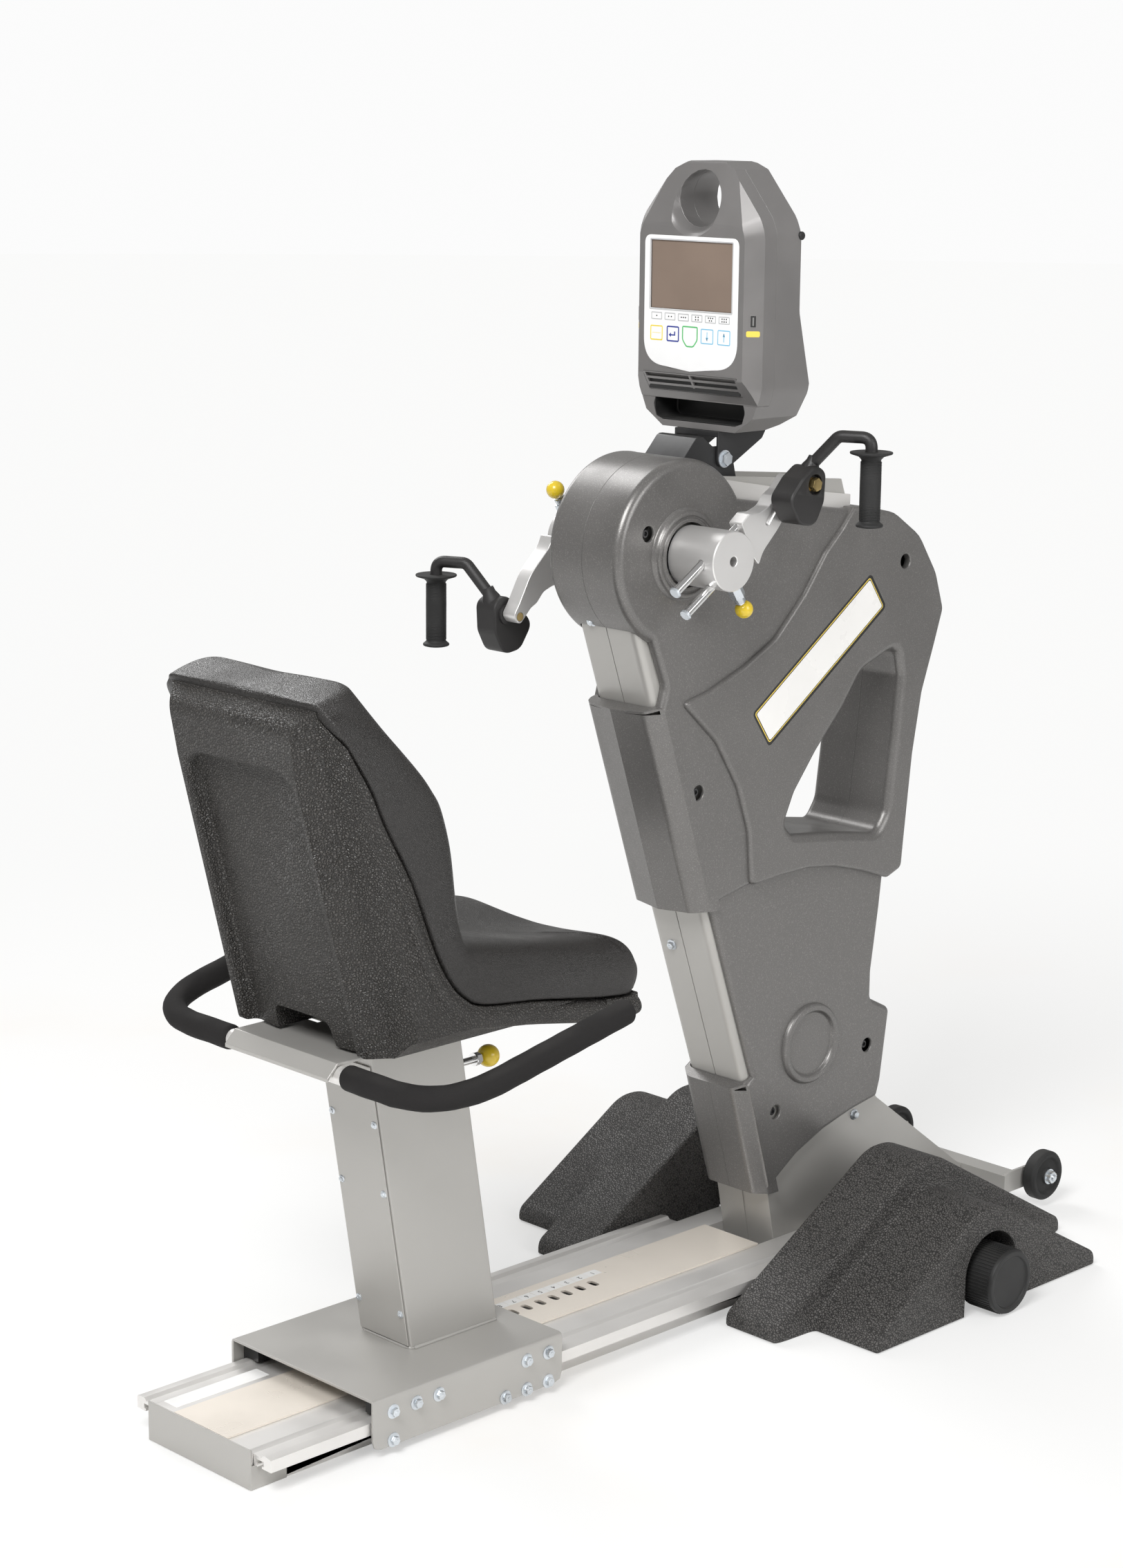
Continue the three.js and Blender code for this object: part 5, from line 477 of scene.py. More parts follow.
# For each normal of an outline's plane: where the point (u, v) lies at t, and the way back to (u, v)
PLANES = {
    "X": (lambda u, v, t: (t, u, v), "yz"),
    "Y": (lambda u, v, t: (u, t, v), "xz"),
    "Z": (lambda u, v, t: (u, v, t), "xy"),
}


def bmesh_from(data):
    made = bmesh.new()
    made.from_mesh(data)
    return made


def data_from(mesh, name="part"):
    """The mesh data of a bmesh, which is freed."""
    made = bpy.data.meshes.new(name)
    mesh.to_mesh(made)
    mesh.free()
    return made


def piece(name, mesh):
    """An object for a bmesh or a mesh, at the origin."""
    data = data_from(mesh, name) if isinstance(mesh, bmesh.types.BMesh) else mesh
    made = bpy.data.objects.new(name, data)
    bpy.context.scene.collection.objects.link(made)
    return made


def remove(obj):
    """Takes away a scratch object with its mesh."""
    data = obj.data
    bpy.data.objects.remove(obj)
    bpy.data.meshes.remove(data)


def walled(mesh, rings):
    """Joins each closed ring of vertices to the next one."""
    for low, high in zip(rings, rings[1:]):
        for i in range(len(low)):
            mesh.faces.new((low[i - 1], low[i], high[i], high[i - 1]))


def outward(mesh):
    bmesh.ops.recalc_face_normals(mesh, faces=mesh.faces)
    return mesh


def lofted(rings):
    """A skin through rings of points, closed by a face at either end."""
    mesh = bmesh.new()
    loops = [[mesh.verts.new(p * MM) for p in ring] for ring in rings]
    walled(mesh, loops)
    mesh.faces.new(loops[0])
    mesh.faces.new(loops[-1])
    return outward(mesh)


def stacked(outline, rings, plane="X", holes=(), slope=0.0):
    """A closed solid through rings (t, inset of the outline) along the plane's normal.

    A hole is inset the other way, so its rim is rounded as the outer edge is. Slope leans the outline's
    second direction with t, for a plan outline that follows the column.
    """
    mesh = bmesh.new()
    put, back = PLANES[plane]
    loops = []
    for points, sign in [(outline, 1)] + [(hole, -1) for hole in holes]:
        loop = []
        for t, shift in rings:
            moved = inset(points, sign * shift) if shift else points
            loop.append([mesh.verts.new(Vector(put(p.x, p.y + slope * t, t)) * MM) for p in moved])
        loops.append(loop)
    for loop in loops:
        walled(mesh, loop)
    for end in (0, -1):
        flat = [[Vector((*getattr(v.co, back), 0)) for v in loop[end]] for loop in loops]
        verts = [v for loop in loops for v in loop[end]]
        for face in tessellate_polygon(flat):
            try:
                mesh.faces.new([verts[i] for i in face])
            except ValueError:
                continue
    return outward(mesh)


def prism(outline, t0, t1, low=0.0, high=0.0, plane="X", holes=(), steps=5, slope=0.0):
    """A solid from t0 to t1 whose edges are rounded by low and high."""
    turns = [math.pi / 2 * k / steps for k in range(steps + 1)]
    rings = [(t0 + low * (1 - math.cos(a)), low * (1 - math.sin(a))) for a in turns[:-1] if low]
    rings += [(t0 + low, 0.0), (t1 - high, 0.0)]
    rings += [(t1 - high * (1 - math.sin(a)), high * (1 - math.cos(a))) for a in turns[1:] if high]
    return stacked(outline, rings, plane, holes, slope)


def flared(outline, t0, t1, radius, steps=5, beyond=4.0):
    """A cutter along X whose mouth at t1 widens, so that the rim it leaves is rounded."""
    turns = [math.pi / 2 * k / steps for k in range(1, steps + 1)]
    rings = [(t0, 0.0), (t1 - radius, 0.0)]
    rings += [(t1 - radius * (1 - math.sin(a)), -radius * (1 - math.cos(a))) for a in turns]
    rings.append((t1 + beyond, -radius))
    return stacked(outline, rings)


def box(x, y, z):
    return prism(
        [Vector((a, b)) for a, b in ((x[0], y[0]), (x[1], y[0]), (x[1], y[1]), (x[0], y[1]))],
        *z,
        plane="Z",
    )


def turning(axis):
    """The matrix that turns Z onto an axis."""
    return Vector(axis).to_track_quat("Z", "Y").to_matrix().to_4x4()


def placing(centre, axis=UP):
    """The matrix that moves the origin to a place in millimetres and turns Z onto an axis."""
    return Matrix.Translation(Vector(centre) * MM) @ turning(axis)


def turned(profile, centre=(0, 0, 0), axis=(1, 0, 0), sides=64):
    """A solid of revolution. The profile is (radius, distance along the axis), from end to end."""
    mesh = bmesh.new()
    rings = []
    turns = [2 * math.pi * k / sides for k in range(sides)]
    for radius, along in profile:
        reach = radius * MM
        spots = [(reach * math.cos(a), reach * math.sin(a), along * MM) for a in turns]
        rings.append([mesh.verts.new(p) for p in (spots if radius >= 1e-6 else [(0, 0, along * MM)])])
    closed = rings[0][0].co.xy.length > 1e-9 and rings[-1][0].co.xy.length > 1e-9
    pairs = list(zip(rings, rings[1:])) + ([(rings[-1], rings[0])] if closed else [])
    for low, high in pairs:
        for k in range(sides):
            a, b = (k - 1) % sides, k
            corners = []
            for ring, i in ((low, a), (low, b), (high, b), (high, a)):
                vert = ring[i if len(ring) > 1 else 0]
                if vert not in corners:
                    corners.append(vert)
            if len(corners) > 2:
                mesh.faces.new(corners)
    outward(mesh).transform(placing(centre, axis))
    return mesh


def disc(radius, low, high, centre=(0, 0, 0), axis=(1, 0, 0), sides=64):
    """A plain cylinder from low to high along the axis."""
    return turned([(0, low), (radius, low), (radius, high), (0, high)], centre, axis, sides)


def softened(profile, radius=1.0, steps=3):
    """A profile with each inner corner rounded by up to that radius."""
    made = [profile[0]]
    for before, here, after in zip(profile, profile[1:], profile[2:]):
        corner = Vector(here)
        back, ahead = Vector(before) - corner, Vector(after) - corner
        reach = min(radius, back.length * 0.45, ahead.length * 0.45)
        made += [(p.x, p.y) for p in bow(corner, back, ahead, reach, steps)]
    return made + [profile[-1]]


def smooth_path(points, steps=8):
    """Points of a curve that runs through the given ones."""
    points = [Vector(p) for p in points]
    made = []
    for i in range(len(points) - 1):
        p0 = points[i - 1] if i else points[0] * 2 - points[1]
        p1, p2 = points[i], points[i + 1]
        p3 = points[i + 2] if i + 2 < len(points) else p2 * 2 - p1
        square, cubic = 2 * p0 - 5 * p1 + 4 * p2 - p3, 3 * p1 - p0 - 3 * p2 + p3
        for t in (k / steps for k in range(steps)):
            made.append(0.5 * (2 * p1 + (p2 - p0) * t + square * t * t + cubic * t**3))
    return made + [points[-1]]


def bent_path(points, radius, steps=10):
    """A path of straight runs whose corners are bent to that radius."""
    points = [Vector(p) for p in points]
    made = [points[0]]
    for before, here, after in zip(points, points[1:], points[2:]):
        back, ahead = before - here, after - here
        reach = min(radius / math.tan(back.angle(ahead) / 2), back.length * 0.49, ahead.length * 0.49)
        made += bow(here, back, ahead, reach, steps)
    return made + [points[-1]]


def tube(path, radius, sides=24, rounding=0.0):
    """A tube along a path with closed ends. Radius is a number or a function of the share along it."""
    mesh = bmesh.new()
    points = [Vector(p) for p in path]
    reach = [0.0]
    for a, b in zip(points, points[1:]):
        reach.append(reach[-1] + (b - a).length)
    sized = radius if callable(radius) else lambda share: radius
    rows = [(p, sized(d / reach[-1])) for p, d in zip(points, reach)]
    turns = [math.pi / 2 * k / 4 for k in range(1, 5)]
    for end in (0, -1) if rounding else ():
        p, r = rows[end]
        out = (p - rows[1 if end == 0 else -2][0]).normalized()
        rows[end] = (p - out * rounding, r)
        caps = [
            (p - out * rounding * (1 - math.sin(a)), r - rounding * (1 - math.cos(a))) for a in turns
        ]
        rows = caps[::-1] + rows if end == 0 else rows + caps
    side = None
    rings = []
    turns = [2 * math.pi * k / sides for k in range(sides)]
    for i, (p, r) in enumerate(rows):
        ahead = rows[min(i + 1, len(rows) - 1)][0] - rows[max(i - 1, 0)][0]
        ahead = ahead.normalized() if ahead.length > 1e-9 else last
        last = ahead
        side = ahead.orthogonal() if side is None else side - ahead * side.dot(ahead)
        side.normalize()
        other = ahead.cross(side)
        rings.append(
            [mesh.verts.new((p + (side * math.cos(a) + other * math.sin(a)) * r) * MM) for a in turns]
        )
    walled(mesh, rings)
    mesh.faces.new(rings[0][::-1])
    mesh.faces.new(rings[-1])
    return outward(mesh)


def gathered(*meshes):
    """One bmesh that holds them all."""
    made = bmesh.new()
    for one in meshes:
        kept = data_from(one)
        made.from_mesh(kept)
        bpy.data.meshes.remove(kept)
    return made


# Pieces


def shaped(obj):
    """The object with its modifiers made part of its mesh."""
    made = bpy.data.meshes.new_from_object(obj.evaluated_get(bpy.context.evaluated_depsgraph_get()))
    old = obj.data
    obj.modifiers.clear()
    obj.data = made
    bpy.data.meshes.remove(old)
    return obj


def combined(body, tools, operation="DIFFERENCE"):
    """Cuts the tools out of a piece, or adds them to it."""
    kept = [piece("tool", tool) for tool in tools]
    for tool in kept:
        step = body.modifiers.new("cut", "BOOLEAN")
        step.operation, step.solver, step.object = operation, "MANIFOLD", tool
    shaped(body)
    for tool in kept:
        remove(tool)
    return body


def eased(obj, width, angle=30, segments=2):
    """Rounds the sharp edges of a piece."""
    step = obj.modifiers.new("ease", "BEVEL")
    step.width, step.segments, step.limit_method = width * MM, segments, "ANGLE"
    step.angle_limit, step.use_clamp_overlap, step.harden_normals = math.radians(angle), True, False
    return shaped(obj)


def shaded(obj, angle=40):
    """Smooth shading but for edges sharper than that angle."""
    for face in obj.data.polygons:
        face.use_smooth = True
    obj.data.set_sharp_from_angle(angle=math.radians(angle))
    return obj


def carried(obj, body):
    """Puts a piece on its body."""
    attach(obj, body)
    return obj


def settled(obj, finish_name, body, stands_for="", angle=35):
    """Smooth shading, finish and body for a piece whose shape is done."""
    shaded(obj, angle)
    step = obj.modifiers.new("shade", "WEIGHTED_NORMAL")
    step.keep_sharp, step.weight = True, 60
    shaped(obj)
    obj.data.materials.clear()
    obj.data.materials.append(finish(finish_name))
    carried(obj, body)
    if stands_for:
        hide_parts(stands_for)
    return obj


def reflected(obj, name, matrix):
    """A copy of a piece moved by a matrix that swaps left and right."""
    mesh = bmesh_from(obj.data)
    mesh.transform(matrix)
    bmesh.ops.reverse_faces(mesh, faces=mesh.faces)
    return piece(name, mesh)


def mirrored(obj, name):
    """A copy of a right piece on the left."""
    return reflected(obj, name, Matrix.Scale(-1, 4, (1, 0, 0)))


def paired(right, copied, finish_name, body, stands_for="", angle=35):
    """Settles a right piece and its left copy, whose name, body and node say left for right."""
    left = copied(right, right.name.replace("right", "left"))
    settled(right, finish_name, body, stands_for, angle)
    settled(
        left, finish_name, body.replace("right", "left"), stands_for.replace("right", "left"), angle
    )


def refined(node, finish_name, ease=0.8, angle=30, segments=2, tools=()):
    """A merged copy of a CAD node with eased edges and cuts, which stands for it."""
    source = NODES[node]
    mesh = bmesh_from(source.data)
    bmesh.ops.remove_doubles(mesh, verts=mesh.verts, dist=MERGE_DISTANCE)
    bmesh.ops.dissolve_limit(mesh, angle_limit=FLAT_ENOUGH, verts=mesh.verts, edges=mesh.edges)
    made = piece(node + "_body", mesh)
    if tools:
        combined(made, tools)
    eased(made, ease, angle, segments)
    return settled(made, finish_name, source["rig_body"], node)


def repainted(*nodes, with_finish):
    """CAD nodes that keep their shape and get a finish."""
    for node in nodes:
        for slot in NODES[node].material_slots:
            slot.material = finish(with_finish)


# Tower

TOWER_LENGTH, TOWER_HEIGHT, HEAD_RADIUS = 572, 1262, 133
AXIS = (-0.25, TOWER_HEIGHT - HEAD_RADIUS)
SHELL_HALF, BAND_HALF, LOWER_HALF = 70, 77, 65.4
SEAM_HALF = 0.15
SHELL_WALL = 4
PAST_MIDDLE = -9
BADGE_DEPTH = 2.2
SCREW_WELL_RADIUS = 11
LOWER_SHELL_TOP = 648


def tower(*shares):
    """Corners in millimetres, from shares of the length and of the height, and a radius."""
    return [
        (AXIS[0] + y * TOWER_LENGTH, z * TOWER_HEIGHT, *(r * TOWER_LENGTH for r in radius))
        for y, z, *radius in shares
    ]


UPPER = tower(
    (-0.192, 0.856), (-0.103, 0.802, 0.026), (-0.054, 0.748, 0.035), (-0.068, 0.726), (-0.128, 0.72),
    (0.054, 0.475), (0.133, 0.484, 0.05), (0.271, 0.497, 0.105), (0.372, 0.501, 0.105),
    (0.476, 0.502, 0.105), (0.58, 0.496, 0.105), (0.689, 0.483, 0.105), (0.804, 0.465, 0.021),
    (0.86, 0.474, 0.024), (0.867, 0.507, 0.07), (0.892, 0.613, 0.105), (0.923, 0.688, 0.105),
    (0.969, 0.745, 0.105), (1.0, 0.786, 0.035), (0.965, 0.832, 0.105), (0.892, 0.88, 0.105),
    (0.787, 0.911, 0.105), (0.664, 0.923, 0.07), (0.601, 0.922, 0.07), (0.257, 0.944, 0.105),
    (0.017, 0.961, 0.014), (-0.035, 0.988), (-0.14, 0.951),
)
BAND = tower(
    (-0.005, 0.727, 0.014), (0.089, 0.736, 0.105), (0.217, 0.758, 0.105), (0.33, 0.784, 0.105),
    (0.435, 0.83, 0.105), (0.516, 0.877, 0.105), (0.573, 0.9, 0.052), (0.62, 0.9235),
    (0.664, 0.923, 0.07), (0.787, 0.911, 0.105), (0.892, 0.88, 0.105), (0.965, 0.832, 0.105),
    (1.0, 0.786, 0.035), (0.969, 0.745, 0.105), (0.923, 0.688, 0.105), (0.892, 0.613, 0.105),
    (0.867, 0.507, 0.07), (0.86, 0.474, 0.024), (0.804, 0.465, 0.021), (0.689, 0.483, 0.105),
    (0.58, 0.496, 0.105), (0.476, 0.502, 0.105), (0.372, 0.501, 0.105), (0.26, 0.497, 0.02),
    (0.247, 0.562, 0.105), (0.203, 0.617, 0.105), (0.121, 0.675, 0.105),
)
WINDOW = tower(
    (0.813, 0.749, 0.038), (0.675, 0.727, 0.07), (0.605, 0.686, 0.105), (0.503, 0.639, 0.105),
    (0.425, 0.596, 0.07), (0.388, 0.561, 0.024), (0.42, 0.547, 0.021), (0.594, 0.537, 0.14),
    (0.755, 0.525, 0.038), (0.79, 0.547, 0.052), (0.815, 0.634, 0.14), (0.832, 0.713, 0.052),
)
LOWER = tower(
    (0.105, 0.5135), (0.133, 0.476), (0.304, 0.259), (0.257, 0.246), (0.35, 0.104, 0.035),
    (0.486, 0.144, 0.105), (0.594, 0.164, 0.105), (0.705, 0.177, 0.105), (0.813, 0.185, 0.017),
    (0.827, 0.206, 0.035), (0.855, 0.295, 0.024), (0.773, 0.314, 0.021), (0.773, 0.349, 0.052),
    (0.799, 0.428), (0.811, 0.475), (0.818, 0.5135),
)
FOOT = tower(
    (0.358, 0.19), (0.437, 0.011), (0.874, 0.011), (1.217, 0.037), (1.22, 0.049),
    (0.836, 0.179, 0.017), (0.815, 0.19),
)
HEAD_PLATE = tower(
    (-0.14, 0.835), (-0.14, 0.895, 0.052), (-0.07, 0.945, 0.035), (0.017, 0.98), (0.615, 0.955),
    (0.665, 0.895, 0.03), (0.7, 0.784, 0.07), (0.524, 0.765, 0.052), (0.12, 0.79, 0.052),
)
DECK = [p[:2] for p in tower((0.019, 0.982), (0.346, 0.956), (0.647, 0.936))]
UPPER_SCREWS = [p[:2] for p in tower((-0.128, 0.922), (0.066, 0.62))]
LOWER_SCREWS = [p[:2] for p in tower((0.395, 0.207), (0.76, 0.256))]
PLAIN_HOLE = tower((0.832, 0.851))[0]
RING = tower((0.524, 0.281))[0]
BADGE = tower((0.502, 0.7505))[0]
BADGE_ANGLE = math.radians(35)

(COLUMN_TOP_Y, COLUMN_TOP_Z), (COLUMN_LOW_Y, COLUMN_LOW_Z) = tower((-0.157, 0.828), (0.397, 0.106))
COLUMN_SLOPE = (COLUMN_TOP_Y - COLUMN_LOW_Y) / (COLUMN_TOP_Z - COLUMN_LOW_Z)
COLUMN_DEPTH, COLUMN_HALF, COLUMN_CORNER, COLUMN_WALL = 175, 56, 13, 4.4


def column_front(height):
    return COLUMN_LOW_Y + (height - COLUMN_LOW_Z) * COLUMN_SLOPE


def column_space(grown, low, high):
    """A leaning solid round the column, to cut from what surrounds it."""
    front = column_front(0) - grown
    half = COLUMN_HALF + grown
    outline = rectangle(-half, half, front, front + COLUMN_DEPTH + 2 * grown, COLUMN_CORNER)
    return prism(outline, low, high, plane="Z", slope=COLUMN_SLOPE)


class Front:
    """A chamfered front wall that leans from its low point to its high one."""

    def __init__(self, low, high, half, flat, depth, shoulder=0.0):
        """Half its width and flat part, the chamfer's depth and the step back of the flat's edge."""
        self.low, self.high = low, high
        self.half, self.flat, self.depth, self.shoulder = half, flat, depth, shoulder
        self.slope = (high[0] - low[0]) / (high[1] - low[1])

    def plan(self, wall=0.0):
        """Half of the front in plan, at height 0, moved in by the wall's thickness."""
        front = self.low[0] + wall - self.low[1] * self.slope
        return [
            (0, front),
            (self.flat - wall, front + self.shoulder, 16),
            (self.half - wall, front + self.depth, 12),
        ]

    def space(self):
        """What the chamfers leave of the blunt outline."""
        front = self.plan()[0][1]
        side = [*self.plan(), (self.half + 20, front + self.depth), (self.half + 20, front - 60)]
        outline = rounded(side + [(-x, *rest) for x, *rest in side[:0:-1]])
        return prism(outline, self.low[1] - 12, self.high[1] + 25, plane="Z", slope=self.slope)

    def wall(self):
        """The right half of the wall behind the chamfer."""
        outer, inner = self.plan(), self.plan(SHELL_WALL)
        back = outer[0][1] + self.depth + 18
        outline = [
            (SEAM_HALF, outer[0][1]), *outer[1:], (self.half, back), (self.half - SHELL_WALL, back)
        ]
        outline += inner[:0:-1] + [(SEAM_HALF, inner[0][1])]
        return prism(rounded(outline), self.low[1] + 2, self.high[1] - 3, plane="Z", slope=self.slope)


COLLAR = [
    (0, 30), (67, 30), (67, 70), (62, 74), (60, 79), (55.5, 79.5), (54, 77), (52, 76.6), (50.5, 79),
    (0, 79),
]
COWL = Front(UPPER[5], UPPER[4], SHELL_HALF, 56, 42, 11)
FOOT_WRAP = Front(LOWER[4], LOWER[3], LOWER_HALF, 44, 20)


def deck_band(low, high, overrun=0.0):
    first, last = DECK[0], DECK[-1]
    top = [(first[0] - overrun, first[1]), *DECK, (last[0] + overrun, last[1])] if overrun else DECK
    return rounded([(y, z + high) for y, z in top] + [(y, z + low) for y, z in top[::-1]])


def badge_outline(grown, corner):
    half, wide = 156 + grown, 33 + grown
    spin = Matrix.Rotation(BADGE_ANGLE, 2)
    return [spin @ p + Vector(BADGE[:2]) for p in rectangle(-half, half, -wide, wide, corner)]


def screw_wells(places, surface):
    """Cutters for the recessed screws, with rounded mouths."""
    return [
        flared(circle(*place, SCREW_WELL_RADIUS, 40), surface - 9, surface, 1.6) for place in places
    ]


class Maker(bpy.types.Operator):
    """Builds one group of like pieces."""

    bl_options = {"REGISTER", "UNDO"}

    def execute(self, context):
        self.make()
        return {"FINISHED"}


class ERGOMETER_OT_upper_shells(Maker):
    """Moulded upper shells: head, raised band with the window, and the cowl round the column"""

    bl_idname = "ergometer.upper_shells"
    bl_label = "Upper shells"

    def make(self):
        blank = prism(rounded(UPPER), SEAM_HALF, SHELL_HALF, 0.5, 9, steps=6)
        right = piece("upper_shell_right_skin", blank)
        combined(right, [COWL.space()])
        head = prism(circle(*AXIS, HEAD_RADIUS, 128), SEAM_HALF, SHELL_HALF, 0.5, 13, steps=8)
        band = prism(rounded(BAND), SEAM_HALF, BAND_HALF, 0.5, 6.2, steps=6)
        collar = turned(softened(COLLAR, 3, 5), (0, *AXIS), sides=96)
        combined(right, [head, band, collar], "UNION")
        cavity = inset(rounded(UPPER, 0.4), SHELL_WALL)
        window_rim = inset(rounded(WINDOW, 0.4), -SHELL_WALL)
        combined(
            right,
            [
                stacked(cavity, [(PAST_MIDDLE, 0), (SHELL_HALF - SHELL_WALL, 0)], holes=[window_rim]),
                disc(125, PAST_MIDDLE, 62, (0, *AXIS), sides=96),
                column_space(1.2, 240, 1080),
                stacked(deck_band(-44.2, 66, 0.3), [(PAST_MIDDLE, 0), (55.3, 0)]),
                stacked(inset(rounded(LOWER), -0.6), [(PAST_MIDDLE, 0), (LOWER_HALF + 0.3, 0)]),
                disc(46, PAST_MIDDLE, 90, (0, *AXIS)),
                flared(rounded(WINDOW), PAST_MIDDLE, BAND_HALF, 14, steps=7),
                flared(circle(*PLAIN_HOLE[:2], 11, 40), PAST_MIDDLE, BAND_HALF, 2),
                stacked(badge_outline(0, 8), [(BAND_HALF - BADGE_DEPTH, 0), (90, 0)]),
                *screw_wells(UPPER_SCREWS, SHELL_HALF),
            ],
        )
        combined(right, [COWL.wall()], "UNION")
        paired(right, mirrored, "shell_paint", "base", "upper_shell_right", 30)


class ERGOMETER_OT_lower_shells(Maker):
    """Moulded lower shells with their ring emboss and flared foot"""

    bl_idname = "ergometer.lower_shells"
    bl_label = "Lower shells"

    def make(self):
        half = LOWER_HALF
        blank = prism(rounded(LOWER), SEAM_HALF, half, 0.5, 8, steps=6)
        right = piece("lower_shell_right_skin", blank)
        combined(right, [FOOT_WRAP.space()])
        rim = [(61, half + 6.5), (51, half + 6.5), (48.5, half + 1), (0, half + 1)]
        ring = softened([(0, 50), (63, 50), (63, half), *rim], 3.2, 5)
        combined(right, [turned(ring, (0, *RING[:2]), sides=96)], "UNION")
        low = LOWER_SHELL_TOP - 16
        combined(
            right,
            [
                stacked(
                    inset(rounded(LOWER, 0.4), SHELL_WALL), [(PAST_MIDDLE, 0), (half - SHELL_WALL, 0)]
                ),
                box(
                    (PAST_MIDDLE, half - SHELL_WALL),
                    (column_front(low) + 10, column_front(low) + 350),
                    (low, LOWER_SHELL_TOP + 12),
                ),
                column_space(1.2, 100, 700),
                stacked(inset(rounded(FOOT, 0.5), -1.2), [(PAST_MIDDLE, 0), (53.7, 0)]),
                *screw_wells(LOWER_SCREWS, half),
            ],
        )
        combined(right, [FOOT_WRAP.wall()], "UNION")
        paired(right, mirrored, "shell_paint", "base", "lower_shell_right", 30)


class ERGOMETER_OT_badges(Maker):
    """Bare plates in the badge places, with a black surround and a thin yellow line"""

    bl_idname = "ergometer.badges"
    bl_label = "Badge plates"

    def make(self):
        floor = BAND_HALF - BADGE_DEPTH
        layers = [
            ("frame", "print_black", -0.3, 7.6, 0, 1.5),
            ("rule", "badge_line", -4.2, 5, 1.5, 1.75),
            ("ground", "print_black", -5.6, 4.2, 1.75, 1.85),
            ("plate", "badge_face", -7.0, 3.6, 1.85, 2.1),
        ]
        for name, tone, grown, corner, low, high in layers:
            layer = prism(badge_outline(grown, corner), floor + low, floor + high, 0, 0.1, steps=2)
            paired(piece("badge_" + name + "_right", layer), mirrored, tone, "base")


class ERGOMETER_OT_tower_frame(Maker):
    """Column with its seam, foot, head plates and deck"""

    bl_idname = "ergometer.tower_frame"
    bl_label = "Tower frame"

    def make(self):
        front = column_front(0)
        outline = rectangle(-COLUMN_HALF, COLUMN_HALF, front, front + COLUMN_DEPTH, COLUMN_CORNER)
        seam = rectangle(-0.8, 0.8, front - 4, front + 2)
        bore = inset(outline, COLUMN_WALL)
        skin = prism(outline, 240.5, 1075, plane="Z", slope=COLUMN_SLOPE, holes=[bore])
        column = piece("column_tube", skin)
        shaft, rotor = circle(*AXIS, 15.3), circle(339.5, 1055, 8.3, 32)
        plates = [
            stacked(
                rounded(HEAD_PLATE), [(t, 0), (t + 6, 0)], holes=[shaft, rotor]
            ) for t in (45.8, -51.8)
        ]
        combined(column, [prism(seam, 200, 1100, plane="Z", slope=COLUMN_SLOPE)])
        combined(column, [stacked(deck_band(-3.3, 133, 133), [(-60, 0), (60, 0)])])
        column.data = data_from(gathered(bmesh_from(column.data), *plates))
        settled(column, "silver_paint", "base", "column", angle=25)
        refined("foot", "silver_paint", 1.2, 25, 3)
        refined("top_deck", "extruded", 0.8, 30, 2)


# Repeated pieces by Geometry Nodes


def close_tree(tree, start, end, instances):
    """Realises the instances and gives them their finish."""
    real = tree.node("GeometryNodeRealizeInstances", {"Geometry": instances})
    inputs = {"Geometry": real.outputs[0], "Material": start["Finish"]}
    tree.feed(end["Geometry"], tree.node("GeometryNodeSetMaterial", inputs).outputs[0])


@shared(
    "Fasteners on points",
    "GeometryNodeTree",
    [
        ("Points", GEOMETRY),
        ("Pattern", OBJECT),
        ("Largest Turn", FLOAT, 1.0),
        ("Seed", WHOLE, 4),
        ("Finish", MATERIAL),
    ],
    [("Geometry", GEOMETRY)],
)
def fastener_tree(tree, start, end):
    """Puts one pattern on every point, faced as the point says and turned at random about its axis."""
    facing = tree.node("GeometryNodeInputNamedAttribute", {"Name": "facing"}, data_type="FLOAT_VECTOR")
    aim = tree.node("FunctionNodeAlignRotationToVector", {"Vector": facing.outputs[0]}, axis="Z")
    chance = tree.node(
        "FunctionNodeRandomValue", {3: start["Largest Turn"], "Seed": start["Seed"]}, data_type="FLOAT"
    )
    spin = tree.node("FunctionNodeAxisAngleToRotation", {"Axis": UP, "Angle": chance.outputs[1]})
    turns = {"Rotation": aim.outputs[0], "Rotate By": spin.outputs[0]}
    both = tree.node("FunctionNodeRotateRotation", turns, rotation_space="LOCAL")
    shape = tree.node(
        "GeometryNodeObjectInfo", {"Object": start["Pattern"]}, transform_space="ORIGINAL"
    )
    inputs = {
        "Points": start["Points"], "Instance": shape.outputs["Geometry"], "Rotation": both.outputs[0]
    }
    close_tree(tree, start, end, tree.node("GeometryNodeInstanceOnPoints", inputs).outputs[0])


@shared(
    "Ribs in a row",
    "GeometryNodeTree",
    [
        ("Count", WHOLE, 30),
        ("Pitch", VECTOR, (0, 0, 0.002)),
        ("Start", VECTOR, (0, 0, 0)),
        ("Ring Radius", FLOAT, 0.014),
        ("Rib Radius", FLOAT, 0.001),
        ("Finish", MATERIAL),
    ],
    [("Geometry", GEOMETRY)],
)
def rib_tree(tree, start, end):
    """Rings in a row: ribs round a straight grip."""
    row = {"Count": start["Count"], "Start Location": start["Start"], "Offset": start["Pitch"]}
    line = tree.node("GeometryNodeMeshLine", row, mode="OFFSET")
    ring, rib = (
        tree.node("GeometryNodeCurvePrimitiveCircle", {"Resolution": sides, "Radius": start[radius]})
        for sides, radius in ((40, "Ring Radius"), (6, "Rib Radius"))
    )
    skin = tree.node(
        "GeometryNodeCurveToMesh", {"Curve": ring.outputs[0], "Profile Curve": rib.outputs[0]}
    )
    inputs = {"Points": line.outputs[0], "Instance": skin.outputs[0]}
    close_tree(tree, start, end, tree.node("GeometryNodeInstanceOnPoints", inputs).outputs[0])


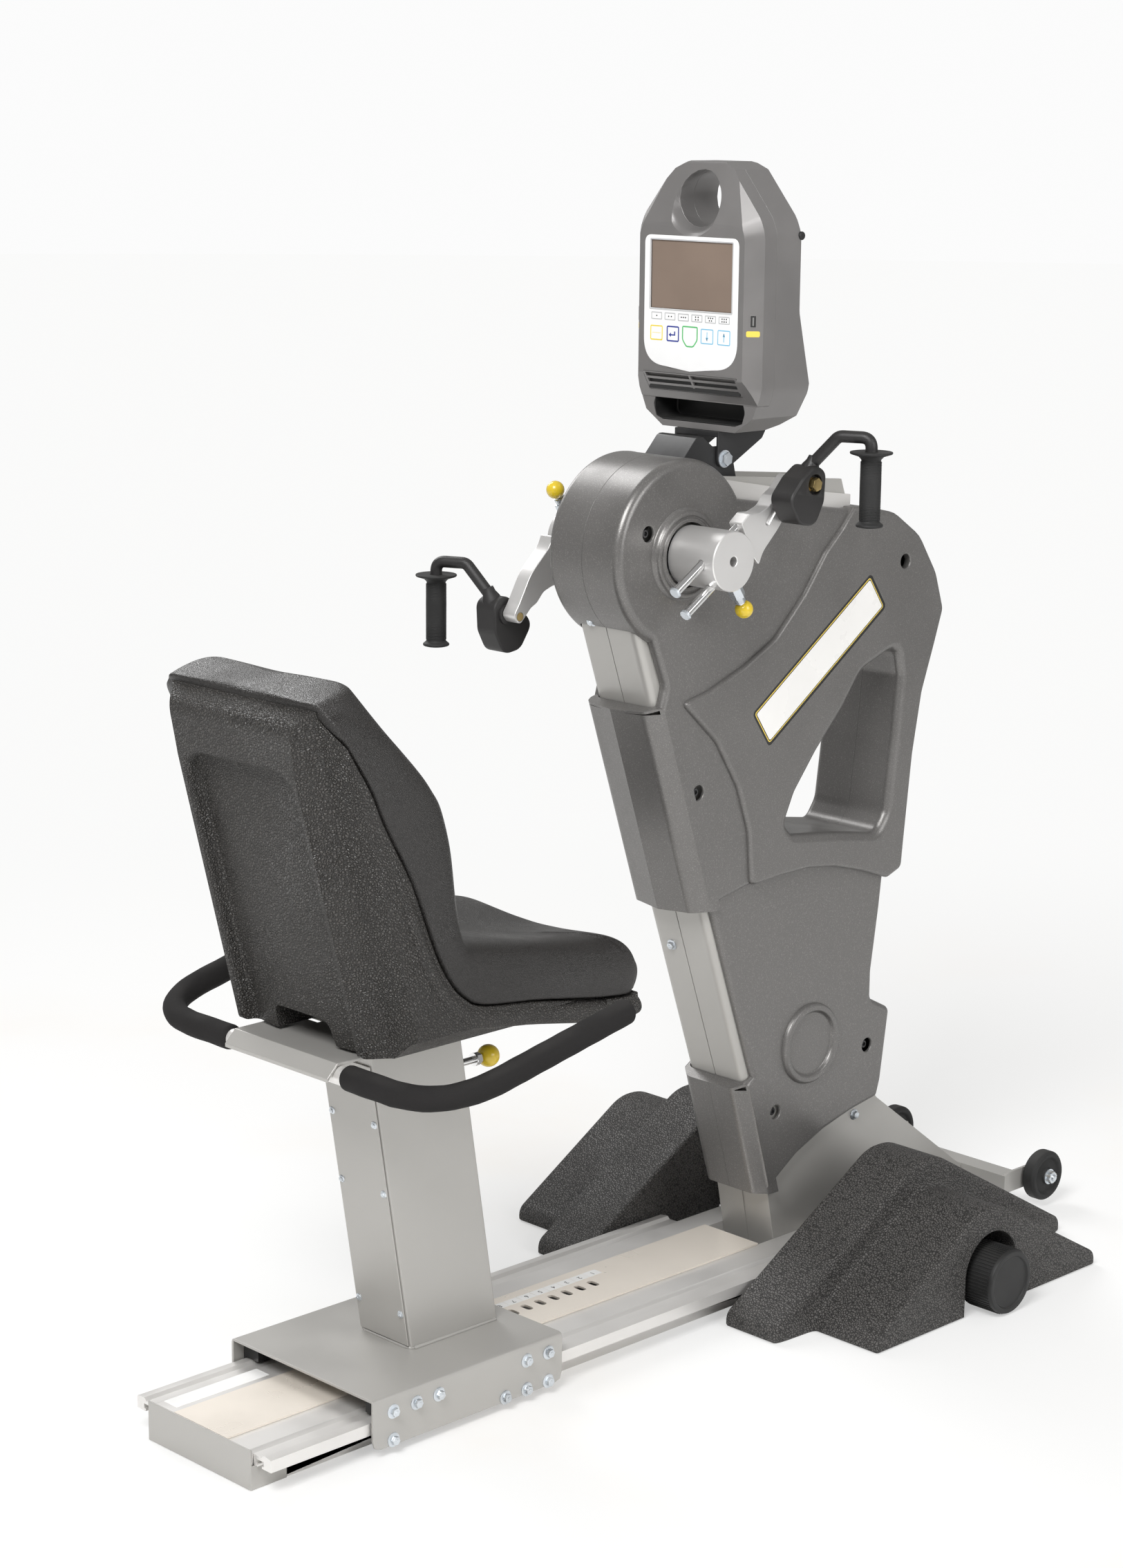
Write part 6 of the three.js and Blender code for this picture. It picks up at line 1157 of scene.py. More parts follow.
@shared(
    "Ribs round a ring",
    "GeometryNodeTree",
    [
        ("Count", WHOLE, 48),
        ("Ring Radius", FLOAT, 0.049),
        ("Rib Radius", FLOAT, 0.002),
        ("Length", FLOAT, 0.05),
        ("Finish", MATERIAL),
    ],
    [("Geometry", GEOMETRY)],
)
def knurl_tree(tree, start, end):
    """Bars side by side round a ring, along its axis."""
    ring = tree.node(
        "GeometryNodeMeshCircle", {"Vertices": start["Count"], "Radius": start["Ring Radius"]}
    )
    size = {"Vertices": 8, "Radius": start["Rib Radius"], "Depth": start["Length"]}
    bar = tree.node("GeometryNodeMeshCylinder", size)
    inputs = {"Points": ring.outputs[0], "Instance": bar.outputs[0]}
    close_tree(tree, start, end, tree.node("GeometryNodeInstanceOnPoints", inputs).outputs[0])


def grown(name, host, tree, values):
    """A plain mesh piece from a tree whose inputs are set by their names."""
    made = piece(name, host)
    step = made.modifiers.new("grow", "NODES")
    step.node_group = tree
    for item in tree.interface.items_tree:
        if item.item_type == "SOCKET" and item.in_out == "INPUT" and item.name in values:
            step[item.identifier] = values[item.name]
    return shaped(made)


def fastened(name, pattern, places, finish_name, body, largest_turn=1.0, seed=4):
    """Fasteners of one pattern at (place, facing) pairs, as one piece on one body."""
    model = shaded(piece("pattern", pattern))
    host = bpy.data.meshes.new(name)
    host.from_pydata([Vector(p) * MM for p, _ in places], [], [])
    facing = host.attributes.new("facing", "FLOAT_VECTOR", "POINT")
    facing.data.foreach_set("vector", [c for _, f in places for c in f])
    values = {
        "Pattern": model, "Largest Turn": largest_turn, "Seed": seed, "Finish": finish(finish_name)
    }
    made = grown(name, host, fastener_tree(), values)
    remove(model)
    return carried(made, body)


def hexagon(across, low, high, edge=0.6, turn=0.0):
    """A nut or bolt head with rounded edges, along Z."""
    corners = round_points(0, 0, across / math.sqrt(3), [turn + math.pi / 3 * k for k in range(6)])
    return prism(corners, low, high, 0, edge, "Z", steps=2)


def flange_bolt(flange, across, high):
    """A hexagon head on its flange, which stands on the surface at z = 0."""
    rim = [(0, 0), (flange / 2, 0), (flange / 2, 1.0), (across * 0.58, 2.2), (0, 2.2)]
    tip = [(0, high - 0.5), (across * 0.3, high - 0.5), (across * 0.22, high + 0.5), (0, high + 0.5)]
    return gathered(
        turned(rim, axis=UP, sides=28), hexagon(across, 2.0, high), turned(tip, axis=UP, sides=12)
    )


def socket_screw(radius, depth):
    """A cylinder head with a hexagon socket, whose face is at z = 0."""
    outer = [(0, -depth), (radius, -depth), (radius, -0.8), (radius - 0.8, 0), (0, 0)]
    screw = piece("screw", turned(outer, axis=UP, sides=24))
    combined(screw, [hexagon(radius * 0.95, -2.2, 1.0, 0)])
    mesh = bmesh_from(screw.data)
    remove(screw)
    return mesh


# Cranks

ARM = 162
ARM_X, GUIDE_HALF_GAP = 140, 19.5
GUIDE_ANGLE = math.radians(33)
ALONG = Vector((math.cos(GUIDE_ANGLE), math.sin(GUIDE_ANGLE)))
BESIDE = Vector((math.sin(GUIDE_ANGLE), -math.cos(GUIDE_ANGLE)))
PIVOT_REACH = (0.787 * ARM, 0.612 * ARM)
PIVOT = (AXIS[0] + PIVOT_REACH[0], AXIS[1] + PIVOT_REACH[1])
ARM_SHARES = [
    (0.16, 0.3, 0.02), (0.3, 0.02), (0.392, -0.075, 0.02), (0.44, 0.035, 0.3), (0.66, 0.246, 0.4),
    (0.8, 0.5, 0.3), (0.868, 0.6, 0.062), (0.79, 0.69, 0.062), (0.655, 0.55, 0.1), (0.58, 0.51, 0.06),
    (0.5, 0.42, 0.1), (0.38, 0.375, 0.15), (0.262, 0.38, 0.03),
]
HUB_PROFILE = [
    (0, 118), (7, 118), (7, 162), (8.5, 163), (40.6, 163), (42, 161.6), (42, 78), (41, 77), (0, 77)
]
BLOCK = 84
BLOCK_SHARES = [
    (0.0, 0.33, 0.2), (0.27, 0.2, 0.22), (0.24, -0.3, 0.3), (0.03, -0.7, 0.26), (-0.36, -0.64, 0.26),
    (-0.64, -0.22, 0.22), (-0.32, 0.12, 0.2),
]
HANDLE_RODS = [(177, 0, 0), (177, 9, 68 / 3), (221, 18, 68), (265, 36, 68), (265, 36, -49)]
NECK_PROFILE = [(0, 0), (14.5, 0), (13, 9), (9.4, 17), (8.5, 24), (0, 24)]
GRIP_X, GRIP_AHEAD = 265, 36
GRIP_PROFILE = [
    (0, -56), (14, -56), (19, -54.5), (19, -51.5), (15.5, -49), (13.4, -46), (14.6, -22), (14.8, 8),
    (14, 32), (13.6, 38), (18, 42.5), (29.2, 46), (30, 47.6), (29.4, 49), (20, 48.9), (9.2, 48.9),
    (8.7, 47), (8.7, -48), (0, -48),
]
RIBS_PER_GRIP, RIB_PITCH, RIB_START, RIB_RING = 38, 2.15, -45, 0.0141
BALL_RADIUS, BALL_AT = 13, 88


def guide(along, beside):
    """A point in the arm's plane, so far along the guide rods and the plunger from the crank axis."""
    flat = ALONG * along + BESIDE * beside
    return Vector((ARM_X, AXIS[0] + flat.x, AXIS[1] + flat.y))


def rod(radius, start, end, sides=32, edge=0.6):
    """A round bar from one point to another, with softened ends."""
    start, end = Vector(start), Vector(end)
    reach = (end - start).length
    profile = [
        (0, 0), (radius - edge, 0), (radius, edge), (radius, reach - edge), (radius - edge, reach),
        (0, reach),
    ]
    return turned(profile, start, end - start, sides)


def guide_rods(radius, start, end, edge=0.6):
    """A bar on either side of the arm's middle, along the guides."""
    return [
        rod(radius, guide(start, gap), guide(end, gap), edge=edge)
        for gap in (-GUIDE_HALF_GAP, GUIDE_HALF_GAP)
    ]


def opposite(obj, name):
    """The left crank's copy of a piece, half a turn round the axis from the right one."""
    centre = Vector((0, *AXIS)) * MM
    return reflected(
        obj, name, Matrix.Translation(centre) @ Matrix.Scale(-1, 4) @ Matrix.Translation(-centre)
    )


def half_turned(obj, name):
    """A copy of a handle's piece at the left pivot, still upright."""
    right = Vector((0, *PIVOT)) * MM
    left = Vector((0, AXIS[0] - PIVOT_REACH[0], AXIS[1] - PIVOT_REACH[1])) * MM
    mesh = bmesh_from(obj.data)
    mesh.transform(
        Matrix.Translation(left) @ Matrix.Rotation(math.pi, 4, "Z") @ Matrix.Translation(-right)
    )
    return piece(name, mesh)


class ERGOMETER_OT_hubs(Maker):
    """Turned hubs with their centre hole and the bores of the guide rods"""

    bl_idname = "ergometer.hubs"
    bl_label = "Crank hubs"

    def make(self):
        right = piece("hub_right_turned", turned(HUB_PROFILE, (0, *AXIS), sides=96))
        combined(right, [*guide_rods(6.9, -50, 50), rod(6.4, guide(0, 26.7), guide(0, 50))])
        paired(right, opposite, "machined", "crank", "hub_right")
        repainted("crank_shaft", "crank_pulley", "brake_rotor", with_finish="cast_iron")
        repainted("bearing_left", "bearing_right", with_finish="zinc")
        repainted("drive_belt", with_finish="grip_rubber")


class ERGOMETER_OT_crank_arms(Maker):
    """Arms with their lightening groove, guide rods and end screws"""

    bl_idname = "ergometer.crank_arms"
    bl_label = "Crank arms"

    def make(self):
        corners = [
            (AXIS[0] + y * ARM, AXIS[1] + z * ARM, *(r * ARM for r in rest))
            for y, z, *rest in ARM_SHARES
        ]
        right = piece("arm_right_plate", prism(rounded(corners), 127.5, 152.5, 1.6, 1.6, steps=3))
        groove = [(154, AXIS[0] + y * ARM, AXIS[1] + z * ARM) for y, z in ((0.47, 0.262), (0.6, 0.42))]
        hub_room = disc(46, 120, 160, (0, *AXIS), sides=96)
        combined(right, [hub_room, disc(6.5, 120, 160, (0, *PIVOT)), tube(groove, 5.5, 24, 5)])
        paired(right, opposite, "machined", "arm_right", "crank_arm_right", 25)
        bars = guide_rods(6.5, -94, 66, 0.4)
        heads = guide_rods(8.6, -98.8, -94.5, 1.2)
        paired(piece("guide_rods_right", gathered(*bars)), opposite, "chrome", "arm_right")
        paired(piece("guide_heads_right", gathered(*heads)), opposite, "zinc", "arm_right")


class ERGOMETER_OT_plungers(Maker):
    """Spring plungers: rod, nut and ball"""

    bl_idname = "ergometer.plungers"
    bl_label = "Plungers"

    def make(self):
        place = placing(guide(0, 0), guide(0, 1) - guide(0, 0))
        boss = turned([(0, 65), (8, 65), (8, 74), (6, 75), (0, 75)], axis=UP, sides=32)
        nut = gathered(hexagon(19, 47, 66, 1.0), boss)
        nut.transform(place)
        stem = rod(6, guide(0, 27), guide(0, 84))
        turns = [math.pi * k / 24 for k in range(5, 24)]
        arc = [(BALL_RADIUS * math.sin(a), BALL_AT - BALL_RADIUS * math.cos(a)) for a in turns]
        ball = turned([(0, 75.6), *arc, (0, BALL_AT + BALL_RADIUS)], axis=UP, sides=48)
        ball.transform(place)
        paired(piece("plunger_stem_right", stem), opposite, "chrome", "plunger_right", "plunger_right")
        paired(piece("plunger_nut_right", nut), opposite, "zinc", "plunger_right")
        paired(piece("plunger_ball_right", ball), opposite, "ball_plastic", "plunger_right")


class ERGOMETER_OT_handles(Maker):
    """Pear-shaped handle blocks with bent rods and pivot bolts"""

    bl_idname = "ergometer.handles"
    bl_label = "Handles"

    def make(self):
        y, z = PIVOT
        centre = (0, y, z)
        corners = [(y + u * BLOCK, z + v * BLOCK, r * BLOCK) for u, v, r in BLOCK_SHARES]
        right = piece("handle_right_cast", prism(rounded(corners, 0.1), 157, 197, 3, 3.5, steps=4))
        path = bent_path([(x, y + ahead, z + up) for x, ahead, up in HANDLE_RODS], 15)
        neck = turned(NECK_PROFILE, (177, y + 6, z + 14), (9, 7, 30), sides=32)
        boss = disc(14, 153.1, 170, centre, sides=48)
        combined(right, [tube(path, 8.5, 32), neck, boss], "UNION")
        combined(right, [self.well(centre, 189, 197, 14, 1.5), disc(6.1, 120, 210, centre, sides=32)])
        paired(right, half_turned, "black_cast", "handle_right", "handle_right", 40)
        head = hexagon(17, 190.5, 201.2, 1.2, 0.3)
        head.transform(placing(centre, (1, 0, 0)))
        shank = disc(6, 127.5, 190, centre, sides=32)
        washer = disc(9.6, 189.3, 190.6, centre, sides=32)
        right = piece("pivot_bolt_right_gold", gathered(shank, washer, head))
        paired(right, half_turned, "gold_zinc", "arm_right", "pivot_bolt_right")

    def well(self, centre, bottom, surface, radius, mouth):
        """A round blind cutter along X with a rounded mouth."""
        rim = [(radius + mouth * 0.3, surface - mouth * 0.35), (radius + mouth, surface)]
        top = [(radius + mouth, surface + 6), (0, surface + 6)]
        profile = [(0, bottom), (radius, bottom), (radius, surface - mouth), *rim, *top]
        return turned(profile, centre, sides=48)


class ERGOMETER_OT_grips(Maker):
    """Ribbed rubber grips with a guard disc above and a flange below"""

    bl_idname = "ergometer.grips"
    bl_label = "Grips"

    def make(self):
        y, z = PIVOT[0] + GRIP_AHEAD, PIVOT[1]
        core = turned(softened(GRIP_PROFILE, 1.4, 3), (GRIP_X, y, z), UP, 72)
        right = piece("grip_right_core", core)
        paired(right, half_turned, "grip_rubber", "grip_right", "grip_right", 50)
        values = {
            "Count": RIBS_PER_GRIP,
            "Pitch": (0, 0, RIB_PITCH * MM),
            "Start": tuple(Vector((GRIP_X, y, z + RIB_START)) * MM),
            "Ring Radius": RIB_RING,
            "Rib Radius": sizes().grip_rib,
            "Finish": finish("grip_rubber"),
        }
        right = shaded(grown("grip_right_ribs", bpy.data.meshes.new("ribs"), rib_tree(), values), 60)
        paired(right, half_turned, "grip_rubber", "grip_right", angle=60)


# Seat

SEAT_BOTTOM, SEAT_HALF = 544.5, 189
SEAT_REAR, SEAT_LENGTH, SEAT_HEIGHT = -644.25, 463, 501
REAR_SLOPE = -0.2655
ROLL_INSET, ROLL_RADIUS, ROLL_THINS_FROM = 11.5, 15.5, 0.72
BAR_REAR, BAR_LOW = -661.25, 522.6
SLEEVE_START = 116
POST_REAR, POST_FRONT, POST_BOTTOM, POST_SLOPE = -495.25, -334.25, 83.6, -0.164
LEVER_REAR, LEVER_HEIGHT = -489.18, 449
RELEASE_BALL_RADIUS, RELEASE_BALL_AT = 16, -305.18
SEAM_SHARES = [
    (0.957, 0.032), (0.918, 0.026), (0.801, 0.038), (0.657, 0.062), (0.521, 0.084), (0.337, 0.106),
    (0.268, 0.138), (0.218, 0.184), (0.173, 0.253), (0.14, 0.325), (0.078, 0.473), (0.015, 0.581),
    (-0.024, 0.649), (-0.06, 0.725), (-0.121, 0.818), (-0.179, 0.906), (-0.19, 0.934),
]
CUSHION_SHARES = [
    (0.989, 0.122), (0.937, 0.174), (0.808, 0.196), (0.635, 0.22), (0.46, 0.25), (0.343, 0.271),
    (0.298, 0.289), (0.281, 0.323), (0.272, 0.379), (0.268, 0.427), (0.259, 0.539), (0.233, 0.643),
    (0.203, 0.689), (0.168, 0.733), (0.106, 0.798), (0.043, 0.864), (-0.05, 0.975),
]
CUSHION_WIDTH = [0.93, 0.985, 1, *[1.01] * 8, 1, 1, 0.995, 0.985, 0.955, 0.88]
RING_HALF = [
    (0, 0), (0.55, 0), (0.955, 0), (1.0, 0.12), (1.012, 0.38), (1.0, 0.64), (0.955, 0.85), (0.87, 0.97),
    (0.74, 1.0), (0.55, 0.965), (0.3, 0.91), (0, 0.88),
]


def seat_point(forward, up):
    return Vector((0, SEAT_REAR + SEAT_LENGTH * forward, SEAT_BOTTOM + SEAT_HEIGHT * up))


def taper(height):
    """How much narrower the seat is at that height than at its bottom."""
    return 1 - 0.07 * max(0.0, (height - SEAT_BOTTOM) / SEAT_HEIGHT)


def rear_at(height):
    return seat_point(0, 0).y + (height - SEAT_BOTTOM) * REAR_SLOPE


class ERGOMETER_OT_seat_shell(Maker):
    """Moulded seat shell: flared sides, framed recess in its back and the rim under the cushion"""

    bl_idname = "ergometer.seat_shell"
    bl_label = "Seat shell"

    def recess(self):
        """The leaning cutter of the back's panel, whose floor swells towards the middle."""
        outline = rectangle(-112, 112, -90, 394, 44)
        middle = 150
        rings = [
            (-60, 1.08), (-1, 1.08), (0.5, 1.045), (3, 1.015), (7, 1.0), (13, 0.99), (16.5, 0.96),
            (18, 0.91),
        ]
        rings += [(18 - 9 * (1 - s * s), s * 0.91) for s in (0.85, 0.65, 0.45, 0.25, 0.1)]
        mesh = lofted(
            [[Vector((p.x * s, t, (p.y - middle) * s + middle)) for p in outline] for t, s in rings]
        )
        lean = Matrix.Rotation(-math.atan(REAR_SLOPE), 4, "X")
        mesh.transform(Matrix.Translation(seat_point(0, 0) * MM) @ lean)
        return mesh

    def make(self):
        seam = [(p.y, p.z) for p in smooth_path([seat_point(*s) for s in SEAM_SHARES], 4)]
        rear_shares = ((-0.242, 0.886, 0.07), (-0.216, 0.752, 0.2), (0, 0, 0.02))
        rear = [(*seat_point(y, z).yz, radius * SEAT_LENGTH) for y, z, radius in rear_shares]
        outline = rounded([tuple(seat_point(0.96, 0).yz), *seam, *rear], 0.12)
        shell = piece("seat_shell_moulding", prism(outline, -SEAT_HALF, SEAT_HALF, 4, 4, steps=3))
        base = rear_at(0)
        flank = [(124, base - 80), (124, base, 14), (147, base + 33, 16)]
        flank += [(196, base + 52), (260, base + 52), (260, base - 80)]
        under = [(148, 500), (148, 543, 4), (178, 568, 14), (196, 575), (260, 575), (260, 500)]
        cuts = []
        for side in (-1, 1):
            behind, below = (
                rounded([(side * x, *rest) for x, *rest in line], 0.1) for line in (flank, under)
            )
            cuts.append(prism(behind, 400, 1100, plane="Z", slope=REAR_SLOPE))
            cuts.append(prism(below, -800, -262, plane="Y"))
        combined(shell, cuts)
        edge = [seat_point(*p) for p in SEAM_SHARES[:-2]]
        inwards = [
            p + (q - p).normalized().cross(Vector((1, 0, 0))) * -17 for p, q in zip(edge, edge[1:])
        ]
        for side in (-1, 1):
            path = [
                Vector((side * (SEAT_HALF - ROLL_INSET), p.y, p.z)) for p in smooth_path(inwards, 3)
            ]
            combined(shell, [tube(path, self.roll_radius, 28, 3)], "UNION")
        tunnel = rounded([(-62, 520), (62, 520), (54, 580, 16), (-54, 580, 16)], 0.2)
        combined(shell, [self.recess(), prism(tunnel, -700, -560, plane="Y")])
        for vert in shell.data.vertices:
            vert.co.x *= taper(vert.co.z / MM)
        settled(shell, "seat_plastic", "seat", "seat_shell", 38)

    def roll_radius(self, share):
        """The side roll thins towards the top of the back."""
        return ROLL_RADIUS - 8 * max(0, share - ROLL_THINS_FROM) / 0.28


class ERGOMETER_OT_cushion(Maker):
    """Upholstered bucket cushion: a lofted skin, smoothed, with its dents, folds and crease"""

    bl_idname = "ergometer.cushion"
    bl_label = "Cushion"

    def make(self):
        seam = smooth_path([seat_point(*s) for s in SEAM_SHARES], 3)
        outer = smooth_path([seat_point(*s) for s in CUSHION_SHARES], 3)
        widths = smooth_path([Vector((w, 0)) for w in CUSHION_WIDTH], 3)
        half = smooth_path([Vector(p) for p in RING_HALF], 2)
        ring = half + [Vector((-p.x, p.y)) for p in half[-2:0:-1]]
        rings = []
        for start, end, width in zip(seam, outer, widths):
            across = SEAT_HALF * width.x
            thick = end - start
            foot = start + thick.normalized() * 0.4
            full = min(1, max(0.0, (len(rings) / len(seam) - 0.7) / 0.25))
            lift = [p.y + (1 - p.y) * full if abs(p.x) < 0.87 and p.y > 0.8 else p.y for p in ring]
            row = [foot + thick * out + Vector((p.x * across, 0, 0)) for p, out in zip(ring, lift)]
            rings.append([Vector((p.x * taper(p.z), p.y, p.z)) for p in row])
        front = self.closed_end(rings[0], rings[1], 7)[::-1]
        cushion = piece(
            "bucket_cushion_cover", lofted(front + rings + self.closed_end(rings[-1], rings[-2], 10))
        )
        step = cushion.modifiers.new("smooth", "SUBSURF")
        step.levels = step.render_levels = 2
        shaped(cushion)
        self.work(cushion.data)
        settled(cushion, "vinyl", "seat", "bucket_cushion", 60)

    def closed_end(self, row, inner, reach):
        """Rings that round off one end of the loft."""
        middle = sum(row, Vector()) / len(row)
        out = (middle - sum(inner, Vector()) / len(inner)).normalized()
        made = []
        for a in (math.pi / 2 * k / 4 for k in range(1, 5)):
            ring = []
            for p in row:
                drawn = min((p - middle).length * 0.7, reach * 2 * (1 - math.cos(a)))
                ring.append(p + out * reach * math.sin(a) - (p - middle).normalized() * drawn)
            made.append(ring)
        return made + [[middle + out * reach + (p - middle) * s for p in row] for s in (0.6, 0.3)]

    def work(self, mesh):
        """Relief: body dents, folds in the waist and the crease near the front right."""
        crease = smooth_path([(92, -292), (118, -262), (150, -240), (178, -222)], 12)
        folds = [
            ((-150, 150), 0.355, 2.0, 9), ((-120, 165), 0.39, 1.4, 7), ((-170, 100), 0.315, 1.5, 8)
        ]
        normals = [v.normal.copy() for v in mesh.vertices]
        for vert, normal in zip(mesh.vertices, normals):
            x, y, z = vert.co / MM
            shift = 1.2 * math.sin(x * 0.021 + 1.3) * math.sin(y * 0.017 + 0.4) * math.sin(z * 0.015)
            if normal.z > 0.6 and z < 700:
                gap = min(math.hypot(x - c.x, y - c.y) for c in crease)
                shift -= 2.6 * math.exp(-((gap / 4.0) ** 2))
                shift += 1.1 * math.exp(-(((gap - 9) / 6.0) ** 2))
                shift -= 5 * math.exp(-((x / 85) ** 2) - ((y + 340) / 75) ** 2)
            for (low, high), up, depth, wide in folds:
                level = SEAT_BOTTOM + SEAT_HEIGHT * up + 5 * math.sin(x * 0.03)
                if low < x < high and normal.y > 0.3:
                    fade = math.sin(math.pi * (x - low) / (high - low))
                    shift -= depth * fade * math.exp(-(((z - level) / wide) ** 2))
            vert.co += normal * shift * MM


class ERGOMETER_OT_seat_bars(Maker):
    """Bent grab bar, foam sleeves, bar bracket and mount"""

    bl_idname = "ergometer.seat_bars"
    bl_label = "Grab bar"

    def make(self):
        half = [(300, BAR_REAR, BAR_LOW), (310, -352.25, 590)]
        path = bent_path([(-x, y, z) for x, y, z in half[::-1]] + half, 105, 16)
        settled(piece("hand_bar_tube", tube(path, 13, 32, 2)), "extruded", "seat", "hand_bar", 50)
        end = path[-1] + (path[-1] - path[-2]).normalized() * 7
        straight = [Vector((SLEEVE_START + k * 9, BAR_REAR, BAR_LOW)) for k in range(11)]
        bend = [p for p in path if p.x > 225][:-1]
        run = straight + bend + [bend[-1].lerp(end, k / 24) for k in range(1, 25)]
        for side, word in ((1, "right"), (-1, "left")):
            sleeve_path = [Vector((p.x * side, p.y, p.z)) for p in run]
            sleeve = piece("sleeve_" + word + "_foam", tube(sleeve_path, self.swell, 40, 7))
            for vert in sleeve.data.vertices:
                x, y, z = vert.co / MM
                ripple, cross_ripple = math.sin(x * 0.11 + y * 0.07), math.sin(z * 0.13 + y * 0.05)
                vert.co += vert.normal * MM * 0.35 * ripple * cross_ripple
            settled(sleeve, "foam", "seat", "sleeve_" + word, 60)
        refined("bar_bracket", "silver_paint", 0.9, 25, 3)
        refined("seat_mount", "silver_paint", 0.8, 30, 2)

    def swell(self, share):
        """The foam is squeezed thinner where the bar bends."""
        return 17.2 - 0.7 * math.exp(-(((share - 0.34) / 0.1) ** 2))


class ERGOMETER_OT_carriage(Maker):
    """Carriage, post, screwed cover, weld bead and the release lever"""

    bl_idname = "ergometer.carriage"
    bl_label = "Carriage and post"

    def make(self):
        refined("carriage", "silver_paint", 0.8, 30, 2)
        repainted("glide_left", "glide_right", with_finish="black_plastic")
        repainted("lock_pin", with_finish="chrome")
        refined("seat_post", "silver_paint", 1.0, 30, 3)
        refined("post_cover", "silver_paint", 0.6, 30, 2)
        foot = rectangle(-52, 52, POST_REAR, POST_FRONT, 14)
        ring = [Vector((p.x, p.y, POST_BOTTOM + 1)) for p in inset(foot, -1.2)]
        path = smooth_path(ring + ring[:1], 2)
        bead = tube(path, lambda share: 2.4 + 0.5 * math.sin(share * 420), 10)
        settled(piece("post_weld", bead), "silver_paint", "seat", angle=70)
        y, z = LEVER_REAR, LEVER_HEIGHT
        bars = [rod(5, (0, y, z), (0, -308, z)), rod(5, (-52, y, z), (52, y, z))]
        nut = hexagon(15.5, 0, 9, 0.9, 0.2)
        nut.transform(placing((0, -331.2, z), (0, 1, 0)))
        washer = disc(9.5, -334, -331.8, (0, 0, z), (0, 1, 0), 28)
        lever = piece("release_lever_rod", gathered(*bars, nut, washer))
        settled(lever, "chrome", "lever", "release_lever", 40)
        turns = [math.pi * k / 28 for k in range(4, 28)]
        arc = [
            (RELEASE_BALL_RADIUS * math.sin(a), RELEASE_BALL_AT - RELEASE_BALL_RADIUS * math.cos(a))
            for a in turns
        ]
        tip = (0, RELEASE_BALL_AT + RELEASE_BALL_RADIUS)
        ball = turned([(0, arc[0][1]), *arc, tip], (0, 0, z), (0, 1, 0), 56)
        settled(piece("release_ball", ball), "ball_plastic", "lever", angle=60)


# Rail and stance

BAR = (369.834, 50)
BAR_ROOM, ARCH_RADIUS, ARCH_HEIGHT = 28.6, 60, 58
RAMP_LENGTH, RAMP_HEIGHT = 677, 205
WHEEL = (779.75, 52)
RAIL_TOP, PLATE_TOP = 52.4, 55.75
LABEL_X = -29
RAMP_INNER = [(-0.502, 0), (-0.502, 0.1), (-0.045, 0.98), (0.03, 0.98), (0.498, 0.1), (0.498, 0)]
RAMP_OUTER = [(-0.384, 0), (-0.384, 0.1), (-0.05, 0.77), (0.02, 0.77), (0.381, 0.1), (0.381, 0)]
RAMP_BENDS = (5, 12, 22, 22, 12, 5)
# Sections of the ramp: x, share of the way from the inner step to the outer one, and inset
RAMP_SECTIONS = [
    (150, 0, 2.6), (151.4, 0, 0.9), (153.5, 0, 0.1), (155, 0, 0), (243, 0, 0), (245.5, 0.03, 0),
    (247.5, 0.12, 0), (248.7, 0.25, 0), (250.6, 0.8, 0), (252, 0.92, 0), (254.5, 0.985, 0), (258, 1, 0),
    (367, 1, 0), (368.5, 1, 0.1), (370.6, 1, 0.9), (372, 1, 2.6),
]
CAP_PROFILE = [
    (0, 346.5), (46, 346.5), (48.7, 349), (48.7, 403), (47.5, 408), (40, 408), (38.6, 405.4),
    (0, 405.4),
]
TYRE_PROFILE = [
    (6.3, 143), (13, 143), (13, 146), (27, 148), (31, 143), (36, 142.5), (40.5, 147), (40.5, 163),
    (36, 167.5), (31, 167), (27, 162), (13, 164), (13, 167.5), (6.3, 167.5),
]
FIRST_NUMBER, NUMBER_PITCH, NUMBERS = -66.65, 26.8, 16


def lettering(words, height, place, along, up, depth):
    """A bmesh of plain characters on a surface, read along one direction with another one up."""
    curve = bpy.data.curves.new("letters", "FONT")
    curve.body, curve.size, curve.extrude = words, height * MM, depth * MM
    curve.align_x, curve.align_y = "CENTER", "CENTER"
    shown = bpy.data.objects.new("letters", curve)
    bpy.context.scene.collection.objects.link(shown)
    data = bpy.data.meshes.new_from_object(shown.evaluated_get(bpy.context.evaluated_depsgraph_get()))
    bpy.data.objects.remove(shown)
    bpy.data.curves.remove(curve)
    mesh = bmesh_from(data)
    bpy.data.meshes.remove(data)
    along, up = Vector(along).normalized(), Vector(up).normalized()
    turn = Matrix((along, up, along.cross(up))).transposed().to_4x4()
    mesh.transform(Matrix.Translation(Vector(place) * MM) @ turn)
    return mesh


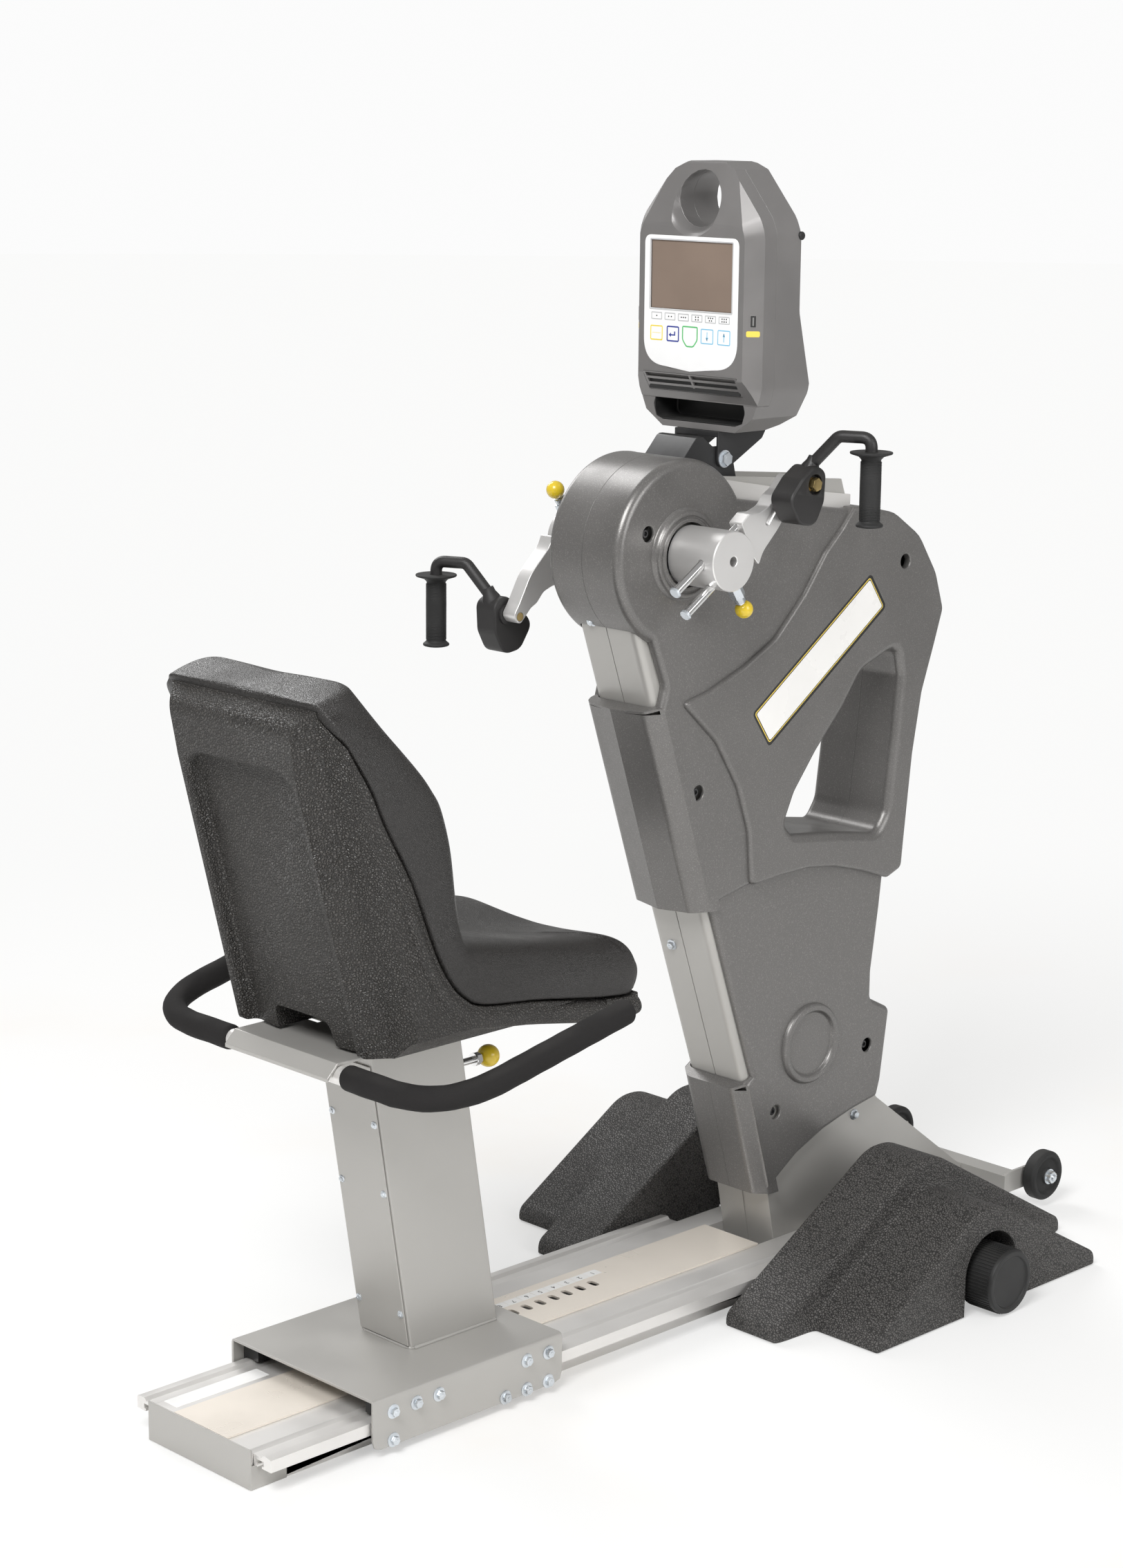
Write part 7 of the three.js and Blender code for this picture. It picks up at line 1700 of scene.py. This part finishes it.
class ERGOMETER_OT_rail(Maker):
    """Rail extrusions, slotted stop plate with its number labels, and the end cap"""

    bl_idname = "ergometer.rail"
    bl_label = "Floor rail"

    def make(self):
        refined("rail_left", "extruded", 0.5, 30, 2)
        refined("rail_right", "extruded", 0.5, 30, 2)
        refined("rail_plate", "stop_steel", 0.4, 40, 2)
        refined("rail_end_cap", "silver_paint", 0.9, 30, 3)
        label = prism(rectangle(-8.5, 8.5, -13, 13, 0.6), 0, 0.16, plane="Z")
        stations = [FIRST_NUMBER - NUMBER_PITCH * k for k in range(NUMBERS)]
        places = [((LABEL_X, y, PLATE_TOP), UP) for y in stations]
        fastened("number_labels", label, places, "label_white", "base", 0.0)
        digits = []
        for k, y in enumerate(stations):
            place = (LABEL_X + 0.5, y, PLATE_TOP + 0.2)
            digits.append(lettering(str(k + 1), 12, place, (0, -1, 0), (1, 0, 0), 0.05))
        settled(piece("numbers", gathered(*digits)), "print_black", "base", angle=60)
        strip = prism(rectangle(-98, -70, -802, -644, 1), RAIL_TOP, RAIL_TOP + 0.2, plane="Z")
        settled(piece("rail_strip_place", strip), "label_white", "base")


class ERGOMETER_OT_ramps(Maker):
    """Stepped ramps of bonded rubber crumb with the arch for the bar's end"""

    bl_idname = "ergometer.ramps"
    bl_label = "Ramps"

    def side(self, share):
        """The ramp's side outline: the inner step at share 0, the outer one at share 1."""
        corners = []
        for inner, outer in zip(RAMP_INNER, RAMP_OUTER):
            along, up = (a + (b - a) * share for a, b in zip(inner, outer))
            corners.append(Vector((BAR[0] + along * RAMP_LENGTH, up * RAMP_HEIGHT)))
        points = []
        for i, (here, reach) in enumerate(zip(corners, RAMP_BENDS)):
            points += bow(here, corners[i - 1] - here, corners[(i + 1) % len(corners)] - here, reach, 6)
        return anticlockwise(points)

    def make(self):
        sections = []
        for x, share, shift in RAMP_SECTIONS:
            points = self.side(share)
            points = inset(points, shift) if shift else points
            sections.append([Vector((x, p.x, max(p.y, 0))) for p in points])
        right = piece("ramp_right_rubber", lofted(sections))
        outer = arch(BAR[0], ARCH_HEIGHT, ARCH_RADIUS, 40, -30)
        inner = arch(*BAR, BAR_ROOM, 24, -30)
        combined(right, [flared(outer, 255, 372, 3, steps=2), stacked(inner, [(140, 0), (262, 0)])])
        paired(right, mirrored, "ramp_rubber", "base", "ramp_right", 32)


class ERGOMETER_OT_stance(Maker):
    """Stabiliser bar with ribbed end caps, and the transport wheels on their bracket"""

    bl_idname = "ergometer.stance"
    bl_label = "Bar and wheels"

    def make(self):
        refined("stabiliser_bar", "black_steel", 0.8, 40, 2)
        right = piece(
            "bar_end_cap_right_core", turned(softened(CAP_PROFILE, 2, 4), (0, *BAR), sides=96)
        )
        paired(right, mirrored, "black_plastic", "base", "bar_end_cap_right")
        height = sizes().cap_rib
        values = {
            "Count": 60,
            "Ring Radius": 0.0499 - height / 2,
            "Rib Radius": height / 2,
            "Length": 0.05,
            "Finish": finish("black_plastic"),
        }
        ribs = grown("bar_end_cap_right_ribs", bpy.data.meshes.new("ribs"), knurl_tree(), values)
        ribs.data.transform(placing((377, *BAR), (1, 0, 0)))
        paired(ribs, mirrored, "black_plastic", "base", angle=60)
        refined("wheel_bracket", "silver_paint", 1.0, 30, 2)
        tyre = softened(TYRE_PROFILE, 1.6, 3)
        right = piece("wheel_right_tyre", turned(tyre + [tyre[0]], (0, *WHEEL), sides=72))
        paired(right, mirrored, "grip_rubber", "wheel_right", "wheel_right")


# Console

CONSOLE_FRONT, CONSOLE_BOTTOM, TILT = 76.71, 1290.9, (106.714, 1251.904)
PRINT_BACK, PRINT_FACE, FLAT_PRINT_FACE = CONSOLE_FRONT - 0.3, CONSOLE_FRONT - 0.5, CONSOLE_FRONT - 0.52
FILM = [(-90, 1560.8, 12), (90, 1560.8, 12), (90, 1382, 40), (0, 1373), (-90, 1382, 40)]
KNOB_PROFILE = [(0, 100), (5, 100), (6, 101), (6, 121), (4.5, 122.5), (0, 122.5)]
PORT_MOUTH = (-3.6, 3.6, 1441, 1456.5, 0.6)
PROGRAM_ROW, KEY_ROW = 1448, 1424
PROGRAM_DOTS = [
    [(0, 0)],
    [(-2.6, 0), (2.6, 0)],
    [(-4, 0), (0, 0), (4, 0)],
    [(-2.4, 1.8), (2.4, 1.8), (-2.4, -1.8), (2.4, -1.8)],
    [(-4, 1.8), (0, 1.8), (4, 1.8), (-2, -1.8), (2, -1.8)],
    [(-4, 1.8), (0, 1.8), (4, 1.8), (-4, -1.8), (0, -1.8), (4, -1.8)],
]
ENTER_TURN = [(-37, -2.4), (-37, -0.6), (-30.6, -0.6), (-30.6, 3.5), (-28.4, 3.5), (-28.4, -2.4)]
ENTER_HEAD = [(-36.6, -4.6), (-36.6, 1.6), (-41, -1.5)]
START_SHIELD = [(-15, 12.5, 3), (-15, -7, 9), (-7, -17, 7), (7, -17, 7), (15, -7, 9), (15, 12.5, 3)]


def outline_ring(points, width):
    """A flat frame of one width, 0.2 mm thick, that stands on the overlay."""
    return stacked(points, [(PRINT_FACE, 0), (PRINT_BACK, 0)], "Y", [inset(points, width)])


def flat_print(points):
    return stacked(points, [(FLAT_PRINT_FACE, 0), (PRINT_BACK, 0)], "Y")


def printed(name, tone, *meshes):
    settled(piece(name, gathered(*meshes)), tone, "console", angle=50)


def shifted(points, z):
    """Points or rounded corners of a key, moved up to its row."""
    return [(x, z + up, *radius) for x, up, *radius in points]


def arrow(x, z, way):
    """A plain arrow: a shaft with a solid head."""
    head = [Vector((x + u, z + way * up)) for u, up in ((-2.4, 1.5), (2.4, 1.5), (0, 6))]
    return [flat_print(rectangle(x - 0.6, x + 0.6, z - 6, z + 6)), flat_print(head)]


class ERGOMETER_OT_console(Maker):
    """Console housing with chamfers, funnel round the carry hole, pocket liner, louvres and ports"""

    bl_idname = "ergometer.console"
    bl_label = "Console housing"

    def make(self):
        front = CONSOLE_FRONT
        throat = [(54, front - 1), (47, front + 6), (41, front + 16), (40, front + 18), (0, front + 18)]
        profile = softened([(0, front - 30), (54, front - 30), *throat], 3)
        funnel = turned(profile, (0, 0, 1612.9), (0, 1, 0), 96)
        refined("console_front", "console_plastic", 3.2, 20, 4, tools=[funnel])
        refined("console_rear", "console_plastic", 3.5, 20, 4)
        refined("air_grille", "console_plastic", 0.3, 40, 2)
        refined("screen", "screen_film", 0.4, 40, 2)
        window = rectangle(-78.2, 78.2, 1458.7, 1554.1, 1)
        layers = [(PRINT_BACK, 0.3), (front, 0), (front + 0.7, 0)]
        overlay = stacked(rounded(FILM, 0.1), layers, "Y", [window])
        settled(piece("overlay_film", overlay), "overlay_white", "console", "display_overlay")
        # Painted shade: a black sheet behind the air grille darkens what is seen through its slots.
        grille_shade_sheet = prism(rectangle(-88, 88, 1344, 1368, 1), front + 10.5, front + 11.5, plane="Y")
        settled(piece("grille_dark", grille_shade_sheet), "print_black", "console")
        pocket = rectangle(-87.4, 87.4, CONSOLE_BOTTOM + 9.6, CONSOLE_BOTTOM + 48.4, 15)
        low = front + 22
        liner = piece("pocket_liner", prism(pocket, low, low + 47, 0, 3, "Y"))
        combined(liner, [prism(inset(pocket, 1.6), low - 9, low + 45, 0, 3, "Y")])
        settled(liner, "black_plastic", "console")
        self.ports()
        knob = turned(softened(KNOB_PROFILE, 0.8), (0, 172, 1564), sides=32)
        settled(piece("rear_knob", knob), "black_plastic", "console")
        refined("console_bracket_base", "black_steel", 1.0, 30, 3)
        refined("console_bracket_plate", "black_steel", 0.9, 30, 3)
        parts = [rod(6, (-50.9, *TILT), (50.9, *TILT))]
        for side in (-1, 1):
            nut = hexagon(17, 44.2, 50.6, 0.9, 0.4)
            nut.transform(placing((0, *TILT), (side, 0, 0)))
            parts += [nut, disc(12.5, side * 42.7, side * 44.2, (0, *TILT), sides=32)]
        settled(piece("tilt_bolt_zinc", gathered(*parts)), "zinc", "console", "tilt_bolt")

    def ports(self):
        """A port with its mouth filled black as painted shade, and a bare label, on each front chamfer.
        """
        for side, word in ((1, "right"), (-1, "left")):
            place = Matrix.Translation(Vector((side * 110, 86.7, 0)) * MM)
            place = place @ Matrix.Rotation(side * math.radians(45), 4, "Z")
            rim, mouth = rectangle(-5.5, 5.5, 1439, 1458.5, 1), rectangle(*PORT_MOUTH)
            tongue, label = rectangle(-1.1, 1.1, 1443, 1454.5, 0.4), rectangle(
                -9.5, 9.5, 1427.5, 1435.5, 2.4
            )
            parts = [
                ("frame", "console_plastic", prism(rim, -0.5, 0.6, 0.2, 0, "Y", [mouth], 2)),
                # Painted shade: a black block fills the port's opening in place of its shaded inside.
                ("mouth", "print_black", prism(mouth, -0.2, 0.5, plane="Y")),
                ("tongue", "chrome", prism(tongue, -0.45, 0.5, plane="Y")),
                ("label", "badge_line", prism(label, -0.25, 0.5, plane="Y")),
            ]
            for name, tone, mesh in parts:
                mesh.transform(place)
                settled(piece("port_" + name + "_" + word, mesh), tone, "console")


class ERGOMETER_OT_keys(Maker):
    """Printed keys of the overlay: plain dots, arrows and outlines, without words"""

    bl_idname = "ergometer.keys"
    bl_label = "Console keys"

    def make(self):
        grey, dots = [], []
        for k, layout in enumerate(PROGRAM_DOTS):
            x, z = -65 + 26 * k, PROGRAM_ROW
            grey.append(outline_ring(rectangle(x - 10.5, x + 10.5, z - 5.3, z + 5.3, 1.5), 1.4))
            dots += [((x + u, PRINT_BACK, z + v), (0, -1, 0)) for u, v in layout]
        printed("program_keys", "key_grey", *grey)
        fastened(
            "program_dots", disc(1.1, 0, 0.2, axis=UP, sides=14), dots, "print_black", "console", 0.0
        )
        z = KEY_ROW
        ring = outline_ring(rectangle(-77, -53, z - 10.5, z + 10.5, 2.6), 1.7)
        printed("key_pause", "key_yellow", ring, flat_print(rectangle(-73, -57, z - 0.3, z + 0.3)))
        ring = outline_ring(rectangle(-45, -21, z - 11, z + 11, 3), 2.0)
        marks = [
            flat_print([Vector(p) for p in shifted(points, z)]) for points in (ENTER_TURN, ENTER_HEAD)
        ]
        printed("key_enter", "key_blue", ring, *marks)
        printed("key_start", "key_green", outline_ring(rounded(shifted(START_SHIELD, z), 0.2), 1.9))
        for x, way, word in ((33, -1, "down"), (65, 1, "up")):
            ring = outline_ring(rectangle(x - 12, x + 12, z - 10.5, z + 10.5, 2.4), 1.4)
            printed("key_" + word, "key_sky", ring, *arrow(x, z, way))
        printed("screen_rim", "key_grey", outline_ring(rectangle(-80, 80, 1456.4, 1556, 2.6), 1.9))


# Fasteners

CARRIAGE_BOLTS = [
    (-612.25, 60), (-571.25, 60), (-531.25, 60), (-612.25, 20), (-409.25, 19), (-369.25, 19),
    (-328.25, 19), (-369.25, 61), (-328.25, 61),
]
CARRIAGE_HALF, AXLE_END = 148, 168.1
COVER_THICKNESS = 2.2
SCREW_DEPTH = 6


def both_sides(spots):
    """Each place on the left and then on the right, with the direction that faces outwards."""
    return [((side * x, y, z), (side, 0, 0)) for side in (-1, 1) for x, y, z in spots]


class ERGOMETER_OT_fasteners(Maker):
    """Bolts and screws in rows, instanced on points and realised"""

    bl_idname = "ergometer.fasteners"
    bl_label = "Bolts and screws"

    def make(self):
        flange = sizes().bolt_flange / MM
        bolts = both_sides([(CARRIAGE_HALF, *spot) for spot in CARRIAGE_BOLTS])
        fastened("carriage_bolts", flange_bolt(flange, 11, 7.5), bolts, "zinc", "seat")
        lean = Vector((0, -1, COLUMN_SLOPE)).normalized()
        spots = [((-25, column_front(z), z), lean) for z in (1033, 530)]
        spots += both_sides([(52.7, 423.75, 210)])
        fastened("tower_bolts", flange_bolt(flange * 0.85, 10, 6.5), spots, "zinc", "base", seed=9)
        wells = [(SHELL_HALF - SCREW_DEPTH, *spot) for spot in UPPER_SCREWS]
        wells += [(LOWER_HALF - SCREW_DEPTH, *spot) for spot in LOWER_SCREWS]
        fastened("shell_screws", socket_screw(6.2, 4), both_sides(wells), "black_steel", "base", seed=2)
        lean = Vector((0, -1, POST_SLOPE)).normalized()
        spots = [
            ((side * 43, self.cover_face(z), z), lean) for side in (-1, 1) for z in (135, 314, 415)
        ]
        fastened("cover_screws", flange_bolt(11, 6, 4), spots, "zinc", "seat", seed=6)
        tip = turned([(0, 9), (5.5, 9), (4.6, 12.4), (3, 13.2), (0, 13.2)], axis=UP, sides=24)
        axle = gathered(disc(12.5, 0, 1.6, axis=UP, sides=32), hexagon(17.6, 1.6, 9.2, 1.0), tip)
        fastened("axle_nuts", axle, both_sides([(AXLE_END, *WHEEL)]), "zinc", "base", seed=3)

    def cover_face(self, height):
        """The rear face of the post cover at that height."""
        return POST_REAR + (height - POST_BOTTOM) * POST_SLOPE - COVER_THICKNESS


# Stage

# Each soft light: its name, place and size in metres, and the setting that holds its power
LIGHTS = [
    ("key_soft", (1.6, -3.6, 4.4), (2.2, 2.2), "key_light"),
    ("fill_soft", (4.6, 0.4, 2.6), (2.4, 2.6), "fill_light"),
    ("rim_soft", (-3.6, 0.6, 3.6), (1.6, 3.0), "fill_light"),
]
LIGHT_TARGET = (0, 0, 0.7)
# The camera's place in metres, and its turn, pitch and roll in degrees
CAMERA_PLACE, CAMERA_ANGLES = (3.029, -3.14125, 1.758), (45.53, 12.53, 0.55)
SENSOR_WIDTH, FAR_CLIP = 36, 100
FLOOR_RADIUS = 30000


class ERGOMETER_OT_stage(Maker):
    """Pale floor, soft studio light and the camera"""

    bl_idname = "ergometer.stage"
    bl_label = "Stage"

    def make(self):
        scene = bpy.context.scene
        scene.view_settings.view_transform = "Standard"
        floor = piece(
            "studio_floor", stacked(circle(0, 0, FLOOR_RADIUS, 96), [(-20, 0), (-0.5, 0)], "Z")
        )
        floor.data.materials.append(self.floor_finish())
        for name, place, size, setting in LIGHTS:
            self.light(name, place, size, getattr(sizes(), setting))
        self.surroundings(scene)
        data = bpy.data.cameras.new("photo_camera")
        data.sensor_width, data.lens, data.clip_end = SENSOR_WIDTH, sizes().camera_lens, FAR_CLIP
        camera = bpy.data.objects.new("photo_camera", data)
        scene.collection.objects.link(camera)
        camera.matrix_world = self.camera_matrix()
        scene.camera = camera

    def camera_matrix(self):
        """The camera's matrix from its place, turn, pitch and roll."""
        turn, pitch, roll = (math.radians(a) for a in CAMERA_ANGLES)
        ahead = Vector(
            (-math.sin(turn) * math.cos(pitch), math.cos(turn) * math.cos(pitch), -math.sin(pitch))
        )
        right = Vector((math.cos(turn), math.sin(turn), 0))
        up = right.cross(ahead)
        across = right * math.cos(roll) + up * math.sin(roll)
        above = up * math.cos(roll) - right * math.sin(roll)
        place = Matrix((across, above, -ahead)).transposed().to_4x4()
        place.translation = Vector(CAMERA_PLACE)
        return place

    def light(self, name, place, size, power):
        data = bpy.data.lights.new(name, "AREA")
        data.shape, data.size, data.size_y, data.energy = "RECTANGLE", *size, power
        made = bpy.data.objects.new(name, data)
        bpy.context.scene.collection.objects.link(made)
        made.location = place
        made.rotation_euler = (Vector(LIGHT_TARGET) - made.location).to_track_quat("-Z", "Y").to_euler()

    def seen(self, tree):
        """One for what the camera sees straight or through glass."""
        path = tree.node("ShaderNodeLightPath").outputs
        return tree.maths("ADD", path["Is Camera Ray"], path["Is Transmission Ray"], clamp=True)

    def surroundings(self, scene):
        """Near white where the camera sees the world, and softer light on everything else."""
        world = bpy.data.worlds.new("studio")
        tree = emptied(world)
        plain = tree.node("ShaderNodeBackground", {"Color": (0.97, 0.97, 0.97, 1.0), "Strength": 1.0})
        soft = tree.node("ShaderNodeBackground", {"Color": (1.0, 0.99, 0.975, 1.0), "Strength": 0.37})
        mix = tree.mixed_shader(self.seen(tree), soft, plain)
        tree.node("ShaderNodeOutputWorld", {"Surface": mix})
        scene.world = world

    def floor_finish(self):
        """Pale paint whose marks and shading fade to plain white away from the machine."""
        made = bpy.data.materials.new("studio_floor_paint")
        tree = emptied(made)
        place = tree.node("ShaderNodeTexCoord").outputs["Object"]
        worn = tree.noise(place, 1.3, 8.0)[0]
        away = tree.vector_maths("LENGTH", {0: place})["Value"]
        marks = tree.maths("MULTIPLY", tree.ramp(worn, 0.5, 0.8), tree.ramp(away, 1.2, 2.6, 1.0, 0.0))
        tint = tree.mixed(marks, (0.96, 0.96, 0.955, 1), (0.95, 0.92, 0.88, 1))
        body = tree.node("ShaderNodeBsdfPrincipled", {"Base Color": tint, "Roughness": 0.75})
        glow = tree.node("ShaderNodeEmission", {"Color": tint, "Strength": 1.0})
        share = tree.maths("MULTIPLY", self.seen(tree), tree.ramp(away, 1.0, 3.2, 0.45, 1.0))
        tree.node("ShaderNodeOutputMaterial", {"Surface": tree.mixed_shader(share, body, glow)})
        return made


# Panel and registration


class ERGOMETER_PT_pieces(bpy.types.Panel):
    """Lists the pieces and their settings"""

    bl_label = "Arm ergometer"
    bl_space_type = "VIEW_3D"
    bl_region_type = "UI"
    bl_category = "Ergometer"

    def draw(self, context):
        layout = self.layout
        for maker in MAKERS:
            layout.operator(maker.bl_idname)
        for settings in (context.scene.ergometer_colours, context.scene.ergometer_sizes):
            for key in settings.bl_rna.properties.keys():
                if key not in ("rna_type", "name"):
                    layout.prop(settings, key)


MAKERS = [
    ERGOMETER_OT_upper_shells,
    ERGOMETER_OT_lower_shells,
    ERGOMETER_OT_badges,
    ERGOMETER_OT_tower_frame,
    ERGOMETER_OT_hubs,
    ERGOMETER_OT_crank_arms,
    ERGOMETER_OT_plungers,
    ERGOMETER_OT_handles,
    ERGOMETER_OT_grips,
    ERGOMETER_OT_seat_shell,
    ERGOMETER_OT_cushion,
    ERGOMETER_OT_seat_bars,
    ERGOMETER_OT_carriage,
    ERGOMETER_OT_rail,
    ERGOMETER_OT_ramps,
    ERGOMETER_OT_stance,
    ERGOMETER_OT_console,
    ERGOMETER_OT_keys,
    ERGOMETER_OT_fasteners,
    ERGOMETER_OT_stage,
]
SETTINGS = [ErgometerColours, ErgometerSizes]


def register():
    for one in SETTINGS + MAKERS + [ERGOMETER_PT_pieces]:
        bpy.utils.register_class(one)
    bpy.types.Scene.ergometer_colours = bpy.props.PointerProperty(type=ErgometerColours)
    bpy.types.Scene.ergometer_sizes = bpy.props.PointerProperty(type=ErgometerSizes)


def unregister():
    del bpy.types.Scene.ergometer_sizes
    del bpy.types.Scene.ergometer_colours
    for one in [ERGOMETER_PT_pieces] + MAKERS[::-1] + SETTINGS[::-1]:
        bpy.utils.unregister_class(one)


def main():
    register()
    for maker in MAKERS:
        group_name, name = maker.bl_idname.split(".")
        getattr(getattr(bpy.ops, group_name), name)()


if __name__ == "__main__":
    main()
